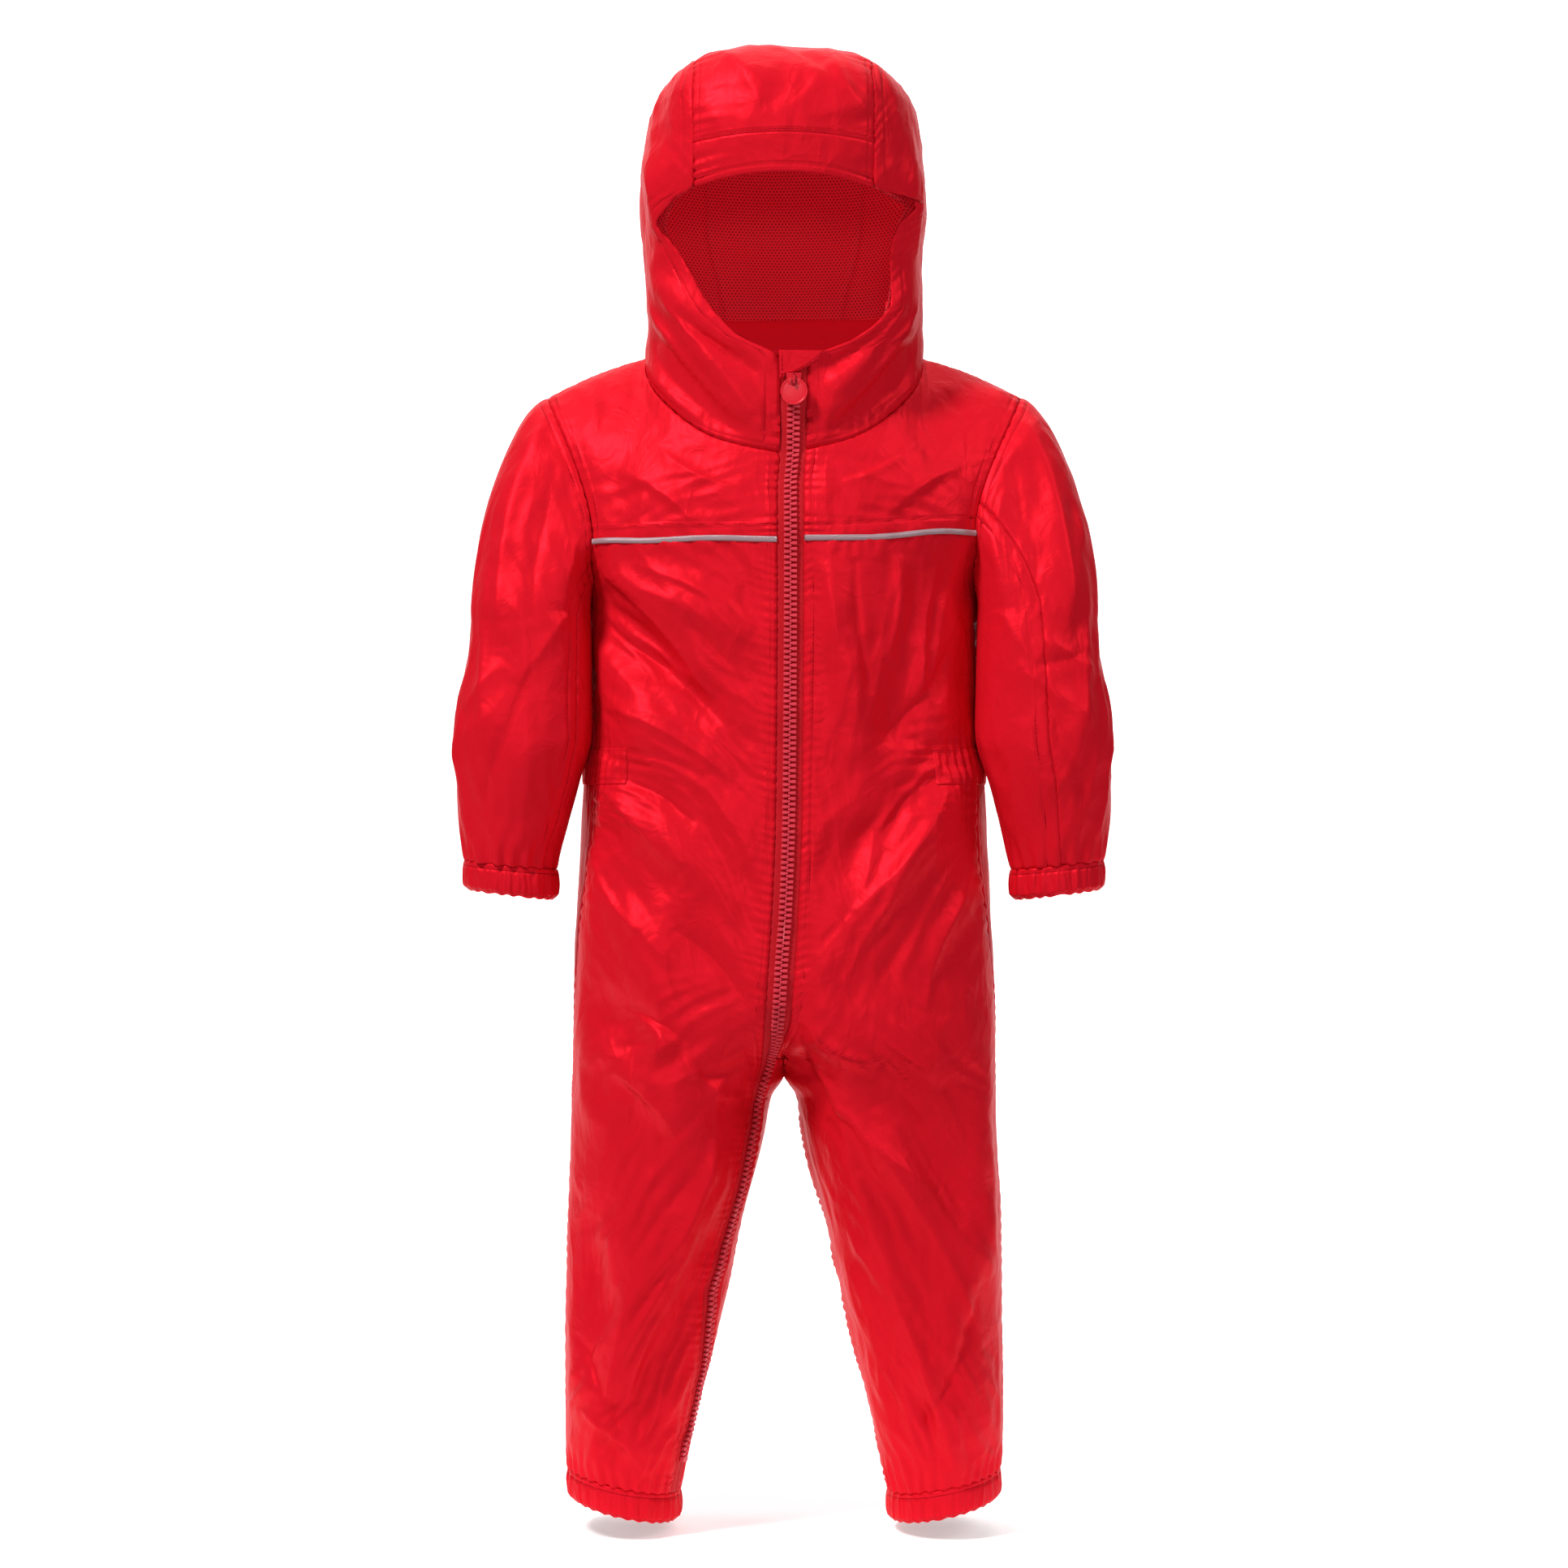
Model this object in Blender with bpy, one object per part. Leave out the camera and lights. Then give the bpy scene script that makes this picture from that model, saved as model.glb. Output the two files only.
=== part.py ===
"""A toddler's hooded one-piece rain suit, filled out as worn.

Coated cloth panels with sewn seams, a mesh-lined hood with a peak, a moulded zip from the chin down the
right leg, reflective piping on the chest, and elastic at the waist, wrists and ankles.

Metres, Z up from the shoulder line that carries the suit. The front faces -Y and the wearer's left is +X.
"""
import math

import bmesh
import bpy
import numpy as np
from mathutils import Vector

MM = 0.001
WALL = 1.5 * MM              # panel cloth with its seam allowances
MESH_WALL = 1.0 * MM         # hood lining and neck facing
SEAM = 0.3 * MM              # clear space between two pieces at a seam
LEFT, RIGHT = 1, -1

# Heights of the cut, from the shoulder line down.
YOKE_SEAM = -117 * MM
NECK_FRONT = -66 * MM
ARMPIT = -150 * MM
CROTCH_START = -372 * MM     # where the seat begins to curve under
FORK = -441 * MM
HEM_SEAM = -690 * MM
HEM_BOTTOM = -708 * MM
CUFF_SEAM = -312 * MM
CUFF_BOTTOM = -330 * MM
WAIST_TOP = -241 * MM
WAIST_BOTTOM = -264 * MM

# Hood.
HOOD_LEVEL = 40 * MM         # above this the hood's rings are level
CROWN_START = 150 * MM
CROWN_RISE = 42 * MM
CROWN_ROUNDNESS = 5.5
CROWN_SEAM = 53 * MM         # half the width of the centre panel
PEAK_CENTRE = 97 * MM
PEAK_CORNER = 90 * MM
PEAK_SHARE = 0.43            # of the way from the peak's edge to the crown
BACK_LEAN = 22 * MM          # how much lower the crown's back is than its front

# Zip, measured across from the middle of the teeth.
ZIP_HALF = 8.0 * MM
TAPE_OUTER = 7.3 * MM
TAPE_INNER = 0.4 * MM
CHAIN_HALF = 3.4 * MM
CHAIN_HEIGHT = 1.6 * MM
ZIP_BOTTOM = -672 * MM
ZIP_TOP = -8 * MM

SHOULDER_TIP = (145.5 * MM, 2 * MM, -25 * MM)
SHOULDER_ARCH = 2.5 * MM
YOKE_RISE = 6 * MM
NECK_CORNER = 2.0            # degrees, where the shoulder seam meets the neck seam
ARM_ANGLE = 36.4             # degrees before and behind the widest line, where the yoke meets the armhole
NECK_COLUMNS = 6
SHOULDER_COLUMNS = 3
FRONT_COLUMNS = NECK_COLUMNS + SHOULDER_COLUMNS
HOOD_BACK_COLUMNS = 5
BACK_NECK_COLUMNS = 7
BACK_COLUMNS = BACK_NECK_COLUMNS + SHOULDER_COLUMNS
UPPER_ROWS = 6
ARMPIT_ROWS = 4
ARM_CURVE = 0.7              # how quickly the armhole opens out above the armpit
RIDGE = 1.3 * MM             # extra room between the walls' inner edges where two panels meet at a ridge


class Table:
    """Sizes in named columns, read at any value of the first column through a smooth curve."""

    def __init__(self, columns, rows, plain=()):
        self.columns = columns.split()
        units = np.array([1.0 if name in plain else MM for name in self.columns])
        self.rows = np.array(sorted(rows), dtype=float) * units

    def at(self, column, key):
        keys = self.rows[:, 0]
        values = self.rows[:, self.columns.index(column)]
        run = np.diff(keys)
        slope = np.diff(values) / run
        same_way = slope[1:] * slope[:-1] > 0
        mean = 2 * slope[1:] * slope[:-1] / np.where(same_way, slope[1:] + slope[:-1], 1.0)
        tangent = np.concatenate([slope[:1], np.where(same_way, mean, 0.0), slope[-1:]])
        inside = np.clip(key, keys[0], keys[-1])
        step = np.clip(np.searchsorted(keys, inside, side="right") - 1, 0, len(run) - 1)
        share = (inside - keys[step]) / run[step]
        value = hermite(values[step], values[step + 1], tangent[step] * run[step],
                        tangent[step + 1] * run[step], share)
        beyond = np.where(key > inside, tangent[-1], tangent[0])
        return value + beyond * (key - inside)


def hermite(start, end, start_pull, end_pull, share):
    """Point on the curve from start to end that leaves and arrives along the two pulls."""
    square, cube = share ** 2, share ** 3
    return ((2 * cube - 3 * square + 1) * start + (cube - 2 * square + share) * start_pull
            + (3 * square - 2 * cube) * end + (cube - square) * end_pull)


# Level sections of the body and legs: the widest line lies at "middle", from which front and back are
# measured, and gap is half the space between the legs.
BODY = Table("height half_width gap middle front back squareness", [
    (-117, 138.4, 0, 12, 88, 60, 2.4),
    (-128, 131, 0, 12, 88, 60, 2.4),
    (-140, 123, 0, 12, 88, 60, 2.4),
    (-150, 120, 0, 12, 88, 60, 2.4),
    (-200, 121, 0, 12, 88, 60, 2.4),
    (-252, 122.5, 0, 12, 88, 57, 2.4),
    (-285, 124.5, 0, 11, 89, 64, 2.4),
    (-330, 127, 0, 9, 90, 74, 2.45),
    (-375, 129, 0, 6, 89, 80, 2.5),
    (-405, 129.7, 0, 4.5, 85, 81, 2.3),
    (-441, 130, 0, 3, 77.5, 78, 2.05),
    (-455, 130.4, 8, 2.5, 74.5, 75.5, 2.05),
    (-480, 131, 13, 2, 70, 72, 2.1),
    (-530, 133, 25.5, 1, 63, 66, 2.1),
    (-600, 134.5, 41, 1, 55, 58, 2.1),
    (-660, 134.5, 57, 2, 47, 50, 2.1),
    (-690, 133, 64, 2, 41, 44, 2.1),
], plain=("squareness",))

# The side seam's turn forward of the widest line.
SIDE_SEAM = Table("height degrees", [
    (-690, 0), (-520, 0), (-441, -3), (-400, -7), (-350, -16), (-296, -25), (-252, -22), (-200, -16),
    (-150, -10),
], plain=("degrees",))

# The zip's middle, seen from the front: down the body and then down the front of the right leg.
ZIP = Table("height across", [
    (-674, -63.5), (-661.6, -61.2), (-654, -57.8), (-638, -53.6), (-617.5, -49.6), (-595.7, -46.8),
    (-571.7, -43.6), (-554, -39.6), (-536, -33.8), (-518.5, -29.8), (-497, -25.4), (-478, -21.4),
    (-449, -14.1), (-429.6, -8.7), (-406, -4.2), (-378.5, -1.9), (-342, 0.5), (-279, 2.9),
    (-134, 3.9), (-86, 3.9), (-66, 5.3), (-20, 6.0), (-8, 6.5),
])

# Level sections of the hood, centred on the body's axis.
HOOD = Table("height half_width front back squareness", [
    (-66, 84.5, 70, 58, 2.3),
    (-30, 84.5, 73, 58, 2.35),
    (0, 85.3, 76, 60, 2.4),
    (20, 83.5, 77, 66, 2.45),
    (40, 83.8, 80, 76, 2.5),
    (70, 86, 88, 88, 2.5),
    (100, 87, 101, 97, 2.5),
    (130, 85, 104, 99, 2.5),
    (150, 81.5, 101, 96, 2.5),
], plain=("squareness",))

NECK_SEAM = Table("degrees height", [
    (-90, -66), (-64.5, -56), (-36.4, -35), (-9, -13), (2, -0.5), (15, 2), (45, 3), (90, 4),
], plain=("degrees",))

# Half the face opening's width on the wearer's right and left.
FACE = Table("height right left", [
    (-66, 2.7, 13.3), (-20, 2.1, 14.1), (-8, 4, 14.8), (-4, 10, 28), (3, 26, 42.5), (15, 38.3, 55.5),
    (27, 47.6, 61.4), (41, 55.4, 62.7), (58, 64.1, 63.5), (73, 70.9, 67.5), (86, 63.5, 74.5), (90, 53, 53),
])

# Half the centre panel's width down the back of the hood.
CROWN_BACK = Table("height half_width", [(4, 34), (40, 40), (80, 49), (120, 53), (150, 53)])

# Level sections of the left sleeve.
SLEEVE = Table("height across middle half_width half_depth", [
    (-165, 154, -24, 36.5, 43),
    (-200, 156.5, -29, 40, 43),
    (-235, 158, -31, 41.5, 42),
    (-260, 162, -30, 38, 39.5),
    (-285, 164.5, -27, 33.5, 35.5),
    (-312, 166.2, -26, 28.2, 30),
])

# Large folds: from one end to the other as seen from the front (or through, for the back), with the half
# width and the height of the ridge (a trough where negative).
FOLDS = Table("start_x start_z end_x end_z reach height", [
    (-112, -150, -30, -235, 13, -3.0),
    (-100, -135, -20, -175, 12, 2.5),
    (-108, -185, -40, -300, 14, 2.6),
    (-70, -250, -15, -345, 13, -2.2),
    (-112, -262, -30, -330, 14, 2.4),
    (-90, -325, -60, -450, 16, 2.4),
    (-118, -390, -75, -430, 15, -2.6),
    (-80, -430, -40, -500, 15, 2.4),
    (-55, -470, -118, -640, 16, 2.8),
    (-50, -540, -105, -668, 12, -2.4),
    (-124, -520, -112, -600, 14, -2.6),
    (30, -125, 45, -235, 13, 2.4),
    (85, -130, 60, -260, 13, -2.4),
    (102, -265, 25, -370, 14, 2.6),
    (100, -240, 35, -310, 12, -2.2),
    (12, -385, 62, -470, 14, 2.8),
    (20, -410, 105, -505, 15, -2.6),
    (40, -460, 118, -640, 17, 2.8),
    (72, -520, 100, -672, 13, -2.2),
    (122, -420, 116, -560, 14, 2.2),
])
BACK_FOLDS = Table("start_x start_z end_x end_z reach height", [
    (-105, -120, -25, -215, 15, 2.6),
    (105, -125, 30, -220, 15, 2.4),
    (-95, -272, -35, -345, 14, 2.6),
    (95, -272, 30, -355, 14, -2.4),
    (-20, -280, -70, -400, 15, -2.4),
    (15, -300, 75, -420, 15, 2.6),
    (-25, -420, -105, -520, 16, 2.8),
    (25, -425, 105, -515, 16, -2.6),
    (-60, -500, -115, -650, 15, 2.6),
    (60, -510, 112, -655, 15, 2.6),
])


# Large folds of the hood, above all the drape down both sides of the zip.
HOOD_FOLDS = Table("start_x start_z end_x end_z reach height", [
    (-80, 48, -16, -44, 10, 2.6),
    (-68, 22, -14, -30, 8, -2.2),
    (-84, 10, -30, -52, 9, -2.4),
    (80, 44, 22, -40, 10, 2.6),
    (70, 16, 24, -22, 8, -2.2),
    (84, 4, 36, -50, 9, -2.4),
    (-82, 120, -70, 60, 10, 2.0),
    (82, 130, 74, 62, 10, 2.0),
])


def power(value, exponent):
    return np.sign(value) * np.abs(value) ** exponent


def leg_split(height):
    """How far the body has divided into two legs: 0 above the seat and 1 from the fork down."""
    under = np.clip((CROTCH_START - height) / (CROTCH_START - FORK), 0.0, 1.0)
    return under ** 2 * (3 - 2 * under)


def level_turn(height):
    """Degrees from the widest line to the middle: 90 on the body, and 180 round a whole leg."""
    return 90.0 + np.degrees(np.arcsin(leg_split(height) ** (BODY.at("squareness", height) / 2)))


def section(share, height):
    """Point of the body's plain section: share runs from 0 at centre front to 1 at centre back."""
    side = np.where(share < 0, RIGHT, LEFT)
    turn = level_turn(height)
    angle = np.radians(turn * (2 * np.abs(share) - 1))
    bend = 2.0 / BODY.at("squareness", height)
    gap = np.maximum(BODY.at("gap", height), 0.0)
    half = (BODY.at("half_width", height) - gap) / (1 + leg_split(height))
    across = power(np.cos(angle), bend)
    depth = np.where(angle < 0, BODY.at("front", height), BODY.at("back", height))
    x = BODY.at("half_width", height) - half + half * across
    y = BODY.at("middle", height) + depth * power(np.sin(angle), bend)
    tilt = 7 * MM * np.clip((-620 * MM - height) / (70 * MM), 0.0, 1.0)
    return np.stack([side * x, y, height + tilt * across], axis=-1)


def neck_point(degrees):
    height = NECK_SEAM.at("height", degrees)
    return hood_ring(degrees, height, 1.0)


def hood_ring(degrees, height, shrink):
    """Point of a level ring of the left half of the hood, -90 at the front and 90 at the back."""
    angle = np.radians(degrees)
    bend = 2.0 / HOOD.at("squareness", height)
    depth = np.where(angle < 0, HOOD.at("front", height), HOOD.at("back", height))
    x = shrink * HOOD.at("half_width", height) * power(np.cos(angle), bend)
    y = shrink * depth * power(np.sin(angle), bend)
    rise = CROWN_RISE * (1 - shrink ** CROWN_ROUNDNESS)
    return leaned(np.stack([x, y, height + rise + 0 * x], axis=-1))


def leaned(points):
    """The hood's upper part, lowered towards its back."""
    x, y, z = np.moveaxis(points, -1, 0)
    above = np.clip((z - HOOD_LEVEL) / (120 * MM), 0.0, 1.0)
    behind = np.clip((y + 100 * MM) / (200 * MM), 0.0, 1.2)
    drop = BACK_LEAN * above ** 2 * (3 - 2 * above) * behind ** 1.5
    return np.stack([x, y, z - drop], axis=-1)


ARM_SHARE = 0.5 * (1 - ARM_ANGLE / 90)
NECK_SHARE = ARM_SHARE * NECK_COLUMNS / FRONT_COLUMNS
BACK_NECK_SHARE = ARM_SHARE * BACK_NECK_COLUMNS / BACK_COLUMNS
UPPER_SPAN = NECK_FRONT - YOKE_SEAM


def upper(share, height):
    """Point above the yoke seam, on columns that rise to the neck seam and the shoulder seam."""
    side = np.where(share < 0, RIGHT, LEFT)
    inward = np.minimum(np.abs(share), 1 - np.abs(share))
    front = np.abs(share) < 0.5
    neck_share = np.where(front, NECK_SHARE, BACK_NECK_SHARE)
    to_corner = np.clip(inward / neck_share, 0.0, 1.0)
    degrees = np.where(front, -90 + (90 + NECK_CORNER) * to_corner, 90 - (90 - NECK_CORNER) * to_corner)
    neck = neck_point(degrees)
    corner = neck_point(np.full_like(degrees, NECK_CORNER))
    along = np.clip((inward - neck_share) / (ARM_SHARE - neck_share), 0.0, 1.2)[..., None]
    arch = np.array([0, 0, SHOULDER_ARCH]) * np.sin(np.pi * along)
    top = np.where(along > 0, corner + (np.array(SHOULDER_TIP) - corner) * along + arch, neck)
    bottom = section(np.where(front, inward, 1 - inward), np.full_like(inward, YOKE_SEAM))
    over = np.clip(inward / ARM_SHARE, 0.0, 1.0)
    chord = np.linalg.norm(top - bottom, axis=-1)
    facing = np.where(front, 1.0, -1.0)
    level = np.zeros_like(over)
    up = np.stack([level, level, chord], axis=-1)
    turned = np.stack([level, facing * (0.1 + 0.9 * over) * chord, (1 - 0.85 * over) * chord], axis=-1)
    share_up = ((height - YOKE_SEAM) / UPPER_SPAN)[..., None]
    point = hermite(bottom, top, up, turned, share_up)
    return point * np.stack([side, np.ones_like(side), np.ones_like(side)], axis=-1)


def fold_height(points, table, facing):
    """How far the large folds on one face push the cloth out at the given points."""
    total = np.zeros(points.shape[:-1])
    x, z = points[..., 0], points[..., 2]
    for start_x, start_z, end_x, end_z, reach, height in table.rows:
        run_x, run_z = end_x - start_x, end_z - start_z
        share = ((x - start_x) * run_x + (z - start_z) * run_z) / (run_x ** 2 + run_z ** 2)
        share = np.clip(share, 0.0, 1.0)
        gone = np.hypot(x - start_x - share * run_x, z - start_z - share * run_z)
        taper = 0.35 + 0.65 * np.sin(np.pi * share)
        total += height * taper * np.exp(-(gone / reach) ** 2)
    return total * facing


def climbed(points):
    """Points near the yoke seam's left half, which climbs a little towards the armhole."""
    outward = np.clip((points[..., 0] - 20 * MM) / (100 * MM), 0.0, 1.0)
    near = np.exp(-((points[..., 2] - YOKE_SEAM) / (38 * MM)) ** 2)
    climb = YOKE_RISE * outward ** 2 * (3 - 2 * outward) * near
    return points + np.stack([0 * climb, 0 * climb, climb], axis=-1)


def plain_body(share, height):
    below = section(share, np.minimum(height, YOKE_SEAM))
    above = upper(share, np.maximum(height, YOKE_SEAM))
    return np.where((height > YOKE_SEAM)[..., None], above, below)


def normals_of(surface, first, second, step_first, step_second):
    """Outward normals of a surface from points close around each place."""
    along = surface(first + step_first, second) - surface(first - step_first, second)
    up = surface(first, second + step_second) - surface(first, second - step_second)
    normal = np.cross(along, up)
    return normal / np.maximum(np.linalg.norm(normal, axis=-1, keepdims=True), 1e-12)


def body_normal(share, height):
    safe = np.clip(np.abs(share), 0.004, 0.996) * np.where(share < 0, -1.0, 1.0)
    near = np.clip(height, None, NECK_FRONT - 1 * MM)
    return normals_of(plain_body, safe, near, 0.003, 1 * MM)


def folded_body(share, height):
    """Outer surface of the body and legs with its large folds, the yoke seam still level."""
    point = plain_body(share, height)
    facing = body_normal(share, height)
    forward = np.clip(-facing[..., 1] * 1.6, 0.0, 1.0)
    backward = np.clip(facing[..., 1] * 1.6, 0.0, 1.0)
    calm = np.clip((YOKE_SEAM - height) / (20 * MM), 0.0, 1.0)
    calm = calm * np.clip((height - HEM_SEAM) / (25 * MM), 0.0, 1.0)
    lift = fold_height(point, FOLDS, forward) + fold_height(point, BACK_FOLDS, backward)
    return point + facing * (lift * calm)[..., None]


def body(share, height):
    return climbed(folded_body(share, height))


def zip_share(height, offset):
    """Share of the section where a line at this offset from the zip's middle lies, measured on the cloth."""
    shares = np.linspace(-0.5, 0.5, 801)
    points = plain_body(shares, np.full_like(shares, height))
    steps = np.linalg.norm(np.diff(points, axis=0), axis=-1)
    between_legs = steps > 10 * MM
    length = np.concatenate([[0.0], np.cumsum(np.where(between_legs, 0.0, steps))])
    middle = np.interp(ZIP.at("across", height), points[:, 0], length)
    return float(np.interp(middle + offset, length, shares))


def side_share(height):
    level = np.maximum(height, HEM_SEAM)
    return 0.5 * (1 + SIDE_SEAM.at("degrees", level) / level_turn(level))


def arm_share(height, facing):
    """Edge of the front (facing -1) or back (facing 1) at one height: side seam or armhole."""
    seam = float(side_share(min(height, ARMPIT)))
    if height <= ARMPIT:
        return seam
    rise = min((height - ARMPIT) / (YOKE_SEAM - ARMPIT), 1.0)
    target = ARM_SHARE if facing < 0 else 1 - ARM_SHARE
    return seam + (target - seam) * rise ** ARM_CURVE


def clear_scene():
    for item in list(bpy.data.objects):
        bpy.data.objects.remove(item, do_unlink=True)


def material(name, color, roughness, metallic=0.0):
    made = bpy.data.materials.new(name)
    made.use_nodes = True
    shader = made.node_tree.nodes["Principled BSDF"]
    shader.inputs["Base Color"].default_value = (*color, 1.0)
    shader.inputs["Roughness"].default_value = roughness
    shader.inputs["Metallic"].default_value = metallic
    return made


CLOTH_RED = (0.62, 0.012, 0.03)
MESH_RED = (0.45, 0.01, 0.025)
TAPE_RED = (0.50, 0.012, 0.03)
TOOTH_RED = (0.55, 0.06, 0.09)
PULL_RED = (0.66, 0.02, 0.035)
PIPING_GREY = (0.38, 0.32, 0.35)


def add_object(name, shape, color, roughness, smooth_degrees=50.0):
    """One closed piece from a bmesh, with its own material and soft shading."""
    bmesh.ops.remove_doubles(shape, verts=shape.verts, dist=0.005 * MM)
    bmesh.ops.dissolve_degenerate(shape, edges=shape.edges, dist=0.004 * MM)
    bmesh.ops.recalc_face_normals(shape, faces=shape.faces)
    mesh = bpy.data.meshes.new(name)
    shape.to_mesh(mesh)
    shape.free()
    mesh.shade_smooth()
    mesh.set_sharp_from_angle(angle=math.radians(smooth_degrees))
    piece = bpy.data.objects.new(name, mesh)
    piece.data.materials.append(material(name, color, roughness))
    bpy.context.collection.objects.link(piece)
    return piece


def trimmed(points, edges, gap=SEAM / 2):
    """The same grid of points with the named edges drawn in by half a seam gap."""
    grid = points.copy()
    pairs = {"first": (0, 1), "last": (-1, -2)}
    for edge in edges:
        side, place = edge.split("_")
        outer, inner = pairs[place]
        rows = grid if side == "column" else grid.swapaxes(0, 1)
        away = rows[inner] - rows[outer]
        length = np.maximum(np.linalg.norm(away, axis=-1, keepdims=True), 1e-9)
        rows[outer] = rows[outer] + away / length * np.minimum(gap, 0.45 * length)
    return grid


def wall_shape(outer, inner, closed=False):
    """A closed wall between two grids of points, open or closed round its first direction."""
    shape = bmesh.new()
    columns, rows = outer.shape[:2]
    layers = []
    for grid in (outer, inner):
        layers.append([[shape.verts.new(Vector(grid[i, j])) for j in range(rows)] for i in range(columns)])
    spans = columns if closed else columns - 1

    def face(corners, short_way):
        first, second, third, fourth = corners
        if short_way:
            shape.faces.new((first, second, third))
            shape.faces.new((first, third, fourth))
        else:
            shape.faces.new((first, second, fourth))
            shape.faces.new((second, third, fourth))

    front, back = layers
    for i in range(spans):
        near = (i + 1) % columns
        for j in range(rows - 1):
            rising = np.linalg.norm(outer[i, j] - outer[near, j + 1])
            falling = np.linalg.norm(outer[near, j] - outer[i, j + 1])
            for layer in layers:
                corners = (layer[i][j], layer[near][j], layer[near][j + 1], layer[i][j + 1])
                face(corners, rising < falling)
        for j in (0, rows - 1):
            face((front[i][j], front[near][j], back[near][j], back[i][j]), True)
    if not closed:
        for i in (0, columns - 1):
            for j in range(rows - 1):
                face((front[i][j], front[i][j + 1], back[i][j + 1], back[i][j]), True)
    return shape


def cloth_piece(name, points, normals, wall=WALL, edges=(), ridge=(), raised=0.0, color=CLOTH_RED,
                gap=SEAM / 2):
    """A panel of cloth, its outer face on the points moved out by a height."""
    outer = trimmed(points + normals * raised, edges, gap)
    inner = trimmed(points + normals * (raised - wall), edges, gap)
    inner = trimmed(inner, ridge, RIDGE)
    return add_object(name, wall_shape(outer, inner), color, 0.42)


ALL_EDGES = ("column_first", "column_last", "row_first", "row_last")

LEG_ROWS = [-690, -672, -650, -625, -600, -570, -540, -510, -480, -455]
CROTCH_STEPS = (1.0, 0.93, 0.83, 0.7, 0.52, 0.3, 0.0)
TORSO_ROWS = [-348, -324, -302, -283, -264, -252.5, -241, -220, -198, -174]


def body_heights():
    """Heights of the panels' rows from the ankle seam to the yoke seam."""
    crotch = [CROTCH_START - (CROTCH_START - FORK) * step for step in CROTCH_STEPS]
    armpit = [ARMPIT + (YOKE_SEAM - ARMPIT) * step / ARMPIT_ROWS for step in range(ARMPIT_ROWS + 1)]
    return [row * MM for row in LEG_ROWS] + crotch + [row * MM for row in TORSO_ROWS] + armpit


def upper_heights():
    return [YOKE_SEAM + UPPER_SPAN * step / UPPER_ROWS for step in range(UPPER_ROWS + 1)]


HEIGHTS = body_heights()
INSET_TOP = HEIGHTS[len(LEG_ROWS) + 2]


def panel_grid(starts, ends, heights, columns):
    """Points and normals of a body panel between two edges given as shares for each height."""
    across = np.linspace(0.0, 1.0, columns + 1)[:, None]
    shares = np.array(starts)[None, :] * (1 - across) + np.array(ends)[None, :] * across
    levels = np.broadcast_to(np.array(heights)[None, :], shares.shape)
    return body(shares, levels), body_normal(shares, levels)


def front_start(side, height):
    """Where a front panel begins: at the zip, or at the centre and inside leg seam on the left leg."""
    if side == RIGHT:
        return zip_share(height, -ZIP_HALF)
    if height > INSET_TOP + 1 * MM:
        return zip_share(height, ZIP_HALF)
    return 0.0001


def build_fronts():
    for side, name in ((RIGHT, "front_right"), (LEFT, "front_left")):
        starts = [front_start(side, height) for height in HEIGHTS]
        ends = [side * arm_share(height, -1) for height in HEIGHTS]
        cloth_piece(name, *panel_grid(starts, ends, HEIGHTS, FRONT_COLUMNS), edges=ALL_EDGES)
    inset = [height for height in HEIGHTS if height <= INSET_TOP + 1 * MM]
    starts = [-0.0001 for height in inset]
    ends = [zip_share(height, ZIP_HALF) for height in inset]
    cloth_piece("leg_inset_right", *panel_grid(starts, ends, inset, 3), edges=ALL_EDGES)


def build_yokes():
    heights = upper_heights()
    for side, name in ((RIGHT, "yoke_right"), (LEFT, "yoke_left")):
        starts = [zip_share(height, side * ZIP_HALF) for height in heights]
        across = np.linspace(0.0, 1.0, NECK_COLUMNS + 1)[:, None]
        neck = np.array(starts)[None, :] * (1 - across) + side * NECK_SHARE * across
        beyond = np.linspace(NECK_SHARE, ARM_SHARE, SHOULDER_COLUMNS + 1)[1:, None]
        shoulder = np.broadcast_to(side * beyond, (SHOULDER_COLUMNS, len(heights)))
        shares = np.concatenate([neck, shoulder])
        levels = np.broadcast_to(np.array(heights)[None, :], shares.shape)
        cloth_piece(name, body(shares, levels), body_normal(shares, levels), edges=ALL_EDGES,
                    ridge=("row_last",))


def build_backs():
    heights = HEIGHTS + upper_heights()[1:]
    for side, name in ((RIGHT, "back_right"), (LEFT, "back_left")):
        starts = [side * arm_share(height, 1) for height in heights]
        ends = [side * 0.9999 for height in heights]
        cloth_piece(name, *panel_grid(starts, ends, heights, BACK_COLUMNS), edges=ALL_EDGES,
                    ridge=("row_last",))


def armhole(around, side):
    """Point of an armhole, as on the left: 0 at the armpit, 0.5 at the shoulder tip, 1 at the armpit."""
    front = around <= 0.5
    up = np.where(front, around, 1 - around)
    low = np.clip(up / 0.2, 0.0, 1.0)
    high = np.clip((up - 0.2) / 0.3, 0.0, 1.0)
    seam = float(side_share(ARMPIT))
    target = np.where(front, ARM_SHARE, 1 - ARM_SHARE)
    shares = seam + (target - seam) * low ** ARM_CURVE
    heights = ARMPIT + (YOKE_SEAM - ARMPIT) * low + UPPER_SPAN * high
    return mirrored(folded_body(side * shares, heights), side)


def sleeve_ring(around, height):
    angle = 2 * np.pi * around
    x = SLEEVE.at("across", height) - SLEEVE.at("half_width", height) * np.cos(angle)
    y = SLEEVE.at("middle", height) - SLEEVE.at("half_depth", height) * np.sin(angle)
    tilt = 3 * MM * np.clip((-270 * MM - height) / (40 * MM), 0.0, 1.0)
    return np.stack([x, y, height - tilt * np.cos(angle)], axis=-1)


SLEEVE_HEAD = -165 * MM
HEAD_SHARE = 0.4


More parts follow.
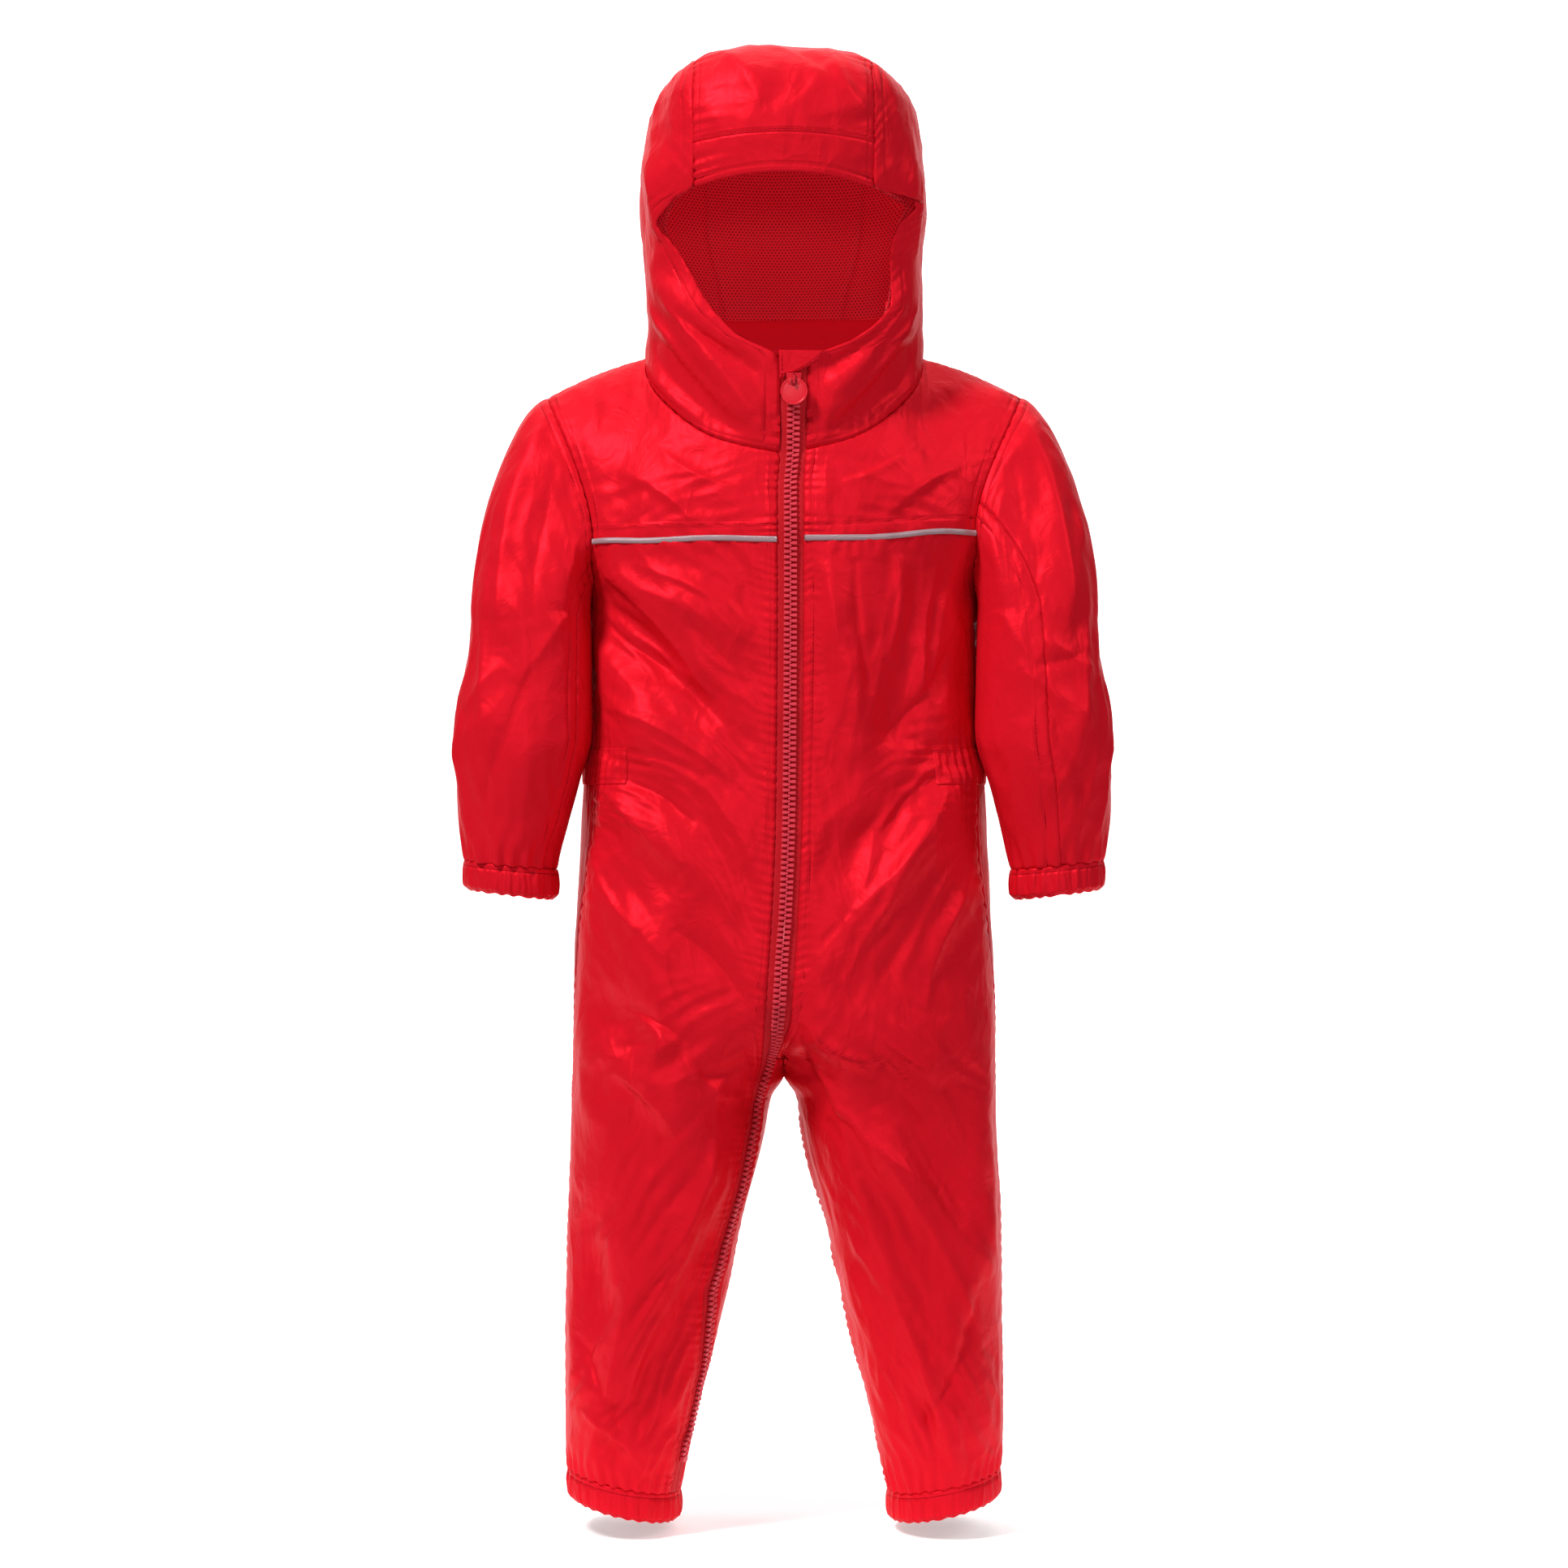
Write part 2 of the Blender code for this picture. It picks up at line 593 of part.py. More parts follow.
def sleeve(around, along, side):
    """Outer surface of a sleeve, as on the left: along is 0 at the armhole and 1 at the cuff."""
    wrapped = np.mod(around, 1.0)
    over = 0.5 - 0.5 * np.cos(2 * np.pi * wrapped)
    across = np.sin(2 * np.pi * wrapped)
    start = armhole(wrapped, side)
    end = sleeve_ring(wrapped, np.full_like(wrapped, SLEEVE_HEAD))
    reach = (10 + 66 * over) * MM
    away = np.stack([(0.45 + 0.5 * over) * reach, -0.3 * across * reach, (-0.9 + 0.62 * over) * reach], -1)
    down = np.zeros_like(start)
    down[..., 2] = -(14 + 112 * over) * MM
    share = np.clip(along / HEAD_SHARE, 0.0, 1.0)[..., None]
    head = hermite(start, end, away, down, share)
    fall = np.clip((along - HEAD_SHARE) / (1 - HEAD_SHARE), 0.0, 1.0)
    lower = sleeve_ring(wrapped, SLEEVE_HEAD + (CUFF_SEAM - SLEEVE_HEAD) * fall)
    point = np.where((along > HEAD_SHARE)[..., None], lower, head)
    fold = 2.2 * MM * np.sin(np.pi * np.clip((along - 0.3) / 0.65, 0.0, 1.0)) * over
    wave = np.sin(2 * np.pi * (2.5 * along + 1.5 * wrapped))
    push = np.stack([-np.cos(2 * np.pi * wrapped), -np.sin(2 * np.pi * wrapped), 0 * wrapped], -1)
    return point + push * (fold * wave)[..., None]


SLEEVE_SEAM = {RIGHT: 0.10, LEFT: 0.25}
SLEEVE_ROWS = (0.0, 0.1, 0.2, 0.3, 0.4, 0.52, 0.64, 0.76, 0.88, 1.0)
SLEEVE_COLUMNS = 20


def mirrored(points, side):
    return points * np.array([side, 1.0, 1.0])


def build_sleeves():
    for side, name in ((RIGHT, "sleeve_right"), (LEFT, "sleeve_left")):
        around = SLEEVE_SEAM[side] + np.linspace(0.0, 1.0, SLEEVE_COLUMNS + 1)
        around, along = np.meshgrid(around, np.array(SLEEVE_ROWS), indexing="ij")

        def surface(turn, down):
            return sleeve(turn, down, side)

        normals = -normals_of(surface, around, np.clip(along, 0.012, 0.99), 0.01, 0.01)
        points = surface(around, along)
        points = climbed(mirrored(points, side))
        normals = mirrored(normals, side)
        outer = trimmed(points, ("column_first", "column_last", "row_last"))
        inner = trimmed(points - normals * WALL, ("column_first", "column_last", "row_last"))
        outer = trimmed(outer, ("row_first",), 2 * SEAM)
        inner = trimmed(inner, ("row_first",), 2 * SEAM)
        add_object(name, wall_shape(outer, inner), CLOTH_RED, 0.42)


def gathered_ring(centre, half_width, half_depth, heights, swell, waves, tilt, lean_side):
    """A gathered elastic channel: two grids of points round a ring, outer and inner."""
    columns = waves * 2
    turn = 2 * np.pi * np.arange(columns) / columns
    ripple = np.where(np.arange(columns) % 2 == 0, 1.0, -1.0) * 0.9 * MM
    wall = 2.0 * MM
    outer, inner = [], []
    for height, grow in zip(heights, swell):
        for rings, depth in ((outer, 0.0), (inner, wall)):
            wide = half_width + grow + ripple - depth
            deep = half_depth + grow + ripple - depth
            x = centre[0] + wide * np.cos(turn)
            y = centre[1] + deep * np.sin(turn)
            z = height + tilt * lean_side * np.cos(turn)
            rings.append(np.stack([x, y, z], axis=-1))
    return np.stack(outer, axis=1), np.stack(inner, axis=1)


CUFF_WAVES = 18
HEM_WAVES = 26


def build_cuffs():
    for side, name in ((RIGHT, "cuff_right"), (LEFT, "cuff_left")):
        centre = (side * (SLEEVE.at("across", CUFF_SEAM)), SLEEVE.at("middle", CUFF_SEAM))
        heights = (CUFF_SEAM - SEAM, (CUFF_SEAM + CUFF_BOTTOM) / 2, CUFF_BOTTOM)
        outer, inner = gathered_ring(centre, 28.2 * MM, 29.5 * MM, heights, (0.0, 1.6 * MM, 0.9 * MM),
                                     CUFF_WAVES, 3 * MM, side)
        add_object(name, wall_shape(outer, inner, closed=True), CLOTH_RED, 0.45, 80)


def build_hems():
    half_width = (BODY.at("half_width", HEM_SEAM) - BODY.at("gap", HEM_SEAM)) / 2
    across = BODY.at("half_width", HEM_SEAM) - half_width
    for side, name in ((RIGHT, "ankle_hem_right"), (LEFT, "ankle_hem_left")):
        centre = (side * across, BODY.at("middle", HEM_SEAM) + 1.5 * MM)
        heights = (HEM_SEAM - SEAM, (HEM_SEAM + HEM_BOTTOM) / 2, HEM_BOTTOM)
        outer, inner = gathered_ring(centre, half_width, 42.5 * MM, heights, (0.0, 1.8 * MM, -0.5 * MM),
                                     HEM_WAVES, 7 * MM, side)
        add_object(name, wall_shape(outer, inner, closed=True), CLOTH_RED, 0.45, 80)


WAIST_WAVES = 17
WAIST_FRONT_DEGREES = -46


def on_panels(side, shares, height):
    """Points and normals on the flat facets of one side's panels, where a band sewn on them lies."""
    front = np.linspace(abs(front_start(side, height)), arm_share(height, -1), FRONT_COLUMNS + 1)
    back = np.linspace(arm_share(height, 1), 0.9999, BACK_COLUMNS + 1)
    corners = np.concatenate([front, back[1:]])
    levels = np.full_like(corners, height)
    grids = body(side * corners, levels), body_normal(side * corners, levels)
    return [np.stack([np.interp(shares, corners, grid[:, k]) for k in range(3)], axis=-1) for grid in grids]


def build_waist_elastic():
    heights = (WAIST_BOTTOM + 0.5 * MM, (WAIST_TOP + WAIST_BOTTOM) / 2, WAIST_TOP - 0.5 * MM)
    shares = np.linspace(0.5 * (1 + WAIST_FRONT_DEGREES / 90), 0.9985, 2 * WAIST_WAVES + 1)
    ripple = np.where(np.arange(len(shares)) % 2 == 0, 1.6 * MM, 0.9 * MM)[:, None, None]
    for side, name in ((RIGHT, "waist_elastic_right"), (LEFT, "waist_elastic_left")):
        rows = [on_panels(side, shares, height) for height in heights]
        points = np.stack([row[0] for row in rows], axis=1)
        normals = np.stack([row[1] for row in rows], axis=1)
        inner = points + normals * 0.6 * MM
        outer = points + normals * (0.6 * MM + ripple)
        add_object(name, wall_shape(outer, inner), CLOTH_RED, 0.45, 80)


def ring_angle(across, height, shrink=1.0):
    """Degrees from the hood's widest line to a given half width on its ring."""
    share = np.clip(across / (shrink * HOOD.at("half_width", height)), 0.0, 1.0)
    return np.degrees(np.arccos(share ** (HOOD.at("squareness", height) / 2)))


def crown_shrinks(steps):
    """Sizes of the crown's rings where they cross the crown seam at even steps from front to top."""
    bend = float(HOOD.at("squareness", CROWN_START))
    edge = (CROWN_SEAM / float(HOOD.at("half_width", CROWN_START))) ** bend
    forward = 1 - np.arange(1, steps + 1) / steps
    return (edge + (1 - edge) * forward ** bend) ** (1 / bend)


CROWN_STEPS = 3
BROW_SHARES = (0.0, PEAK_SHARE, 0.72, 1.0)
FACE_LEVELS = (57 * MM, 74 * MM, 86 * MM)


def brow_height(share):
    return PEAK_CORNER + (CROWN_START - PEAK_CORNER) * share


def hood_rows():
    """Rows of a hood side: (height, shrink, how far the row has risen from the neck seam)."""
    rows = [(HOOD_LEVEL, 1.0, share) for share in (0.0, 0.25, 0.5, 0.75, 1.0)]
    rows += [(height, 1.0, 1.0) for height in FACE_LEVELS]
    rows += [(brow_height(share), 1.0, 1.0) for share in BROW_SHARES]
    rows += [(CROWN_START, shrink, 1.0) for shrink in crown_shrinks(CROWN_STEPS)]
    return rows


def hood_row_ends(side, height, shrink, risen):
    """Angles at which a row of a hood side starts, at the face, and ends, at the crown seam."""
    column = "right" if side == RIGHT else "left"
    if shrink < 1.0:
        angle = float(ring_angle(CROWN_SEAM, CROWN_START, shrink))
        return -angle, angle
    start, end = -80.0, 75.0
    for _ in range(12):
        start_height = float(row_height(start, height, risen))
        end_height = float(row_height(end, height, risen))
        half = CROWN_SEAM if start_height > PEAK_CORNER - 0.01 * MM else FACE.at(column, start_height)
        start = -float(ring_angle(half, start_height))
        end = float(ring_angle(CROWN_BACK.at("half_width", end_height), end_height))
    return start, end


def row_height(degrees, height, risen):
    """Height on a hood row that still follows the neck seam in part."""
    neck = NECK_SEAM.at("height", degrees)
    return neck + (height - neck) * risen


def hood_side_grid(side, rows, inset=0.0, front_columns=NECK_COLUMNS, back_columns=HOOD_BACK_COLUMNS,
                   behind_face=0.0):
    points, normals = [], []
    for height, shrink, risen in rows:
        start, end = hood_row_ends(side, height, shrink, risen)
        if height < PEAK_CORNER:
            start += behind_face
        middle = NECK_CORNER if shrink == 1.0 else 0.0
        degrees = np.concatenate([np.linspace(start, middle, front_columns + 1),
                                  np.linspace(middle, end, back_columns + 1)[1:]])

        def surface(angle, rise):
            if shrink < 1.0:
                return hood_ring(angle, np.full_like(angle, CROWN_START), shrink - rise * 8)
            return hood_ring(angle, row_height(angle, height, risen) + rise, np.ones_like(angle))

        zero = np.zeros_like(degrees)
        points.append(surface(degrees, zero))
        normals.append(normals_of(surface, degrees, zero, 0.5, 0.5 * MM))
    points, normals = np.stack(points, axis=1), np.stack(normals, axis=1)
    points, normals = mirrored(points, side), mirrored(normals, side)
    forward = np.clip(-normals[..., 1] * 1.8, 0.0, 1.0)
    above_seam = np.array([min(risen * 3, 1.0) if shrink == 1.0 else 0.0 for _, shrink, risen in rows])
    lift = fold_height(points, HOOD_FOLDS, forward) * above_seam[None, :]
    return points + normals * (lift[..., None] - inset), normals


def crown_point(across, along):
    """Centre panel of the hood: across from -1 to 1, along 0-1 up the front, 1-2 over, 2-3 down the back."""
    rising = np.clip(along, 0.0, 1.0)
    over = np.clip(along - 1.0, 0.0, 1.0) * 2 - 1
    falling = np.clip(along - 2.0, 0.0, 1.0)
    peak = PEAK_CENTRE - (PEAK_CENTRE - PEAK_CORNER) * across ** 2
    front_height = peak + (CROWN_START - peak) * rising
    back_height = CROWN_START + (4 * MM - CROWN_START) * falling
    half = np.where(along > 2, CROWN_BACK.at("half_width", back_height), CROWN_SEAM)
    half_across = np.abs(across) * half
    height = np.where(along < 1, front_height, np.where(along > 2, back_height, CROWN_START))
    bend = HOOD.at("squareness", height)
    wide = HOOD.at("half_width", height)
    depth_share = (1 - np.clip(half_across / wide, 0.0, 1.0) ** bend) ** (1 / bend)
    front = HOOD.at("front", height) * depth_share
    back = HOOD.at("back", height) * depth_share
    y = np.where(along < 1, -front, np.where(along > 2, back, np.where(over < 0, over * front, over * back)))
    reach = (np.clip(half_across / wide, 0, 1) ** bend + (np.abs(over) * depth_share) ** bend) ** (1 / bend)
    on_top = (along >= 1) & (along <= 2)
    rise = np.where(on_top, CROWN_RISE * (1 - np.clip(reach, 0, 1) ** CROWN_ROUNDNESS), 0.0)
    nape = NECK_SEAM.at("height", 90 - 20 * np.abs(across))
    height = np.where(along > 2.9999, nape, height)
    return leaned(np.stack([np.sign(across) * half_across, y, height + rise], axis=-1))


def along_back(height):
    return 2 + (CROWN_START - height) / (CROWN_START - 4 * MM)


def crown_grid(alongs, columns=8):
    across = np.linspace(-1.0, 1.0, columns + 1)
    across, along = np.meshgrid(across, np.array(alongs), indexing="ij")
    points = crown_point(across, along)
    safe_along = np.clip(along, 0.02, 2.98)
    normals = normals_of(crown_point, np.clip(across, -0.98, 0.98), safe_along, 0.02, 0.02)
    return points, normals


def nape_levels():
    """Heights down the back where the centre panel meets the rows of the hood's sides."""
    nape = float(NECK_SEAM.at("height", 70.0))
    levels = [brow_height(share) for share in BROW_SHARES[2::-1]] + list(FACE_LEVELS[::-1])
    return levels + [nape + (HOOD_LEVEL - nape) * share for share in (1.0, 0.75, 0.5, 0.25)]


def build_hood():
    for side, name in ((RIGHT, "hood_side_right"), (LEFT, "hood_side_left")):
        points, normals = hood_side_grid(side, hood_rows())
        cloth_piece(name, points, normals, edges=("column_first", "column_last", "row_first"))
    points, normals = crown_grid([0.0, PEAK_SHARE])
    edges = ("column_first", "column_last", "row_last")
    cloth_piece("hood_peak", points, normals, wall=1.8 * MM, edges=edges)
    over = [1 + step / (2 * CROWN_STEPS) for step in range(1, 2 * CROWN_STEPS + 1)]
    down = [along_back(level) for level in nape_levels()] + [3.0]
    points, normals = crown_grid([PEAK_SHARE, 0.72, 1.0] + over + down)
    cloth_piece("hood_centre", points, normals, edges=ALL_EDGES)


LINING_INSET = 3.2 * MM
LINING_SEAM = 0.7 * MM
LINING_LEVELS = (16 * MM, HOOD_LEVEL, *FACE_LEVELS)


def build_lining():
    rows = [(level, 1.0, 1.0) for level in LINING_LEVELS]
    rows += [(brow_height(share), 1.0, 1.0) for share in BROW_SHARES]
    rows += [(CROWN_START, shrink, 1.0) for shrink in crown_shrinks(CROWN_STEPS)]
    for side, name in ((RIGHT, "lining_right"), (LEFT, "lining_left")):
        points, normals = hood_side_grid(side, rows, LINING_INSET, 4, 4, behind_face=9.0)
        cloth_piece(name, points, normals, MESH_WALL, ("column_first", "column_last"), color=MESH_RED,
                    gap=LINING_SEAM)
    over = [1 + step / (2 * CROWN_STEPS) for step in range(1, 2 * CROWN_STEPS + 1)]
    down = [along_back(brow_height(share)) for share in BROW_SHARES[2::-1]]
    down += [along_back(level) for level in LINING_LEVELS[::-1]]
    points, normals = crown_grid([0.6, 0.72, 1.0] + over + down, columns=6)
    cloth_piece("lining_centre", points - normals * LINING_INSET, normals, MESH_WALL,
                ("column_first", "column_last"), color=MESH_RED, gap=LINING_SEAM)


def build_neck_facing():
    """Plain band inside the back of the neck, from one shoulder round to the other."""
    points, normals = [], []
    degrees = np.concatenate([np.linspace(5, 90, 8), np.linspace(90, 5, 8)[1:]])
    sides = np.array([RIGHT] * 8 + [LEFT] * 7)
    for level in (6 * MM, 15 * MM):
        def surface(angle, rise):
            return hood_ring(angle, level + rise, np.ones_like(angle))

        zero = np.zeros_like(degrees)
        row = surface(degrees, zero)
        normal = normals_of(surface, degrees, zero, 0.5, 0.5 * MM)
        points.append(row * np.stack([sides, sides ** 2, sides ** 2], axis=-1))
        normals.append(normal * np.stack([sides, sides ** 2, sides ** 2], axis=-1))
    points, normals = np.stack(points, axis=1), np.stack(normals, axis=1)
    cloth_piece("neck_facing", points - normals * LINING_INSET, normals, MESH_WALL)


def front_line(offset, heights):
    """Points and normals down the front at an offset from the zip's middle."""
    points, normals = [], []
    for height in heights:
        if height <= NECK_FRONT:
            share = np.array([zip_share(height, offset)])
            level = np.array([height])
            points.append(body(share, level)[0])
            normals.append(body_normal(share, level)[0])
            continue
        across = float(ZIP.at("across", height)) + offset
        side = -1 if across < 0 else 1
        degrees = -ring_angle(abs(across), height)

        def surface(angle, rise):
            return hood_ring(angle, height + rise, np.ones_like(angle))

        spot = np.array([float(degrees)])
        safe = np.clip(spot, -86.0, None)
        points.append(mirrored(surface(spot, 0 * spot), side)[0])
        normals.append(mirrored(normals_of(surface, safe, 0 * spot, 2.0, 0.5 * MM), side)[0])
    return np.stack(points), np.stack(normals)


NECK_ROWS = (-53 * MM, -40 * MM, -33 * MM, -22 * MM)


def front_strip(name, offsets, bottom, top, low, high, color, roughness):
    """A long strip on the zip's line, across these offsets, from one height above the cloth to another."""
    rows = HEIGHTS[:-1] + upper_heights() + list(NECK_ROWS)
    rows = [bottom] + sorted(row for row in rows if bottom < row < top) + [top]
    lines = [front_line(offset, rows) for offset in offsets]
    points = np.stack([line[0] for line in lines])
    normals = np.stack([line[1] for line in lines])
    shape = wall_shape(points + normals * high, points + normals * low)
    return add_object(name, shape, color, roughness, 30)


SLIDER_TOP = -18.5 * MM
SLIDER_BOTTOM = -31.0 * MM
TAPE_FACE = -0.3 * MM
TAPE_BACK = -1.3 * MM
CHAIN_FOOT = 0.1 * MM


def build_zip():
    for side, name in ((RIGHT, "zip_tape_right"), (LEFT, "zip_tape_left")):
        offsets = sorted(side * offset for offset in (TAPE_INNER, CHAIN_HALF, TAPE_OUTER))
        front_strip(name, offsets, HEM_SEAM + SEAM, ZIP_TOP, TAPE_BACK, TAPE_FACE, TAPE_RED, 0.7)
    front_strip("zip_chain", (-CHAIN_HALF, 0.0, CHAIN_HALF), ZIP_BOTTOM + 4 * MM, SLIDER_BOTTOM - SEAM,
                CHAIN_FOOT, CHAIN_HEIGHT, TOOTH_RED, 0.45)
    front_strip("zip_stop", (-CHAIN_HALF, 0.0, CHAIN_HALF), ZIP_BOTTOM + 0.5 * MM, ZIP_BOTTOM + 3.7 * MM,
                CHAIN_FOOT, 2.2 * MM, TOOTH_RED, 0.45)


def slider_frame():
    """Middle of the slider on the tape's face."""
    height = (SLIDER_TOP + SLIDER_BOTTOM) / 2
    points, _ = front_line(0.0, [height])
    return Vector(points[0])


BAR_HEIGHT = -22.4 * MM
SLIDER_THICK = 4.0 * MM
ARCH_CLEAR = 3.2 * MM
ARCH_WIDE = 1.3 * MM
ARCH_THICK = 1.1 * MM
ARCH_TOP = -19.2 * MM
ARCH_BOTTOM = -26.2 * MM


def build_slider():
    """Slider body with the arch that the pull hangs on, extruded from a profile seen from the side."""
    seat = slider_frame()
    back = seat.y - 0.45 * MM
    front = back - SLIDER_THICK
    crest = front - ARCH_CLEAR - ARCH_THICK
    profile = [
        (back, SLIDER_BOTTOM), (back, SLIDER_TOP), (front, SLIDER_TOP), (front, SLIDER_BOTTOM),
    ]
    shape = bmesh.new()
    half = 4.6 * MM
    rings = []
    for side in (-1, 1):
        ring = []
        for y, z in profile:
            narrow = 0.72 if z == SLIDER_BOTTOM else 1.0
            ring.append(shape.verts.new((seat.x + side * half * narrow, y, z)))
        rings.append(ring)
    for k in range(4):
        near = (k + 1) % 4
        shape.faces.new((rings[0][k], rings[0][near], rings[1][near], rings[1][k]))
    for ring in rings:
        shape.faces.new(ring)
    bmesh.ops.recalc_face_normals(shape, faces=shape.faces)
    bmesh.ops.bevel(shape, geom=list(shape.edges), offset=0.7 * MM, segments=1, affect="EDGES")
    body_piece = add_object("zip_slider", shape, TOOTH_RED, 0.4, 30)

    arch = bmesh.new()
    outline = [
        (front + 0.6 * MM, ARCH_TOP), (crest + 0.8 * MM, ARCH_TOP), (crest, ARCH_TOP - 0.9 * MM),
        (crest, ARCH_BOTTOM + 0.9 * MM), (crest + 0.8 * MM, ARCH_BOTTOM), (front + 0.6 * MM, ARCH_BOTTOM),
        (front + 0.6 * MM, ARCH_BOTTOM + ARCH_THICK), (crest + ARCH_THICK, ARCH_BOTTOM + ARCH_THICK),
        (crest + ARCH_THICK, ARCH_TOP - ARCH_THICK), (front + 0.6 * MM, ARCH_TOP - ARCH_THICK),
    ]
    ends = []
    for side in (-1, 1):
        ends.append([arch.verts.new((seat.x + side * ARCH_WIDE / 2, y, z)) for y, z in outline])
    count = len(outline)
    for k in range(count):
        near = (k + 1) % count
        arch.faces.new((ends[0][k], ends[0][near], ends[1][near], ends[1][k]))
    for ring in ends:
        arch.faces.new(ring)
    guide = add_object("zip_arch_guide", arch, TOOTH_RED, 0.4, 30)
    guide.hide_render = True
    guide.display_type = "WIRE"
    joined = body_piece.modifiers.new("arch", "BOOLEAN")
    joined.operation = "UNION"
    joined.object = guide


PULL_RADIUS = 8.1 * MM
PULL_CENTRE = -29.7 * MM
PULL_THICK = 1.7 * MM
PULL_SIDES = 26


def build_pull():
    """Round pull tab with two ears and a slot at its top, hung by the bar above the slot."""
    seat = slider_frame()
    axis_y = seat.y - 0.45 * MM - SLIDER_THICK - ARCH_CLEAR / 2
    shape = bmesh.new()
    outline = []
    for k in range(PULL_SIDES):
        angle = math.radians(120) + 2 * math.pi * k / PULL_SIDES
        x = PULL_RADIUS * math.cos(angle)
        z = PULL_CENTRE + PULL_RADIUS * math.sin(angle)
        if z > BAR_HEIGHT - 1.6 * MM:
            x = math.copysign(min(abs(x), 4.2 * MM), x)
            z = min(z + 0.9 * MM, BAR_HEIGHT + 0.75 * MM)
        outline.append((x, z - BAR_HEIGHT))
    window = [(-1.5 * MM, -0.75 * MM), (1.5 * MM, -0.75 * MM), (1.5 * MM, -4.3 * MM), (-1.5 * MM, -4.3 * MM)]
    edges = []
    for loop in (outline, window):
        verts = [shape.verts.new((x, -PULL_THICK / 2, z)) for x, z in loop]
        edges += [shape.edges.new((verts[k], verts[(k + 1) % len(verts)])) for k in range(len(verts))]
    bmesh.ops.triangle_fill(shape, edges=edges, use_beauty=True)
    grown = bmesh.ops.extrude_face_region(shape, geom=list(shape.faces))
    moved = [item for item in grown["geom"] if isinstance(item, bmesh.types.BMVert)]
    bmesh.ops.translate(shape, verts=moved, vec=(0, PULL_THICK, 0))
    pull = add_object("zip_pull", shape, PULL_RED, 0.25, 30)
    hinge = bpy.data.objects.new("pull_hinge", None)
    bpy.context.collection.objects.link(hinge)
    hinge.location = (seat.x, axis_y, BAR_HEIGHT)
    pull.parent = hinge


def build_chin_guard():
    """Small folded flap over the top of the zip, a triangle with its point down."""
    rows = [-22 * MM, -18.2 * MM, -17.8 * MM, -14 * MM, -10 * MM, -6 * MM]
    spans = [(-8.6, -6.4), (-8.8, -5.4), (-8.8, 3.0), (-9.0, 9.0), (-9.2, 14.5), (-9.4, 19.0)]
    points, normals = [], []
    for row, (left, right) in zip(rows, spans):
        pairs = [front_line(offset * MM, [row]) for offset in np.linspace(left, right, 5)]
        points.append(np.stack([pair[0][0] for pair in pairs]))
        normals.append(np.stack([pair[1][0] for pair in pairs]))
    points, normals = np.stack(points, axis=1), np.stack(normals, axis=1)
    cloth_piece("chin_guard", points, normals, wall=1.4 * MM, raised=1.8 * MM)


def build_piping():
    """Reflective cord proud of each yoke seam, flattened to a low oval."""
    sides = 6
    for side, name in ((RIGHT, "piping_right"), (LEFT, "piping_left")):
        start = zip_share(YOKE_SEAM, side * (ZIP_HALF + 0.5 * MM))
        shares = np.linspace(start, side * (ARM_SHARE - 0.004), 19)
        levels = np.full_like(shares, YOKE_SEAM - 0.3 * MM)
        points, normals = body(shares, levels), body_normal(shares, levels)
        rings = []
        for k in range(sides):
            turn = 2 * math.pi * k / sides
            up = np.array([0.0, 0.0, 1.0]) * 1.7 * MM * math.cos(turn)
            rings.append(points + normals * (1.3 + 0.95 * math.sin(turn)) * MM + up)
        grid = np.stack(rings)
        shape = bmesh.new()
        verts = [[shape.verts.new(Vector(grid[i, j])) for j in range(grid.shape[1])] for i in range(sides)]
        for j in range(grid.shape[1] - 1):
            for i in range(sides):
                near = (i + 1) % sides
                shape.faces.new((verts[i][j], verts[near][j], verts[near][j + 1], verts[i][j + 1]))
        for j in (0, grid.shape[1] - 1):
            shape.faces.new([verts[i][j] for i in range(sides)])
        add_object(name, shape, PIPING_GREY, 0.35, 60)


def build_suit():
    clear_scene()
    build_fronts()
    build_yokes()
    build_backs()
    build_waist_elastic()
    build_sleeves()
    build_cuffs()
    build_hems()
    build_hood()
    build_lining()
    build_neck_facing()
    build_zip()
    build_slider()
    build_pull()
    build_chin_guard()
    build_piping()


build_suit()
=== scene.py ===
"""A toddler's hooded rain suit in its finished cloth, in place of the plain solids it is fitted over.

Metres, Z up from the shoulder line. The front faces -Y and the wearer's left is +X.
"""
import math

import bpy
import numpy as np
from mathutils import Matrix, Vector


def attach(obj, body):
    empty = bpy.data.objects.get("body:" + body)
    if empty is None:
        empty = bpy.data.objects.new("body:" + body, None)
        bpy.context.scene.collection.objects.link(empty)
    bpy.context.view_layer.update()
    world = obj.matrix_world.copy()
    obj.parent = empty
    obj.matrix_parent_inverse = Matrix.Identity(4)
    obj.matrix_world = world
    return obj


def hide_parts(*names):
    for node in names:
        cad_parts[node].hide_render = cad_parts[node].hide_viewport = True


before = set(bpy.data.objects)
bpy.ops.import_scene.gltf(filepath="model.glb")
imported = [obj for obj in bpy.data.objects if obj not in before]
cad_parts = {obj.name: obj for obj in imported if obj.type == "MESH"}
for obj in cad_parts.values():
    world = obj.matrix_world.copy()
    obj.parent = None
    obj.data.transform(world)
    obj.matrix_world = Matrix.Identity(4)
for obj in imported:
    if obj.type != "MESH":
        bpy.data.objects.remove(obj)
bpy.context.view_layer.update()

MM = 0.001
TURN = 2 * math.pi
LEFT, RIGHT = 1, -1
MIRRORED = np.array([-1.0, 1.0, 1.0])
CLOTH_WALL = 0.9 * MM

# ---------------------------------------------------------------- sizes shared with the solids

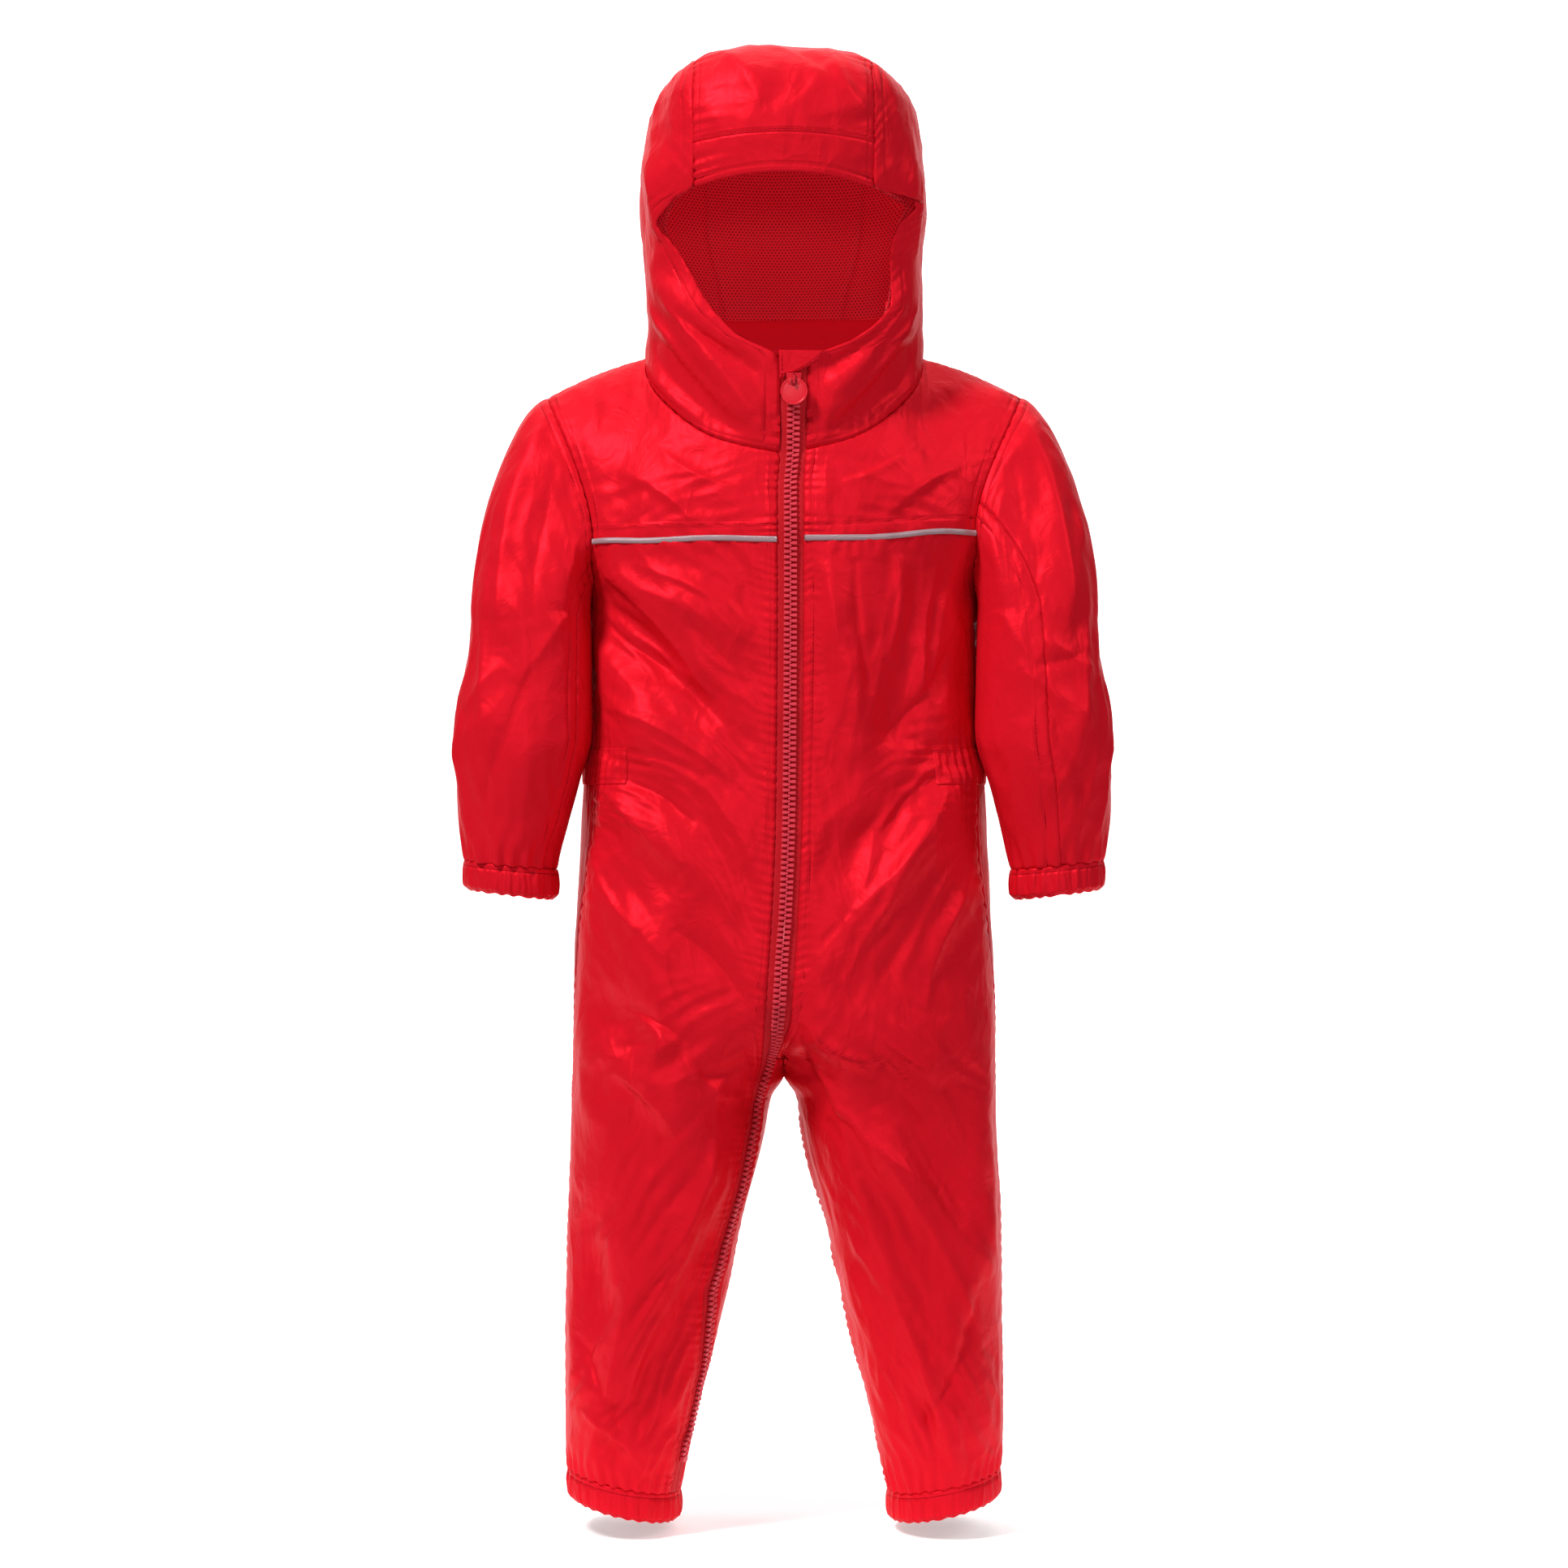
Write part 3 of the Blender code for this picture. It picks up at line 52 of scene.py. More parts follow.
YOKE_SEAM = -117 * MM
NECK_FRONT = -66 * MM
ARMPIT = -150 * MM
CROTCH_START = -372 * MM
FORK = -441 * MM
HEM_SEAM = -690 * MM
HEM_BOTTOM = -708 * MM
CUFF_SEAM = -312 * MM
CUFF_BOTTOM = -330 * MM
WAIST_TOP = -241 * MM
WAIST_BOTTOM = -264 * MM
HOOD_LEVEL = 40 * MM
CROWN_START = 150 * MM
CROWN_RISE = 42 * MM
CROWN_ROUNDNESS = 5.5
CROWN_SEAM = 53 * MM
PEAK_CENTRE = 97 * MM
PEAK_CORNER = 90 * MM
PEAK_SHARE = 0.43
BACK_LEAN = 22 * MM
LEAN_RUN = 120 * MM
HOOD_DEPTH = 200 * MM
SETTLED = 9 * MM
SETTLED_FROM, SETTLED_TO = 152 * MM, 194 * MM
ZIP_HALF = 8.0 * MM
ZIP_BOTTOM = -672 * MM
ZIP_TOP = -8 * MM
SHOULDER_TIP = (145.5 * MM, 2 * MM, -25 * MM)
SHOULDER_ARCH = 2.5 * MM
CROWN_BOTTOM = 4 * MM
YOKE_RISE = 6 * MM
NECK_CORNER = 2.0
ARM_ANGLE = 36.4
ARM_CURVE = 0.7
ARM_SHARE = 0.5 * (1 - ARM_ANGLE / 90)
NECK_SHARE = ARM_SHARE * 6 / 9
BACK_NECK_SHARE = ARM_SHARE * 7 / 10
UPPER_SPAN = NECK_FRONT - YOKE_SEAM
SLEEVE_HEAD = -165 * MM
HEAD_SHARE = 0.4
SLEEVE_SEAM = {RIGHT: 0.10, LEFT: 0.25}
TUCK = 0.004
CENTRE_GAP = 0.0001
HEM_TILT, HEM_TILT_START, HEM_TILT_RUN = 7 * MM, -620 * MM, 70 * MM
CUFF_TILT, CUFF_TILT_START, CUFF_TILT_RUN = 3 * MM, -270 * MM, 40 * MM
INSET_TOP = -429.3 * MM


class Table:
    """Sizes in named columns, read at any value of the first column through a smooth curve."""

    def __init__(self, columns, rows, plain=()):
        self.columns = columns.split()
        units = np.array([1.0 if name in plain else MM for name in self.columns])
        self.rows = np.array(sorted(rows), dtype=float) * units

    def at(self, column, key):
        keys = self.rows[:, 0]
        values = self.rows[:, self.columns.index(column)]
        run = np.diff(keys)
        slope = np.diff(values) / run
        same_way = slope[1:] * slope[:-1] > 0
        mean = 2 * slope[1:] * slope[:-1] / np.where(same_way, slope[1:] + slope[:-1], 1.0)
        tangent = np.concatenate([slope[:1], np.where(same_way, mean, 0.0), slope[-1:]])
        inside = np.clip(key, keys[0], keys[-1])
        step = np.clip(np.searchsorted(keys, inside, side="right") - 1, 0, len(run) - 1)
        share = (inside - keys[step]) / run[step]
        value = hermite(values[step], values[step + 1], tangent[step] * run[step],
                        tangent[step + 1] * run[step], share)
        beyond = np.where(key > inside, tangent[-1], tangent[0])
        return value + beyond * (key - inside)


def hermite(start, end, start_pull, end_pull, share):
    """Point on the curve from start to end that leaves and arrives along the two pulls."""
    square, cube = share ** 2, share ** 3
    return ((2 * cube - 3 * square + 1) * start + (cube - 2 * square + share) * start_pull
            + (3 * square - 2 * cube) * end + (cube - square) * end_pull)


BODY = Table("height half_width gap middle front back squareness", [
    (-117, 138.4, 0, 12, 88, 60, 2.4),
    (-128, 131, 0, 12, 88, 60, 2.4),
    (-140, 123, 0, 12, 88, 60, 2.4),
    (-150, 120, 0, 12, 88, 60, 2.4),
    (-200, 121, 0, 12, 88, 60, 2.4),
    (-252, 122.5, 0, 12, 88, 57, 2.4),
    (-285, 124.5, 0, 11, 89, 64, 2.4),
    (-330, 127, 0, 9, 90, 74, 2.45),
    (-375, 129, 0, 6, 89, 80, 2.5),
    (-405, 129.7, 0, 4.5, 85, 81, 2.3),
    (-441, 130, 0, 3, 77.5, 78, 2.05),
    (-455, 130.4, 8, 2.5, 74.5, 75.5, 2.05),
    (-480, 131, 13, 2, 70, 72, 2.1),
    (-530, 133, 25.5, 1, 63, 66, 2.1),
    (-600, 134.5, 41, 1, 55, 58, 2.1),
    (-660, 134.5, 57, 2, 47, 50, 2.1),
    (-690, 133, 64, 2, 41, 44, 2.1),
], plain=("squareness",))

SIDE_SEAM = Table("height degrees", [
    (-690, 0), (-520, 0), (-441, -3), (-400, -7), (-350, -16), (-296, -25), (-252, -22), (-200, -16),
    (-150, -10),
], plain=("degrees",))

ZIP = Table("height across", [
    (-674, -63.5), (-661.6, -61.2), (-654, -57.8), (-638, -53.6), (-617.5, -49.6), (-595.7, -46.8),
    (-571.7, -43.6), (-554, -39.6), (-536, -33.8), (-518.5, -29.8), (-497, -25.4), (-478, -21.4),
    (-449, -14.1), (-429.6, -8.7), (-406, -4.2), (-378.5, -1.9), (-342, 0.5), (-279, 2.9),
    (-134, 3.9), (-86, 3.9), (-66, 5.3), (-20, 6.0), (-8, 6.5),
])

HOOD = Table("height half_width front back squareness", [
    (-66, 84.5, 70, 58, 2.3),
    (-30, 84.5, 73, 58, 2.35),
    (0, 85.3, 76, 60, 2.4),
    (20, 83.5, 77, 66, 2.45),
    (40, 83.8, 80, 76, 2.5),
    (70, 86, 88, 88, 2.5),
    (100, 87, 101, 97, 2.5),
    (130, 85, 104, 99, 2.5),
    (150, 81.5, 101, 96, 2.5),
], plain=("squareness",))

NECK_SEAM = Table("degrees height", [
    (-90, -66), (-64.5, -56), (-36.4, -35), (-9, -13), (2, -0.5), (15, 2), (45, 3), (90, 4),
], plain=("degrees",))

FACE = Table("height right left", [
    (-66, 2.7, 13.3), (-20, 2.1, 14.1), (-8, 4, 14.8), (-4, 10, 28), (3, 26, 42.5), (15, 38.3, 55.5),
    (27, 47.6, 61.4), (41, 55.4, 62.7), (58, 64.1, 63.5), (73, 70.9, 67.5), (86, 63.5, 74.5), (90, 53, 53),
])

CROWN_BACK = Table("height half_width", [(4, 34), (40, 40), (80, 49), (120, 53), (150, 53)])

SLEEVE = Table("height across middle half_width half_depth", [
    (-165, 154, -24, 36.5, 43),
    (-200, 156.5, -29, 40, 43),
    (-235, 158, -31, 41.5, 42),
    (-260, 162, -30, 38, 39.5),
    (-285, 164.5, -27, 33.5, 35.5),
    (-312, 166.2, -26, 28.2, 30),
])

# ---------------------------------------------------------------- folds and creases

# Large folds, as in the solids.
FOLDS = Table("start_x start_z end_x end_z reach height", [
    (-112, -150, -30, -235, 13, -3.0),
    (-100, -135, -20, -175, 12, 2.5),
    (-108, -185, -40, -300, 14, 2.6),
    (-70, -250, -15, -345, 13, -2.2),
    (-112, -262, -30, -330, 14, 2.4),
    (-90, -325, -60, -450, 16, 2.4),
    (-118, -390, -75, -430, 15, -2.6),
    (-80, -430, -40, -500, 15, 2.4),
    (-55, -470, -118, -640, 16, 2.8),
    (-50, -540, -105, -668, 12, -2.4),
    (-124, -520, -112, -600, 14, -2.6),
    (30, -125, 45, -235, 13, 2.4),
    (85, -130, 60, -260, 13, -2.4),
    (102, -265, 25, -370, 14, 2.6),
    (100, -240, 35, -310, 12, -2.2),
    (12, -385, 62, -470, 14, 2.8),
    (20, -410, 105, -505, 15, -2.6),
    (40, -460, 118, -640, 17, 2.8),
    (72, -520, 100, -672, 13, -2.2),
    (122, -420, 116, -560, 14, 2.2),
])
BACK_FOLDS = Table("start_x start_z end_x end_z reach height", [
    (-105, -120, -25, -215, 15, 2.6),
    (105, -125, 30, -220, 15, 2.4),
    (-95, -272, -35, -345, 14, 2.6),
    (95, -272, 30, -355, 14, -2.4),
    (-20, -280, -70, -400, 15, -2.4),
    (15, -300, 75, -420, 15, 2.6),
    (-25, -420, -105, -520, 16, 2.8),
    (25, -425, 105, -515, 16, -2.6),
    (-60, -500, -115, -650, 15, 2.6),
    (60, -510, 112, -655, 15, 2.6),
])
HOOD_FOLDS = Table("start_x start_z end_x end_z reach height", [
    (-80, 48, -16, -44, 10, 2.6),
    (-68, 22, -14, -30, 8, -2.2),
    (-84, 10, -30, -52, 9, -2.4),
    (80, 44, 22, -40, 10, 2.6),
    (70, 16, 24, -22, 8, -2.2),
    (84, 4, 36, -50, 9, -2.4),
    (-82, 120, -70, 60, 10, 2.0),
    (82, 130, 74, 62, 10, 2.0),
])

# Sharp creases as seen from the front; bow is how far the line curves to its left.
CREASES = Table("start_x start_z end_x end_z bow reach height", [
    (-116, -128, -44, -214, 6, 3.5, 1.6),
    (-112, -160, -70, -196, -4, 3, -1.3),
    (-90, -130, -30, -160, 3, 3, 1.1),
    (-60, -150, -18, -205, -5, 3, -1.0),
    (-104, -216, -30, -262, 6, 3.5, 1.3),
    (-100, -258, -52, -288, 4, 3, -1.2),
    (-104, -268, -64, -318, 3, 3, 1.2),
    (-50, -262, -16, -322, 4, 3, 1.0),
    (-116, -300, -84, -352, -5, 4, 1.3),
    (-66, -350, -20, -398, 5, 3.5, -1.1),
    (-96, -396, -58, -418, 3, 3, -1.7),
    (-92, -446, -70, -408, -3, 3, 1.5),
    (-60, -424, -24, -452, -5, 3.5, 1.4),
    (-40, -452, -110, -632, 8, 5, 1.7),
    (-74, -470, -118, -560, 5, 4.5, 1.4),
    (-92, -560, -122, -684, 4, 4.5, 1.4),
    (-104, -434, -66, -470, 5, 3.5, 1.4),
    (-44, -474, -86, -566, 6, 3.5, 1.8),
    (-56, -494, -122, -622, -6, 4, -1.5),
    (-58, -530, -108, -640, 5, 3, 1.5),
    (-70, -560, -96, -664, -4, 3, 1.3),
    (-126, -596, -98, -656, 4, 3, -1.3),
    (-120, -640, -82, -682, 3, 3, 1.3),
    (22, -130, 30, -196, 3, 3, 1.0),
    (42, -128, 52, -210, -3, 3.5, -1.2),
    (68, -126, 62, -190, 3, 3, 1.2),
    (92, -132, 84, -214, -4, 3, 1.3),
    (104, -170, 60, -236, 6, 3.5, -1.3),
    (96, -250, 56, -292, -4, 3, 1.3),
    (98, -262, 40, -340, 5, 3.5, 1.4),
    (60, -300, 18, -362, 4, 3, -1.0),
    (108, -330, 84, -398, -5, 4, 1.3),
    (12, -398, 58, -428, -5, 3, 1.7),
    (34, -446, 104, -622, -8, 5, 1.7),
    (60, -452, 124, -560, -5, 4.5, 1.4),
    (72, -574, 96, -684, 4, 4.5, 1.5),
    (10, -412, 46, -470, -6, 3, -1.6),
    (18, -426, 92, -506, -6, 3.5, 1.6),
    (30, -462, 72, -560, 6, 3.5, -1.4),
    (52, -470, 118, -604, 6, 3.5, 1.7),
    (64, -550, 112, -660, -5, 3.5, 1.4),
    (116, -560, 84, -650, 4, 3.5, -1.3),
    (80, -610, 104, -684, 3, 3, 1.2),
    (-30, -86, -74, -62, 4, 3, 0.9),
    (-100, -76, -52, -108, 4, 3, 1.0),
    (34, -84, 80, -58, -4, 3, 0.9),
    (110, -70, 60, -104, -3, 3, 1.0),
])
BACK_CREASES = Table("start_x start_z end_x end_z bow reach height", [
    (-108, -116, -40, -206, 6, 3.5, 1.5),
    (108, -112, 36, -200, -6, 3.5, 1.4),
    (-70, -60, -30, -130, 4, 3.5, 1.1),
    (72, -64, 24, -136, -4, 3.5, -1.1),
    (-96, -276, -50, -340, 5, 3.5, 1.4),
    (94, -280, 44, -348, -5, 3.5, 1.5),
    (-30, -276, -52, -350, 4, 3, -1.2),
    (34, -278, 60, -352, -4, 3, 1.2),
    (-14, -340, -84, -408, 6, 3.5, 1.5),
    (16, -352, 88, -416, -6, 3.5, -1.4),
    (-20, -436, -96, -506, -6, 3.5, 1.7),
    (20, -438, 98, -500, 6, 3.5, 1.6),
    (-40, -480, -116, -592, 6, 3.5, -1.4),
    (44, -486, 114, -606, -6, 3.5, 1.5),
    (-64, -560, -104, -672, 5, 3.5, 1.4),
    (60, -566, 108, -668, -5, 3.5, -1.3),
])
HOOD_CREASES = Table("start_x start_z end_x end_z bow reach height", [
    (-82, 34, -20, -46, -9, 2.6, 1.7),
    (-80, 16, -26, -54, -8, 2.6, -1.5),
    (-70, 30, -14, -26, -6, 2.2, 1.4),
    (-60, 18, -10, -18, -4, 2, -1.1),
    (-84, -4, -44, -46, -5, 2.6, 1.2),
    (80, 38, 26, -44, 9, 2.6, 1.7),
    (82, 18, 34, -52, 8, 2.6, -1.5),
    (68, 24, 22, -24, 6, 2.2, 1.4),
    (56, 8, 20, -14, 4, 2, -1.0),
    (84, -8, 50, -44, 5, 2.6, 1.2),
    (-84, 118, -72, 62, 4, 3, 1.3),
    (-78, 96, -84, 44, -4, 3, -1.1),
    (84, 110, 78, 56, -4, 3, 1.3),
    (76, 136, 86, 84, 4, 3, -1.2),
    (-40, 172, -14, 134, 5, 4, 1.0),
    (-2, 178, 34, 146, 4, 4, -0.9),
    (30, 168, 50, 132, -4, 3.5, 1.0),
])

# Patches where fine creases run one way: degrees up from +X seen from the front.
PATCHES = Table("x z spread_x spread_z degrees length width height", [
    (-75, -175, 50, 50, -42, 60, 11, 1.5),
    (-60, -245, 50, 45, -38, 55, 11, 1.2),
    (-90, -262, 30, 30, -15, 30, 7, 1.1),
    (95, -258, 30, 30, 20, 30, 7, 1.1),
    (60, -180, 50, 60, 82, 70, 12, 1.2),
    (65, -320, 55, 60, 60, 70, 13, 1.3),
    (-60, -330, 55, 60, -60, 70, 14, 1.2),
    (-60, -425, 60, 36, 28, 45, 11, 1.5),
    (55, -430, 60, 40, -42, 55, 11, 1.6),
    (75, -530, 60, 70, -62, 80, 11, 1.6),
    (-80, -540, 60, 70, 62, 80, 11, 1.6),
    (80, -640, 60, 50, -70, 40, 8, 1.4),
    (-95, -640, 60, 50, 66, 40, 8, 1.4),
    (-60, -85, 50, 30, 15, 50, 10, 1.0),
    (60, -85, 50, 30, -15, 50, 10, 1.0),
], plain=("degrees",))


def power(value, exponent):
    """A power that keeps the value's sign."""
    return np.sign(value) * np.abs(value) ** exponent


def smooth(value, low, high):
    """Rises softly from 0 at the low value to 1 at the high one."""
    share = np.clip((value - low) / (high - low), 0.0, 1.0)
    return share ** 2 * (3 - 2 * share)


def leg_split(height):
    """How far the body has divided into two legs: 0 above the seat and 1 from the fork down."""
    return smooth(CROTCH_START - height, 0.0, CROTCH_START - FORK)


def level_turn(height):
    """Degrees from the widest line to the middle: 90 on the body, and 180 round a whole leg."""
    return 90.0 + np.degrees(np.arcsin(leg_split(height) ** (BODY.at("squareness", height) / 2)))


def section(share, height):
    """Point of the body's plain section: share runs from 0 at centre front to 1 at centre back."""
    side = np.where(share < 0, RIGHT, LEFT)
    turn = level_turn(height)
    angle = np.radians(turn * (2 * np.abs(share) - 1))
    bend = 2.0 / BODY.at("squareness", height)
    gap = np.maximum(BODY.at("gap", height), 0.0)
    half = (BODY.at("half_width", height) - gap) / (1 + leg_split(height))
    across = power(np.cos(angle), bend)
    depth = np.where(angle < 0, BODY.at("front", height), BODY.at("back", height))
    x = BODY.at("half_width", height) - half + half * across
    y = BODY.at("middle", height) + depth * power(np.sin(angle), bend)
    tilt = HEM_TILT * np.clip((HEM_TILT_START - height) / HEM_TILT_RUN, 0.0, 1.0)
    return np.stack([side * x, y, height + tilt * across], axis=-1)


def leaned(points):
    """The hood's upper part, lowered towards its back and settled at the crown."""
    x, y, z = np.moveaxis(points, -1, 0)
    above = smooth(z, HOOD_LEVEL, HOOD_LEVEL + LEAN_RUN)
    behind = np.clip(y / HOOD_DEPTH + 0.5, 0.0, 1.2)
    drop = BACK_LEAN * above * behind ** 1.5 + SETTLED * smooth(z, SETTLED_FROM, SETTLED_TO)
    return np.stack([x, y, z - drop], axis=-1)


def hood_ring(degrees, height, shrink):
    """Point of a level ring of the left half of the hood, -90 at the front and 90 at the back."""
    angle = np.radians(degrees)
    bend = 2.0 / HOOD.at("squareness", height)
    depth = np.where(angle < 0, HOOD.at("front", height), HOOD.at("back", height))
    x = shrink * HOOD.at("half_width", height) * power(np.cos(angle), bend)
    y = shrink * depth * power(np.sin(angle), bend)
    rise = CROWN_RISE * (1 - shrink ** CROWN_ROUNDNESS)
    return leaned(np.stack([x, y, height + rise + 0 * x], axis=-1))


def neck_point(degrees):
    """Point of the seam between the hood and the body."""
    return hood_ring(degrees, NECK_SEAM.at("height", degrees), 1.0)


def upper(share, height):
    """Point above the yoke seam, on columns that rise to the neck seam and the shoulder seam."""
    side = np.where(share < 0, RIGHT, LEFT)
    inward = np.minimum(np.abs(share), 1 - np.abs(share))
    front = np.abs(share) < 0.5
    neck_share = np.where(front, NECK_SHARE, BACK_NECK_SHARE)
    to_corner = np.clip(inward / neck_share, 0.0, 1.0)
    degrees = np.where(front, -90 + (90 + NECK_CORNER) * to_corner, 90 - (90 - NECK_CORNER) * to_corner)
    neck = neck_point(degrees)
    corner = neck_point(np.full_like(degrees, NECK_CORNER))
    along = np.clip((inward - neck_share) / (ARM_SHARE - neck_share), 0.0, 1.2)[..., None]
    arch = np.array([0, 0, SHOULDER_ARCH]) * np.sin(np.pi * along)
    top = np.where(along > 0, corner + (np.array(SHOULDER_TIP) - corner) * along + arch, neck)
    bottom = section(np.where(front, inward, 1 - inward), np.full_like(inward, YOKE_SEAM))
    over = np.clip(inward / ARM_SHARE, 0.0, 1.0)
    chord = np.linalg.norm(top - bottom, axis=-1)
    facing = np.where(front, 1.0, -1.0)
    level = np.zeros_like(over)
    up = np.stack([level, level, chord], axis=-1)
    turned = np.stack([level, facing * (0.1 + 0.9 * over) * chord, (1 - 0.85 * over) * chord], axis=-1)
    share_up = ((height - YOKE_SEAM) / UPPER_SPAN)[..., None]
    point = hermite(bottom, top, up, turned, share_up)
    return point * np.stack([side, np.ones_like(side), np.ones_like(side)], axis=-1)


def climbed(points):
    """Points near the yoke seam's left half, which climbs a little towards the armhole."""
    near = np.exp(-((points[..., 2] - YOKE_SEAM) / (38 * MM)) ** 2)
    climb = YOKE_RISE * smooth(points[..., 0], 20 * MM, 120 * MM) * near
    return points + np.stack([0 * climb, 0 * climb, climb], axis=-1)


def plain_body(share, height):
    """Point of the body without its folds, below or above the yoke seam."""
    below = section(share, np.minimum(height, YOKE_SEAM))
    above = upper(share, np.maximum(height, YOKE_SEAM))
    return climbed(np.where((height > YOKE_SEAM)[..., None], above, below))


def normals_of(surface, first, second, step_first, step_second):
    """Outward normals of a surface from points close around each place."""
    along = surface(first + step_first, second) - surface(first - step_first, second)
    up = surface(first, second + step_second) - surface(first, second - step_second)
    normal = np.cross(along, up)
    return normal / np.maximum(np.linalg.norm(normal, axis=-1, keepdims=True), 1e-12)


def body_normal(share, height):
    """Outward direction of the plain body, taken a little off its centre lines."""
    safe = np.clip(np.abs(share), 0.004, 0.996) * np.where(share < 0, -1.0, 1.0)
    near = np.clip(height, None, NECK_FRONT - 1 * MM)
    return normals_of(plain_body, safe, near, 0.003, 1 * MM)


FRONT_STEPS = 401
LEG_JUMP = 10 * MM


def zip_share(height, offset):
    """Shares of the section where a line at this offset from the zip lies, measured on the cloth."""
    heights = np.atleast_1d(height)
    shares = np.linspace(-0.5, 0.5, FRONT_STEPS)
    grid_shares, grid_heights = np.meshgrid(shares, heights)
    points = plain_body(grid_shares, grid_heights)
    steps = np.linalg.norm(np.diff(points, axis=1), axis=-1)
    steps = np.where(steps > LEG_JUMP, 0.0, steps)
    length = np.concatenate([np.zeros((len(heights), 1)), np.cumsum(steps, axis=1)], axis=1)
    across = ZIP.at("across", heights)
    offsets = np.broadcast_to(offset, heights.shape)
    found = [np.interp(np.interp(place, row[:, 0], run) + gap, run, shares)
             for place, row, run, gap in zip(across, points, length, offsets)]
    return np.array(found)


def side_share(height):
    """Share of the section at the side seam."""
    level = np.maximum(height, HEM_SEAM)
    return 0.5 * (1 + SIDE_SEAM.at("degrees", level) / level_turn(level))


def arm_share(height, facing):
    """Edge of the front (facing -1) or back (facing 1) at one height: side seam or armhole."""
    seam = float(side_share(min(height, ARMPIT)))
    if height <= ARMPIT:
        return seam
    rise = min((height - ARMPIT) / (YOKE_SEAM - ARMPIT), 1.0)
    target = ARM_SHARE if facing < 0 else 1 - ARM_SHARE
    return seam + (target - seam) * rise ** ARM_CURVE - facing * TUCK


# ---------------------------------------------------------------- relief of the cloth


class Noise:
    """Smooth random heights between about -1 and 1, the same on every run for one seed."""

    def __init__(self, seed):
        draw = np.random.default_rng(seed)
        self.order = draw.permutation(256)
        self.lean = draw.normal(size=(256, 3))
        self.lean /= np.linalg.norm(self.lean, axis=1, keepdims=True)

    def __call__(self, points):
        cell = np.floor(points).astype(int)
        inside = points - cell
        fade = inside ** 3 * (inside * (inside * 6 - 15) + 10)
        total = 0.0
        for corner in np.ndindex(2, 2, 2):
            spot = (cell + corner) & 255
            index = self.order[spot[..., 0]]
            for axis in (1, 2):
                index = self.order[(index + spot[..., axis]) & 255]
            value = np.sum(self.lean[index] * (inside - corner), axis=-1)
            weight = np.prod(np.where(corner, fade, 1 - fade), axis=-1)
            total = total + value * weight
        return total * 1.6


SWAY, CRINKLE, RUMPLE, UNEVEN = Noise(11), Noise(23), Noise(37), Noise(51)


# Crumpled cloth: wave sizes and heights of the soft unevenness and of three finer layers of creases.
SOFT_WAVE, SOFT_HEIGHT = 62 * MM, 2.2 * MM
DRIFT_WAVE, DRIFT = 50 * MM, 12 * MM
CRISP_WAVE, CRISP_HEIGHT = np.array([34, 38, 56]) * MM, 2.4 * MM
SMALL_WAVE, SMALL_HEIGHT = np.array([17, 19, 27]) * MM, 1.0 * MM
FINE_WAVE, FINE_HEIGHT = 8 * MM, 0.28 * MM
PATCH_BEND, PATCH_DEPTH = 6 * MM, 40 * MM
STEEP_SIDE = 0.8
GENTLE_SIDE = 3.0
CREASE_SOFTNESS = 0.7 * MM
CREASE_GROWTH = 3.0
FOLD_GROWTH = 2.9
PATCH_GROWTH = 3.4


def sharpened(value, softness=0.06):
    """Folds the sign away, so that a smooth field gets sharp valleys where it crosses zero."""
    return np.sqrt(value ** 2 + softness ** 2) - softness


def crumpled(noise, places, level, height, softness=0.06):
    """Sharp ridges on a gently hollow ground, as in cloth that has been crumpled."""
    return (level - sharpened(noise(places), softness)) * height


def line_relief(points, table, facing):
    """Heights of a table's lines, seen along Y, where the cloth faces that way.

    A row with a bow is a crease: a sharp line, steep on one side and gentle on the other.
    """
    total = np.zeros(points.shape[:-1])
    x, z = points[..., 0], points[..., 2]
    creased = "bow" in table.columns
    for row in table.rows:
        start_x, start_z, end_x, end_z = row[:4]
        bow, reach, height = row[4:] if creased else (0.0, *row[4:])
        run_x, run_z = end_x - start_x, end_z - start_z
        length = math.hypot(run_x, run_z)
        share = np.clip(((x - start_x) * run_x + (z - start_z) * run_z) / length ** 2, 0.0, 1.0)
        bend = bow * 4 * share * (1 - share)
        gone_x = x - start_x - share * run_x + bend * run_z / length
        gone_z = z - start_z - share * run_z - bend * run_x / length
        gone = np.hypot(gone_x, gone_z)
        if creased:
            beside = gone_x * run_z - gone_z * run_x
            width = reach * np.where(beside * bow > 0, STEEP_SIDE, GENTLE_SIDE)
            soft = np.sqrt(gone ** 2 + CREASE_SOFTNESS ** 2) - CREASE_SOFTNESS
            total += CREASE_GROWTH * height * np.sin(np.pi * share) ** 0.6 * np.exp(-soft / width)
        else:
            swell = 0.35 + 0.65 * np.sin(np.pi * share)
            total += FOLD_GROWTH * height * swell * np.exp(-(gone / reach) ** 2)
    return total * facing


def patch_relief(points, table, facing):
    """Fine creases that run one way in each patch."""
    total = np.zeros(points.shape[:-1])
    x, y, z = np.moveaxis(points, -1, 0)
    for index, (at_x, at_z, spread_x, spread_z, degrees, length, width, height) in enumerate(table.rows):
        near = np.exp(-((x - at_x) / spread_x) ** 2 - ((z - at_z) / spread_z) ** 2)
        turn = math.radians(degrees)
        along = x * math.cos(turn) + z * math.sin(turn)
        across = z * math.cos(turn) - x * math.sin(turn)
        bend = SWAY(np.stack([along / (45 * MM), across / (60 * MM), y * 0 + index], -1))
        bent = across + PATCH_BEND * bend
        places = np.stack([along / length, bent / width, y / PATCH_DEPTH + 7.3 * index], -1)
        total += near * crumpled(RUMPLE, places, 0.42, PATCH_GROWTH * height, 0.08)
    return total * facing


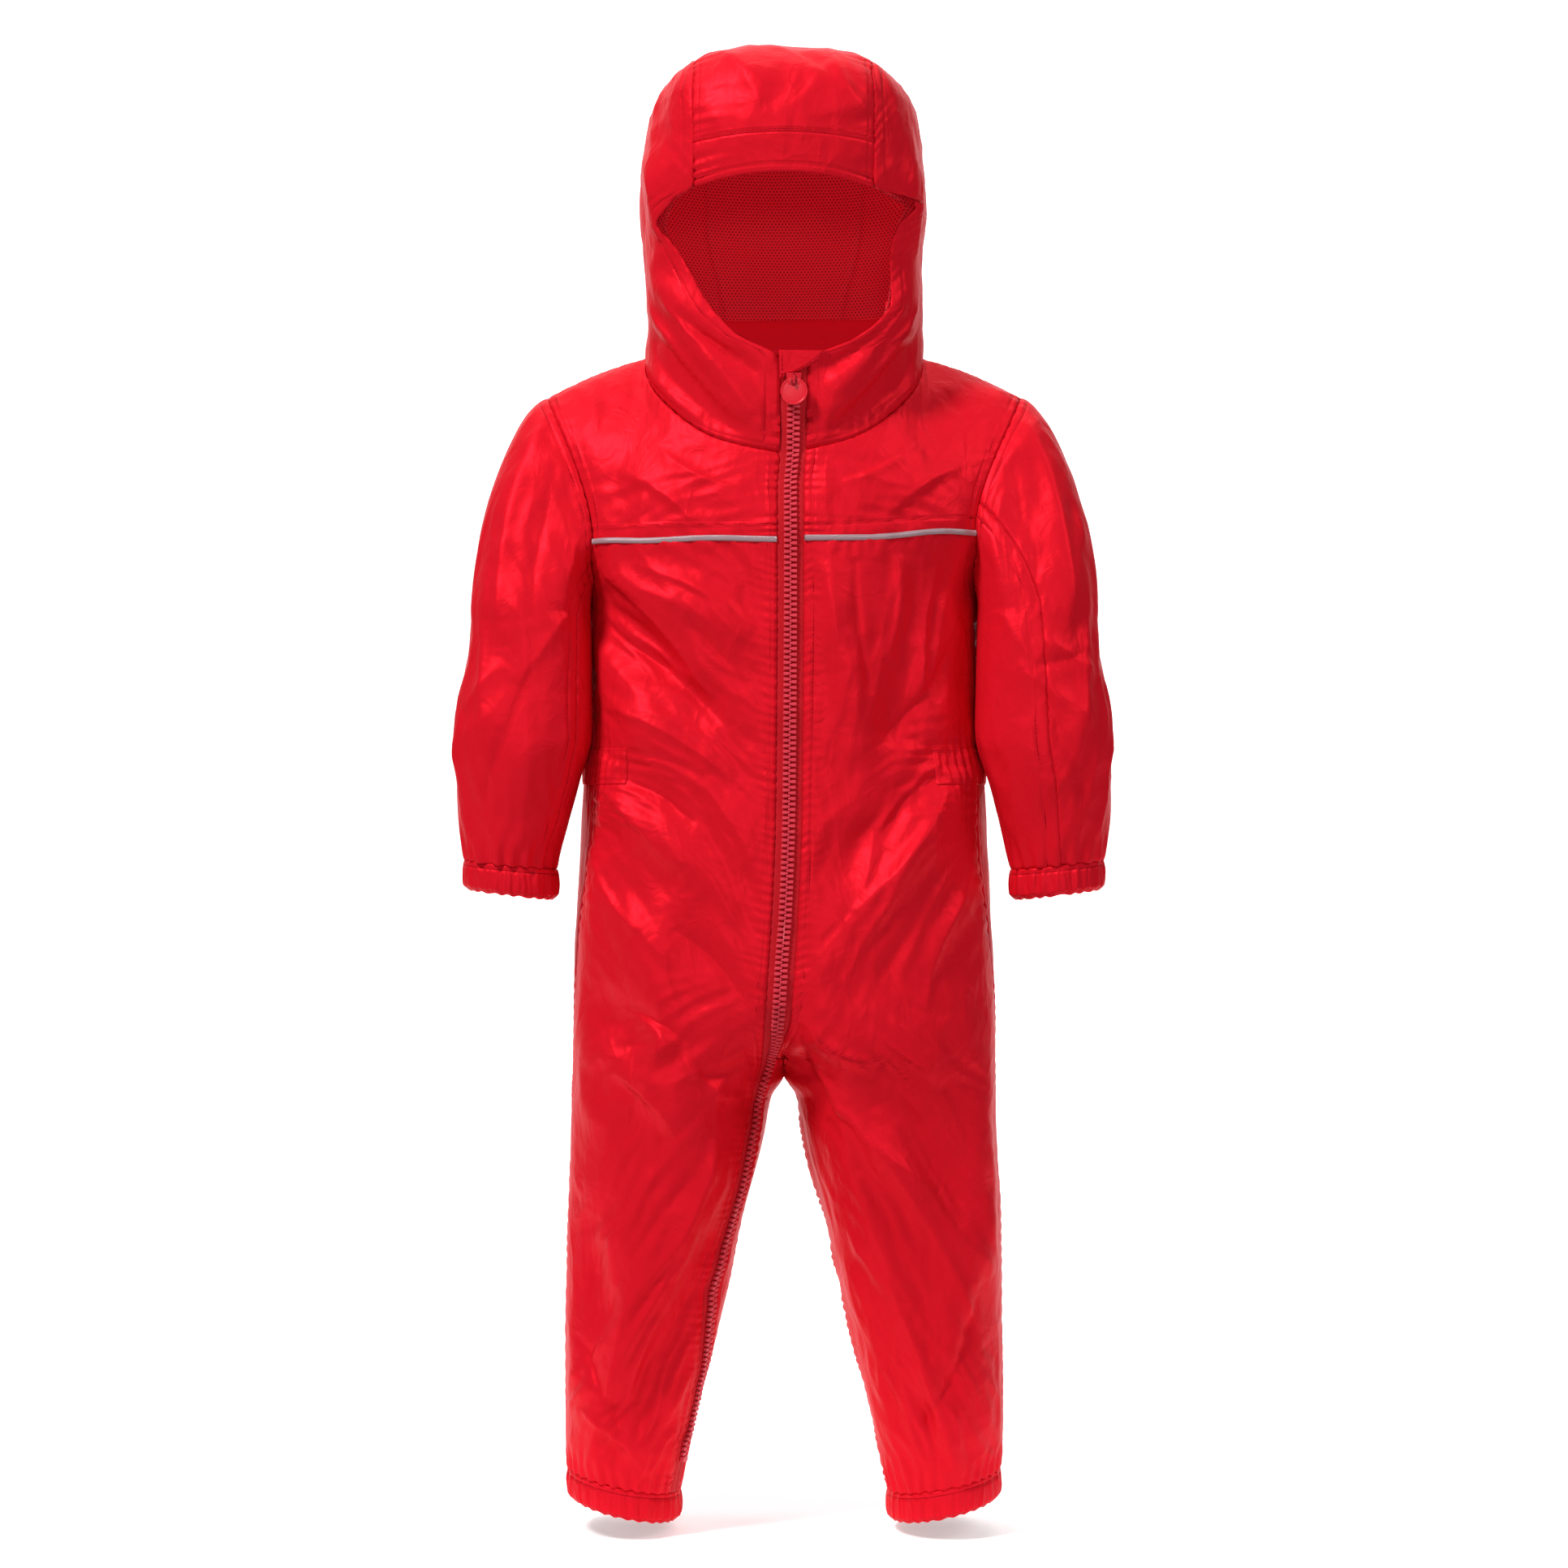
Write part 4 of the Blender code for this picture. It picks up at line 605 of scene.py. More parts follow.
def rumples(points):
    """Soft unevenness and crinkles all over the cloth."""
    drift = np.stack([SWAY(points / DRIFT_WAVE + shift) for shift in (3, 9, 17)], axis=-1)
    bent = points + DRIFT * drift
    total = SWAY(points / SOFT_WAVE) * SOFT_HEIGHT
    total += crumpled(CRINKLE, bent / CRISP_WAVE, 0.35, CRISP_HEIGHT)
    total += crumpled(RUMPLE, bent / SMALL_WAVE, 0.3, SMALL_HEIGHT, 0.05)
    return total + crumpled(CRINKLE, bent / FINE_WAVE + 31, 0.3, FINE_HEIGHT, 0.08)


def pucker(distance, along, pitch, reach, height, seed):
    """Short waves across a stitched seam that die out away from it."""
    wander = UNEVEN(np.stack([along / (4 * pitch), 0 * along + seed, 0 * along], -1))
    wave = 2 * sharpened(np.sin(np.pi * (along / pitch + 0.9 * wander) + 0.25 * distance / reach)) - 1
    strength = 0.55 + 0.9 * UNEVEN(np.stack([along / (3.1 * pitch), 0 * along, 0 * along + seed], -1))
    return height * np.clip(strength, 0.0, 1.4) * wave * np.exp(-(distance / reach) ** 1.4)


def seam_lines():
    """Points along the armholes, neck, wrists and ankles, where the seams hold the cloth in place."""
    around = np.linspace(0.0, 1.0, 121)
    left_arm, right_arm = climbed(armhole(around)), armhole(around) * MIRRORED
    degrees = np.linspace(-90.0, 90.0, 91)
    neck = neck_point(degrees)
    corner = neck_point(np.array(NECK_CORNER))
    over = np.linspace(0.0, 1.0, 31)[:, None]
    shoulder = corner + (np.array(SHOULDER_TIP) - corner) * over
    shoulder = shoulder + np.array([0, 0, SHOULDER_ARCH]) * np.sin(np.pi * over)
    lines = [left_arm, right_arm]
    for line in (neck, shoulder):
        lines += [line, line * MIRRORED]
    return np.concatenate(lines)


SEAM_HOLD = 16 * MM
BATCH = 4000


def held_still(points):
    """0 on a seam that holds the cloth and 1 well away from it."""
    flat = points.reshape(-1, 3)
    lines = seam_lines()
    nearest = np.full(len(flat), 1.0)
    for start in range(0, len(flat), BATCH):
        part = flat[start:start + BATCH]
        squares = (part ** 2).sum(1)[:, None] + (lines ** 2).sum(1)[None, :] - 2 * part @ lines.T
        nearest[start:start + BATCH] = np.sqrt(np.maximum(squares.min(axis=1), 0.0))
    return smooth(nearest, 0.0, SEAM_HOLD).reshape(points.shape[:-1])


def edge_distances(points):
    """Distance in from the four edges of a grid, and the run along its columns and rows."""
    across_steps = np.linalg.norm(np.diff(points, axis=0), axis=-1)
    across = np.concatenate([np.zeros((1, points.shape[1])), np.cumsum(across_steps, axis=0)])
    up_steps = np.linalg.norm(np.diff(points, axis=1), axis=-1)
    up = np.concatenate([np.zeros((points.shape[0], 1)), np.cumsum(up_steps, axis=1)], axis=1)
    return {"first": across, "last": across[-1:] - across, "bottom": up, "top": up[:, -1:] - up}


SEAM_ROLL = 0.4 * MM
SEAM_ROLL_WIDTH = 1.5 * MM


def seam_relief(points, edges):
    """Rolled and puckered seams: edges maps an edge to (pitch, reach, height) of its puckers."""
    distances = edge_distances(points)
    total = np.zeros(points.shape[:-1])
    for seed, (edge, (pitch, reach, height)) in enumerate(edges.items()):
        distance = distances[edge]
        along = distances["bottom"] if edge in ("first", "last") else distances["first"]
        total -= SEAM_ROLL * np.exp(-(distance / SEAM_ROLL_WIDTH) ** 2)
        if height:
            total += pucker(distance, along, pitch, reach, height, seed * 3.7)
    return total


# ---------------------------------------------------------------- meshes


def shell_mesh(name, outer, inner, skip=2):
    """A thin closed shell: a fine outer grid, and an inner grid that uses every few of its points."""
    columns, rows = outer.shape[:2]
    inner = inner[::skip, ::skip]
    inner_columns, inner_rows = inner.shape[:2]
    fine = np.arange(columns * rows).reshape(columns, rows)
    coarse = np.arange(inner_columns * inner_rows).reshape(inner_columns, inner_rows) + fine.size
    faces = np.stack([fine[:-1, :-1], fine[1:, :-1], fine[1:, 1:], fine[:-1, 1:]], -1).reshape(-1, 4).tolist()
    back = np.stack([coarse[:-1, :-1], coarse[:-1, 1:], coarse[1:, 1:], coarse[1:, :-1]], -1)
    faces += back.reshape(-1, 4).tolist()
    borders = ((fine[:, 0], coarse[:, 0]), (fine[::-1, -1], coarse[::-1, -1]),
               (fine[0, ::-1], coarse[0, ::-1]), (fine[-1], coarse[-1]))
    for outside, inside in borders:
        for k in range(len(inside) - 1):
            strip = outside[k * skip:(k + 1) * skip + 1]
            faces.append([*strip[::-1].tolist(), int(inside[k]), int(inside[k + 1])])
    points = np.concatenate([outer.reshape(-1, 3), inner.reshape(-1, 3)])
    mesh = bpy.data.meshes.new(name)
    mesh.from_pydata(points.tolist(), [], faces)
    mesh.update()
    return mesh


def add_piece(name, mesh, material, nodes):
    """Links a finished piece in place of the solids it stands for."""
    piece = bpy.data.objects.new(name, mesh)
    bpy.context.scene.collection.objects.link(piece)
    mesh.materials.append(material)
    mesh.shade_smooth()
    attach(piece, "suit")
    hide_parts(*nodes)
    return piece


def set_attribute(mesh, name, values, fill):
    """A float for each point of the outer grid; the inner points get the fill value."""
    layer = mesh.attributes.new(name, "FLOAT", "POINT")
    data = np.full(len(mesh.vertices), fill, dtype=np.float32)
    data[:values.size] = values.reshape(-1)
    layer.data.foreach_set("value", data)


FAR = 50 * MM

# Rows of stitches on each kind of panel: the edge that they follow and the mm in from it.
STITCHES = {
    "front": {"first": 5.5},
    "leg_inset": {"last": 4},
    "back": {"first": 5},
    "yoke": {"bottom": 8.5, "first": 5.5, "last": 5},
    "sleeve": {"first": 8, "bottom": 5},
    "cuff": {"top": 3, "bottom": 2.4},
    "ankle_hem": {"top": 3, "bottom": 2.4},
    "waist_elastic": {"bottom": 2, "top": 2},
    "hood_side": {"first": 8, "last": 4, "bottom": 4},
    "hood_peak": {"bottom": 5, "first": 4, "last": 4},
    "hood_centre": {"first": 4, "last": 4, "bottom": 1.5},
    "neck_facing": {"top": 2.5},
    "chin_guard": {"first": 1.8, "last": 1.8},
}
OTHER_END = {"first": "last", "last": "first"}


def stitch_lines(points, rows):
    """Distance to the nearest line of stitches and the run along it: rows maps an edge to mm in from it."""
    distances = edge_distances(points)
    off = np.full(points.shape[:-1], FAR)
    run = np.zeros(points.shape[:-1])
    for edge, inset in rows.items():
        gone = np.abs(distances[edge] - inset * MM)
        along = distances["bottom"] if edge in ("first", "last") else distances["first"]
        nearer = gone < off
        off = np.where(nearer, gone, off)
        run = np.where(nearer, along, run)
    return off, run


def cloth_sheet(name, node, kind, points, normals, relief, material,
                wall=CLOTH_WALL, turned_over=False):
    """One finished panel: the plain surface moved by its relief, as a thin shell.

    A panel that is turned over is drawn from its last column back to its first.
    """
    stitches = STITCHES.get(kind, {})
    if turned_over:
        points, normals, relief = points[::-1], normals[::-1], relief[::-1]
        stitches = {OTHER_END.get(edge, edge): inset for edge, inset in stitches.items()}
    outer = points + normals * relief[..., None]
    mesh = shell_mesh(name, outer, outer - normals * wall)
    off, run = stitch_lines(points, stitches)
    set_attribute(mesh, "stitch", off, FAR)
    set_attribute(mesh, "run", run, 0.0)
    piece = add_piece(name, mesh, material, [node])
    return piece


def even(count):
    """The nearest even number of cells."""
    return max(2, int(round(count / 2)) * 2)


CELL = 1.9 * MM

# ---------------------------------------------------------------- materials


class Value:
    """A shader socket that takes part in ordinary arithmetic."""

    def __init__(self, graph, socket):
        self.graph, self.socket = graph, socket

    def math(self, operation, *others):
        return self.graph.math(operation, self, *others)

    def __add__(self, other):
        return self.math("ADD", other)

    def __radd__(self, other):
        return self.graph.math("ADD", other, self)

    def __sub__(self, other):
        return self.math("SUBTRACT", other)

    def __rsub__(self, other):
        return self.graph.math("SUBTRACT", other, self)

    def __mul__(self, other):
        return self.math("MULTIPLY", other)

    def __rmul__(self, other):
        return self.graph.math("MULTIPLY", other, self)

    def __truediv__(self, other):
        return self.math("DIVIDE", other)

    def __rtruediv__(self, other):
        return self.graph.math("DIVIDE", other, self)

    def __abs__(self):
        return self.math("ABSOLUTE")

    def fraction(self):
        return self.math("FRACT")

    def sine(self):
        return self.math("SINE")

    def below(self, edge, softness):
        """1 where the value is well under the edge and 0 well over it."""
        return (0.5 - (self - edge) / softness).math("MAXIMUM", 0.0).math("MINIMUM", 1.0)


class Graph:
    """A material's nodes, made by name and joined by Python expressions."""

    def __init__(self, name):
        self.material = bpy.data.materials.new(name)
        self.material.use_nodes = True
        self.tree = self.material.node_tree
        self.shader = self.tree.nodes["Principled BSDF"]

    def feed(self, socket, value):
        if isinstance(value, Value):
            self.tree.links.new(value.socket, socket)
        else:
            socket.default_value = value

    def node(self, kind, output, settings=None, values=(), **inputs):
        """A new node: its settings first, then its sockets, in their order or by name."""
        made = self.tree.nodes.new(kind)
        for key, value in (settings or {}).items():
            setattr(made, key, value)
        for socket, value in zip(made.inputs, values):
            self.feed(socket, value)
        for key, value in inputs.items():
            self.feed(made.inputs[key.replace("_", " ")], value)
        return Value(self, made.outputs[output])

    def math(self, operation, *values):
        return self.node("ShaderNodeMath", 0, {"operation": operation}, values)

    def mix(self, share, first, second):
        return self.node("ShaderNodeMix", "Result", {"data_type": "RGBA"}, Factor=share, A=first, B=second)

    def place(self):
        return self.node("ShaderNodeTexCoord", "Object")

    def axes(self, vector):
        first = self.node("ShaderNodeSeparateXYZ", 0, Vector=vector)
        return [Value(self, socket) for socket in first.socket.node.outputs]

    def attribute(self, name):
        return self.node("ShaderNodeAttribute", "Fac", {"attribute_name": name})

    def noise(self, vector, scale, detail=2.0, roughness=0.5, distortion=0.0):
        return self.node("ShaderNodeTexNoise", "Fac", Vector=vector, Scale=scale, Detail=detail,
                         Roughness=roughness, Distortion=distortion)

    def ridges(self, vector, scale, sharpness, distortion):
        """Sharp crests on a flat ground, between 0 and 1."""
        field = self.noise(vector, scale, roughness=0.45, distortion=distortion)
        return (1.0 - abs(field - 0.5) * sharpness).math("MAXIMUM", 0.0)

    def bump(self, height, distance):
        return self.node("ShaderNodeBump", "Normal", Height=height, Distance=distance, Strength=1.0)

    def surface(self, **inputs):
        for key, value in inputs.items():
            self.feed(self.shader.inputs[key.replace("_", " ")], value)
        return self.material


def rgb(red, green, blue):
    """Linear colour from screen values of 0 to 255."""
    def linear(level):
        level /= 255
        return level / 12.92 if level <= 0.04045 else ((level + 0.055) / 1.055) ** 2.4

    return (linear(red), linear(green), linear(blue), 1.0)


CLOTH_RED, CLOTH_DEEP, THREAD_RED = rgb(226, 24, 41), rgb(196, 10, 26), rgb(150, 6, 18)
# The third mesh colour is painted shade: a deep red for the holes of the lining.
MESH_RED, MESH_DEEP, MESH_HOLE_SHADE = rgb(236, 34, 52), rgb(208, 18, 36), rgb(128, 4, 14)
TAPE_RED, TAPE_DEEP = rgb(208, 14, 32), rgb(178, 8, 22)
TOOTH_RED, SLIDER_RED = rgb(222, 62, 78), rgb(206, 26, 44)
PULL_RED, GRAIN_RED = rgb(222, 28, 44), rgb(150, 18, 34)
CORD_GREY, CORD_DEEP = rgb(178, 150, 156), rgb(128, 98, 108)
GLOSS_TINT = (1.0, 0.34, 0.38, 1.0)
SATIN = 0.21
CLOTH_ROUGHNESS = 0.43
WEAVE = 0.42 * MM
STITCH_LENGTH = 2.6 * MM
THREAD_HALF = 0.28 * MM
MESH_PITCH = 2.2 * MM
HEXAGON_ROW = 0.866
HOLE_RADIUS, HOLE_SOFTNESS = 0.27, 0.16
LONG_CREASE_STRETCH = 0.45
TAPE_RIB = 0.8 * MM
TAPE_CROSS_RIB = 0.6 * MM
CORD_TWIST = 1.3 * MM


def coated_cloth(name, painted_glow_strength=0.0):
    """Coated taffeta: a fine plain weave under a thin soft-gloss coat, crinkled, with rows of stitches, and
    an optional painted glow in its own colour.
    """
    graph = Graph(name)
    place = graph.place()
    x, y, z = graph.axes(place)
    warp = (x * (TURN / WEAVE)).sine() * (z * (TURN / WEAVE)).sine()
    cloudy = graph.noise(place, scale=16.0, detail=3.0, roughness=0.55)
    drawn = graph.node("ShaderNodeCombineXYZ", "Vector", X=x, Y=y, Z=z * LONG_CREASE_STRETCH)
    long_creases = graph.ridges(drawn, scale=26.0, sharpness=3.0, distortion=1.2)
    short_creases = graph.ridges(place, scale=70.0, sharpness=4.0, distortion=0.9)
    fine = graph.noise(place, scale=420.0)
    off, run = graph.attribute("stitch"), graph.attribute("run")
    in_line = off.below(THREAD_HALF, 0.25 * MM)
    dash = abs((run / STITCH_LENGTH).fraction() - 0.5).below(0.40, 0.08)
    thread_mask = in_line * dash
    dip = off.below(1.1 * MM, 1.6 * MM)
    base = graph.mix(cloudy * 0.35, CLOTH_RED, CLOTH_DEEP)
    base = graph.mix(thread_mask * 0.55, base, THREAD_RED)
    rough = CLOTH_ROUGHNESS + (cloudy - 0.5) * 0.10 + (fine - 0.5) * 0.06
    rise = (long_creases * 0.8 + short_creases * 0.17 + fine * 0.03 + warp * 0.007
            - dip * 0.35 + thread_mask * 0.45)
    # The emission is a painted glow in the cloth's own colour, off unless a glow strength is given.
    return graph.surface(Base_Color=base, Roughness=rough, Normal=graph.bump(rise, MM), Metallic=SATIN,
                         Specular_IOR_Level=0.06, Specular_Tint=GLOSS_TINT,
                         Emission_Color=base, Emission_Strength=painted_glow_strength)


# Strength of a painted glow: the lining and neck facing emit their own colour, so the inside of the hood
# looks lit.
PAINTED_GLOW = 0.22


def mesh_lining(name):
    """Warp-knit mesh: round holes in staggered rows, painted dark as shade in the holes, with a faint painted
    glow that makes the inside of the hood look lit.
    """
    graph = Graph(name)
    place = graph.place()
    x, _, z = graph.axes(place)
    row = z / (MESH_PITCH * HEXAGON_ROW)
    odd = ((row * 0.5).fraction() * 2.0).math("FLOOR")
    across = (x / MESH_PITCH + odd * 0.5).fraction() - 0.5
    up = row.fraction() - 0.5
    gone = (across * across + up * up * 0.75).math("SQRT")
    hole = gone.below(HOLE_RADIUS, HOLE_SOFTNESS)
    cloudy = graph.noise(place, scale=22.0)
    base = graph.mix(cloudy * 0.5, MESH_RED, MESH_DEEP)
    # Painted shade: the holes are darkened towards a deep red, as the shaded gap behind the mesh.
    base = graph.mix(hole * 0.75, base, MESH_HOLE_SHADE)
    # The emission is the painted glow that brightens the lining.
    return graph.surface(Base_Color=base, Roughness=0.75 + (cloudy - 0.5) * 0.1,
                         Normal=graph.bump(hole * -1.0, 0.4 * MM), Emission_Color=base,
                         Emission_Strength=PAINTED_GLOW)


def woven_tape(name):
    """Zip tape: a tight twill of fine ribs along its length."""
    graph = Graph(name)
    place = graph.place()
    x, _, z = graph.axes(place)
    ribs = ((x + z * 0.35) * (TURN / TAPE_RIB)).sine()
    cross = ((z - x * 0.2) * (TURN / TAPE_CROSS_RIB)).sine()
    cloudy = graph.noise(place, scale=60.0)
    base = graph.mix(cloudy * 0.5 + ribs * 0.08, TAPE_RED, TAPE_DEEP)
    return graph.surface(Base_Color=base, Roughness=0.72 + (cloudy - 0.5) * 0.1,
                         Normal=graph.bump(ribs * 0.3 + cross * 0.2, 0.2 * MM), Specular_IOR_Level=0.2)


def moulded_plastic(name, colour, roughness, scratch=0.0):
    """Moulded plastic with a faint grain, and fine handling marks where it is touched."""
    graph = Graph(name)
    place = graph.place()
    grain = graph.noise(place, scale=900.0)
    marks = graph.noise(place, scale=240.0, detail=3.0, roughness=0.6, distortion=1.2)
    base = graph.mix(grain * 0.15, colour, GRAIN_RED)
    rough = roughness + (marks - 0.5) * (0.08 + scratch)
    return graph.surface(Base_Color=base, Roughness=rough, Specular_IOR_Level=0.4, Specular_Tint=GLOSS_TINT,
                         Normal=graph.bump(grain * 0.3 + marks * 0.1, 0.12 * MM))


def reflective_cord(name):
    """Grey reflective piping: a beaded coat over a woven cord, slightly darker in the weave."""
    graph = Graph(name)
    place = graph.place()
    x, _, z = graph.axes(place)
    beads = graph.noise(place, scale=1500.0, detail=1.0)
    twist = ((x + z * 0.8) * (TURN / CORD_TWIST)).sine()
    base = graph.mix(beads * 0.4 + twist * 0.06, CORD_GREY, CORD_DEEP)
    return graph.surface(Base_Color=base, Roughness=0.38 + (beads - 0.5) * 0.2, Metallic=0.25,
                         Normal=graph.bump(twist * 0.3 + beads * 0.3, 0.2 * MM))


CLOTH = coated_cloth("coated_cloth_finish")
# The neck facing is the same coated cloth with a painted glow added.
FACING = coated_cloth("facing_with_painted_glow", PAINTED_GLOW)
LINING = mesh_lining("mesh_with_painted_shade_and_glow")
TAPE = woven_tape("tape_finish")
TEETH = moulded_plastic("tooth_finish", TOOTH_RED, roughness=0.42)
SLIDER = moulded_plastic("slider_finish", SLIDER_RED, roughness=0.35)
PULL = moulded_plastic("pull_finish", PULL_RED, roughness=0.28, scratch=0.05)
PIPING = reflective_cord("piping_finish")

# ---------------------------------------------------------------- body, legs and yokes

# Puckers along the seams: distance from one to the next, reach into the panel, and height.
ZIP_PUCKER = (5.6 * MM, 9 * MM, 0.85 * MM)
SEAM_PUCKER = (9 * MM, 9 * MM, 0.5 * MM)
PLAIN_SEAM = (9 * MM, 8 * MM, 0.0)
FACE_PUCKER = (7.5 * MM, 13 * MM, 1.1 * MM)
CROWN_PUCKER = (7 * MM, 13 * MM, 1.0 * MM)
QUIET_SIDES = 0.3
ANKLE_GATHERS, ANKLE_GATHER = 30, 1.1 * MM
WAIST_GATHERS, WAIST_GATHER = 48, 0.5 * MM
WAIST_MIDDLE = (WAIST_TOP + WAIST_BOTTOM) / 2
ZIP_EASE = 16 * MM
FRONT_CELL, UPPER_CELL, WAIST_CELL = 1.4 * MM, 0.8 * MM, 1.6 * MM


def draped(points, normals, heights):
    """Large folds, creases and rumples of the body, from where each place is and which way it faces."""
    forward = np.clip(-normals[..., 1] * 1.6, 0.0, 1.0)
    backward = np.clip(normals[..., 1] * 1.6, 0.0, 1.0)
    calm = np.clip((YOKE_SEAM - heights) / (20 * MM), 0.0, 1.0)
    calm = calm * smooth(heights, HEM_SEAM, HEM_SEAM + 25 * MM)
    large = line_relief(points, FOLDS, forward) + line_relief(points, BACK_FOLDS, backward)
    total = large * calm
    total += line_relief(points, CREASES, forward) + line_relief(points, BACK_CREASES, backward)
    total += patch_relief(points, PATCHES, forward + 0.8 * backward)
    total += rumples(points)
    total *= QUIET_SIDES + (1 - QUIET_SIDES) * smooth(np.abs(normals[..., 1]), 0.1, 0.55)
    return total * (0.35 + 0.65 * smooth(heights, HEM_SEAM, HEM_SEAM + 18 * MM))


def body_relief(points, normals, heights, shares):
    """The drape of the body, gathered at ankles and waist and quiet where a seam holds the cloth."""
    total = draped(points, normals, heights)
    gathered = 1 - smooth(heights, HEM_SEAM + 2 * MM, HEM_SEAM + 30 * MM)
    wander = UNEVEN(np.stack([np.abs(shares) * 9, heights / (30 * MM), np.sign(shares) * 5.0], -1))
    turn = np.abs(shares) * ANKLE_GATHERS * TURN + 3.2 * wander
    total += ANKLE_GATHER * gathered ** 1.5 * np.sin(turn) * (0.8 + 0.8 * wander)
    waist = np.exp(-((heights - WAIST_MIDDLE) / (24 * MM)) ** 2)
    beside = smooth(np.abs(shares), 0.25, 0.32)
    total += 0.6 * MM * waist * beside * waist_wave(shares, heights)
    return total * held_still(points)


def waist_wave(shares, heights):
    """Fine gathers of the waist elastic, running up and down and uneven in spacing."""
    places = np.abs(shares)
    wander = UNEVEN(np.stack([places * 14, heights / (60 * MM), np.sign(shares) * 5.0], -1))
    return np.sin(places * WAIST_GATHERS * TURN + 3.4 * wander) * (0.8 + 0.9 * wander)


def beside_zip(points, heights, relief, edge):
    """Relief of a panel that comes down to the zip's own along one edge."""
    line = np.linspace(HEM_SEAM, ZIP_TOP, 281)
    middle, facing = front_line(0.0, line)
    own = np.interp(heights, line, zip_relief(middle, facing, line))
    away = smooth(edge_distances(points)[edge], 0.0, ZIP_EASE)
    away = np.maximum(away, smooth(heights, ZIP_TOP, ZIP_TOP + ZIP_EASE - 2 * MM))
    return own * (1 - away) + relief * away


def eased(grid, levels):
    """A grid's rows above the yoke seam, smoothed across the line that runs down from the neck's corner."""
    share = np.clip((levels - YOKE_SEAM) / UPPER_SPAN, 0.0, 1.0)
    soft = grid.copy()
    for _ in range(60):
        soft[1:-1] = (soft[:-2] + 2 * soft[1:-1] + soft[2:]) / 4
    return grid + (soft - grid) * (4 * share * (1 - share))[..., None]


def body_panel(name, node, kind, starts, ends, heights, columns, edges):
    """A panel between two lines down the body, given as their shares at each height."""
    across = np.linspace(0.0, 1.0, columns + 1)[:, None]
    shares = np.array(starts)[None, :] * (1 - across) + np.array(ends)[None, :] * across
    levels = np.broadcast_to(np.array(heights)[None, :], shares.shape)
    points = eased(plain_body(shares, levels), levels)
    normals = eased(body_normal(shares, levels), levels)
    normals /= np.linalg.norm(normals, axis=-1, keepdims=True)
    relief = body_relief(points, normals, levels, shares)
    for edge, waves in edges.items():
        if waves is ZIP_PUCKER:
            relief = beside_zip(points, levels, relief, edge)
    relief = relief + seam_relief(points, edges)
    return cloth_sheet(name, node, kind, points, normals, relief, CLOTH)


def rows_between(low, high, cell=CELL):
    """Heights of the rows of a panel, an even number of cells apart."""
    return np.linspace(low, high, even((high - low) / cell) + 1)


def build_fronts():
    """Fronts from the yoke seam to the ankles, each beside the zip as far as it runs."""
    heights = rows_between(HEM_SEAM, YOKE_SEAM, FRONT_CELL)
    edges = {"first": ZIP_PUCKER, "last": SEAM_PUCKER, "bottom": PLAIN_SEAM, "top": SEAM_PUCKER}
    for side, node in ((RIGHT, "front_right"), (LEFT, "front_left")):
        starts = zip_share(heights, side * ZIP_HALF)
        if side == LEFT:
            starts = np.where(heights > INSET_TOP, starts, CENTRE_GAP)
        ends = [side * arm_share(height, -1) for height in heights]
        body_panel(node + "_cloth", node, "front", starts, ends, heights, columns=104, edges=edges)


def build_leg_inset():
    """Narrow piece of the right leg between the zip and the inside leg seam."""
    heights = rows_between(HEM_SEAM, INSET_TOP)
    starts = [-CENTRE_GAP] * len(heights)
    ends = zip_share(heights, ZIP_HALF)
    edges = {"first": PLAIN_SEAM, "last": ZIP_PUCKER}
    body_panel("leg_inset_cloth", "leg_inset_right", "leg_inset", starts, ends, heights, columns=20,
               edges=edges)


def build_backs():
    """Backs from the shoulders to the ankles, meeting at the centre-back seam."""
    low, high = rows_between(HEM_SEAM, YOKE_SEAM), rows_between(YOKE_SEAM, NECK_FRONT, UPPER_CELL)
    heights = np.concatenate([low, high[1:]])
    edges = {"first": SEAM_PUCKER, "last": SEAM_PUCKER, "bottom": PLAIN_SEAM, "top": SEAM_PUCKER}
    for side, node in ((RIGHT, "back_right"), (LEFT, "back_left")):
        starts = [side * arm_share(height, 1) for height in heights]
        ends = [side * (1 - CENTRE_GAP)] * len(heights)
        body_panel(node + "_cloth", node, "back", starts, ends, heights, columns=104, edges=edges)


def build_yokes():
    """Chest yokes between the piping, the neck and the armholes."""
    heights = rows_between(YOKE_SEAM, NECK_FRONT, UPPER_CELL)
    edges = {"first": ZIP_PUCKER, "last": SEAM_PUCKER, "bottom": PLAIN_SEAM, "top": SEAM_PUCKER}
    for side, node in ((RIGHT, "yoke_right"), (LEFT, "yoke_left")):
        starts = zip_share(heights, side * ZIP_HALF)
        ends = [side * ARM_SHARE] * len(heights)
        body_panel(node + "_cloth", node, "yoke", starts, ends, heights, columns=76, edges=edges)


# ---------------------------------------------------------------- sleeves


def armhole(around):
    """Point of the right armhole, mirrored: 0 at the armpit, 0.5 at the shoulder tip, 1 at the armpit."""
    front = around <= 0.5
    up = np.where(front, around, 1 - around)
    low = np.clip(up / 0.2, 0.0, 1.0)
    high = np.clip((up - 0.2) / 0.3, 0.0, 1.0)
    seam = float(side_share(ARMPIT))
    target = np.where(front, ARM_SHARE, 1 - ARM_SHARE)
    shares = seam + (target - seam) * low ** ARM_CURVE
    heights = ARMPIT + (YOKE_SEAM - ARMPIT) * low + UPPER_SPAN * high
    return plain_body(-shares, heights) * MIRRORED


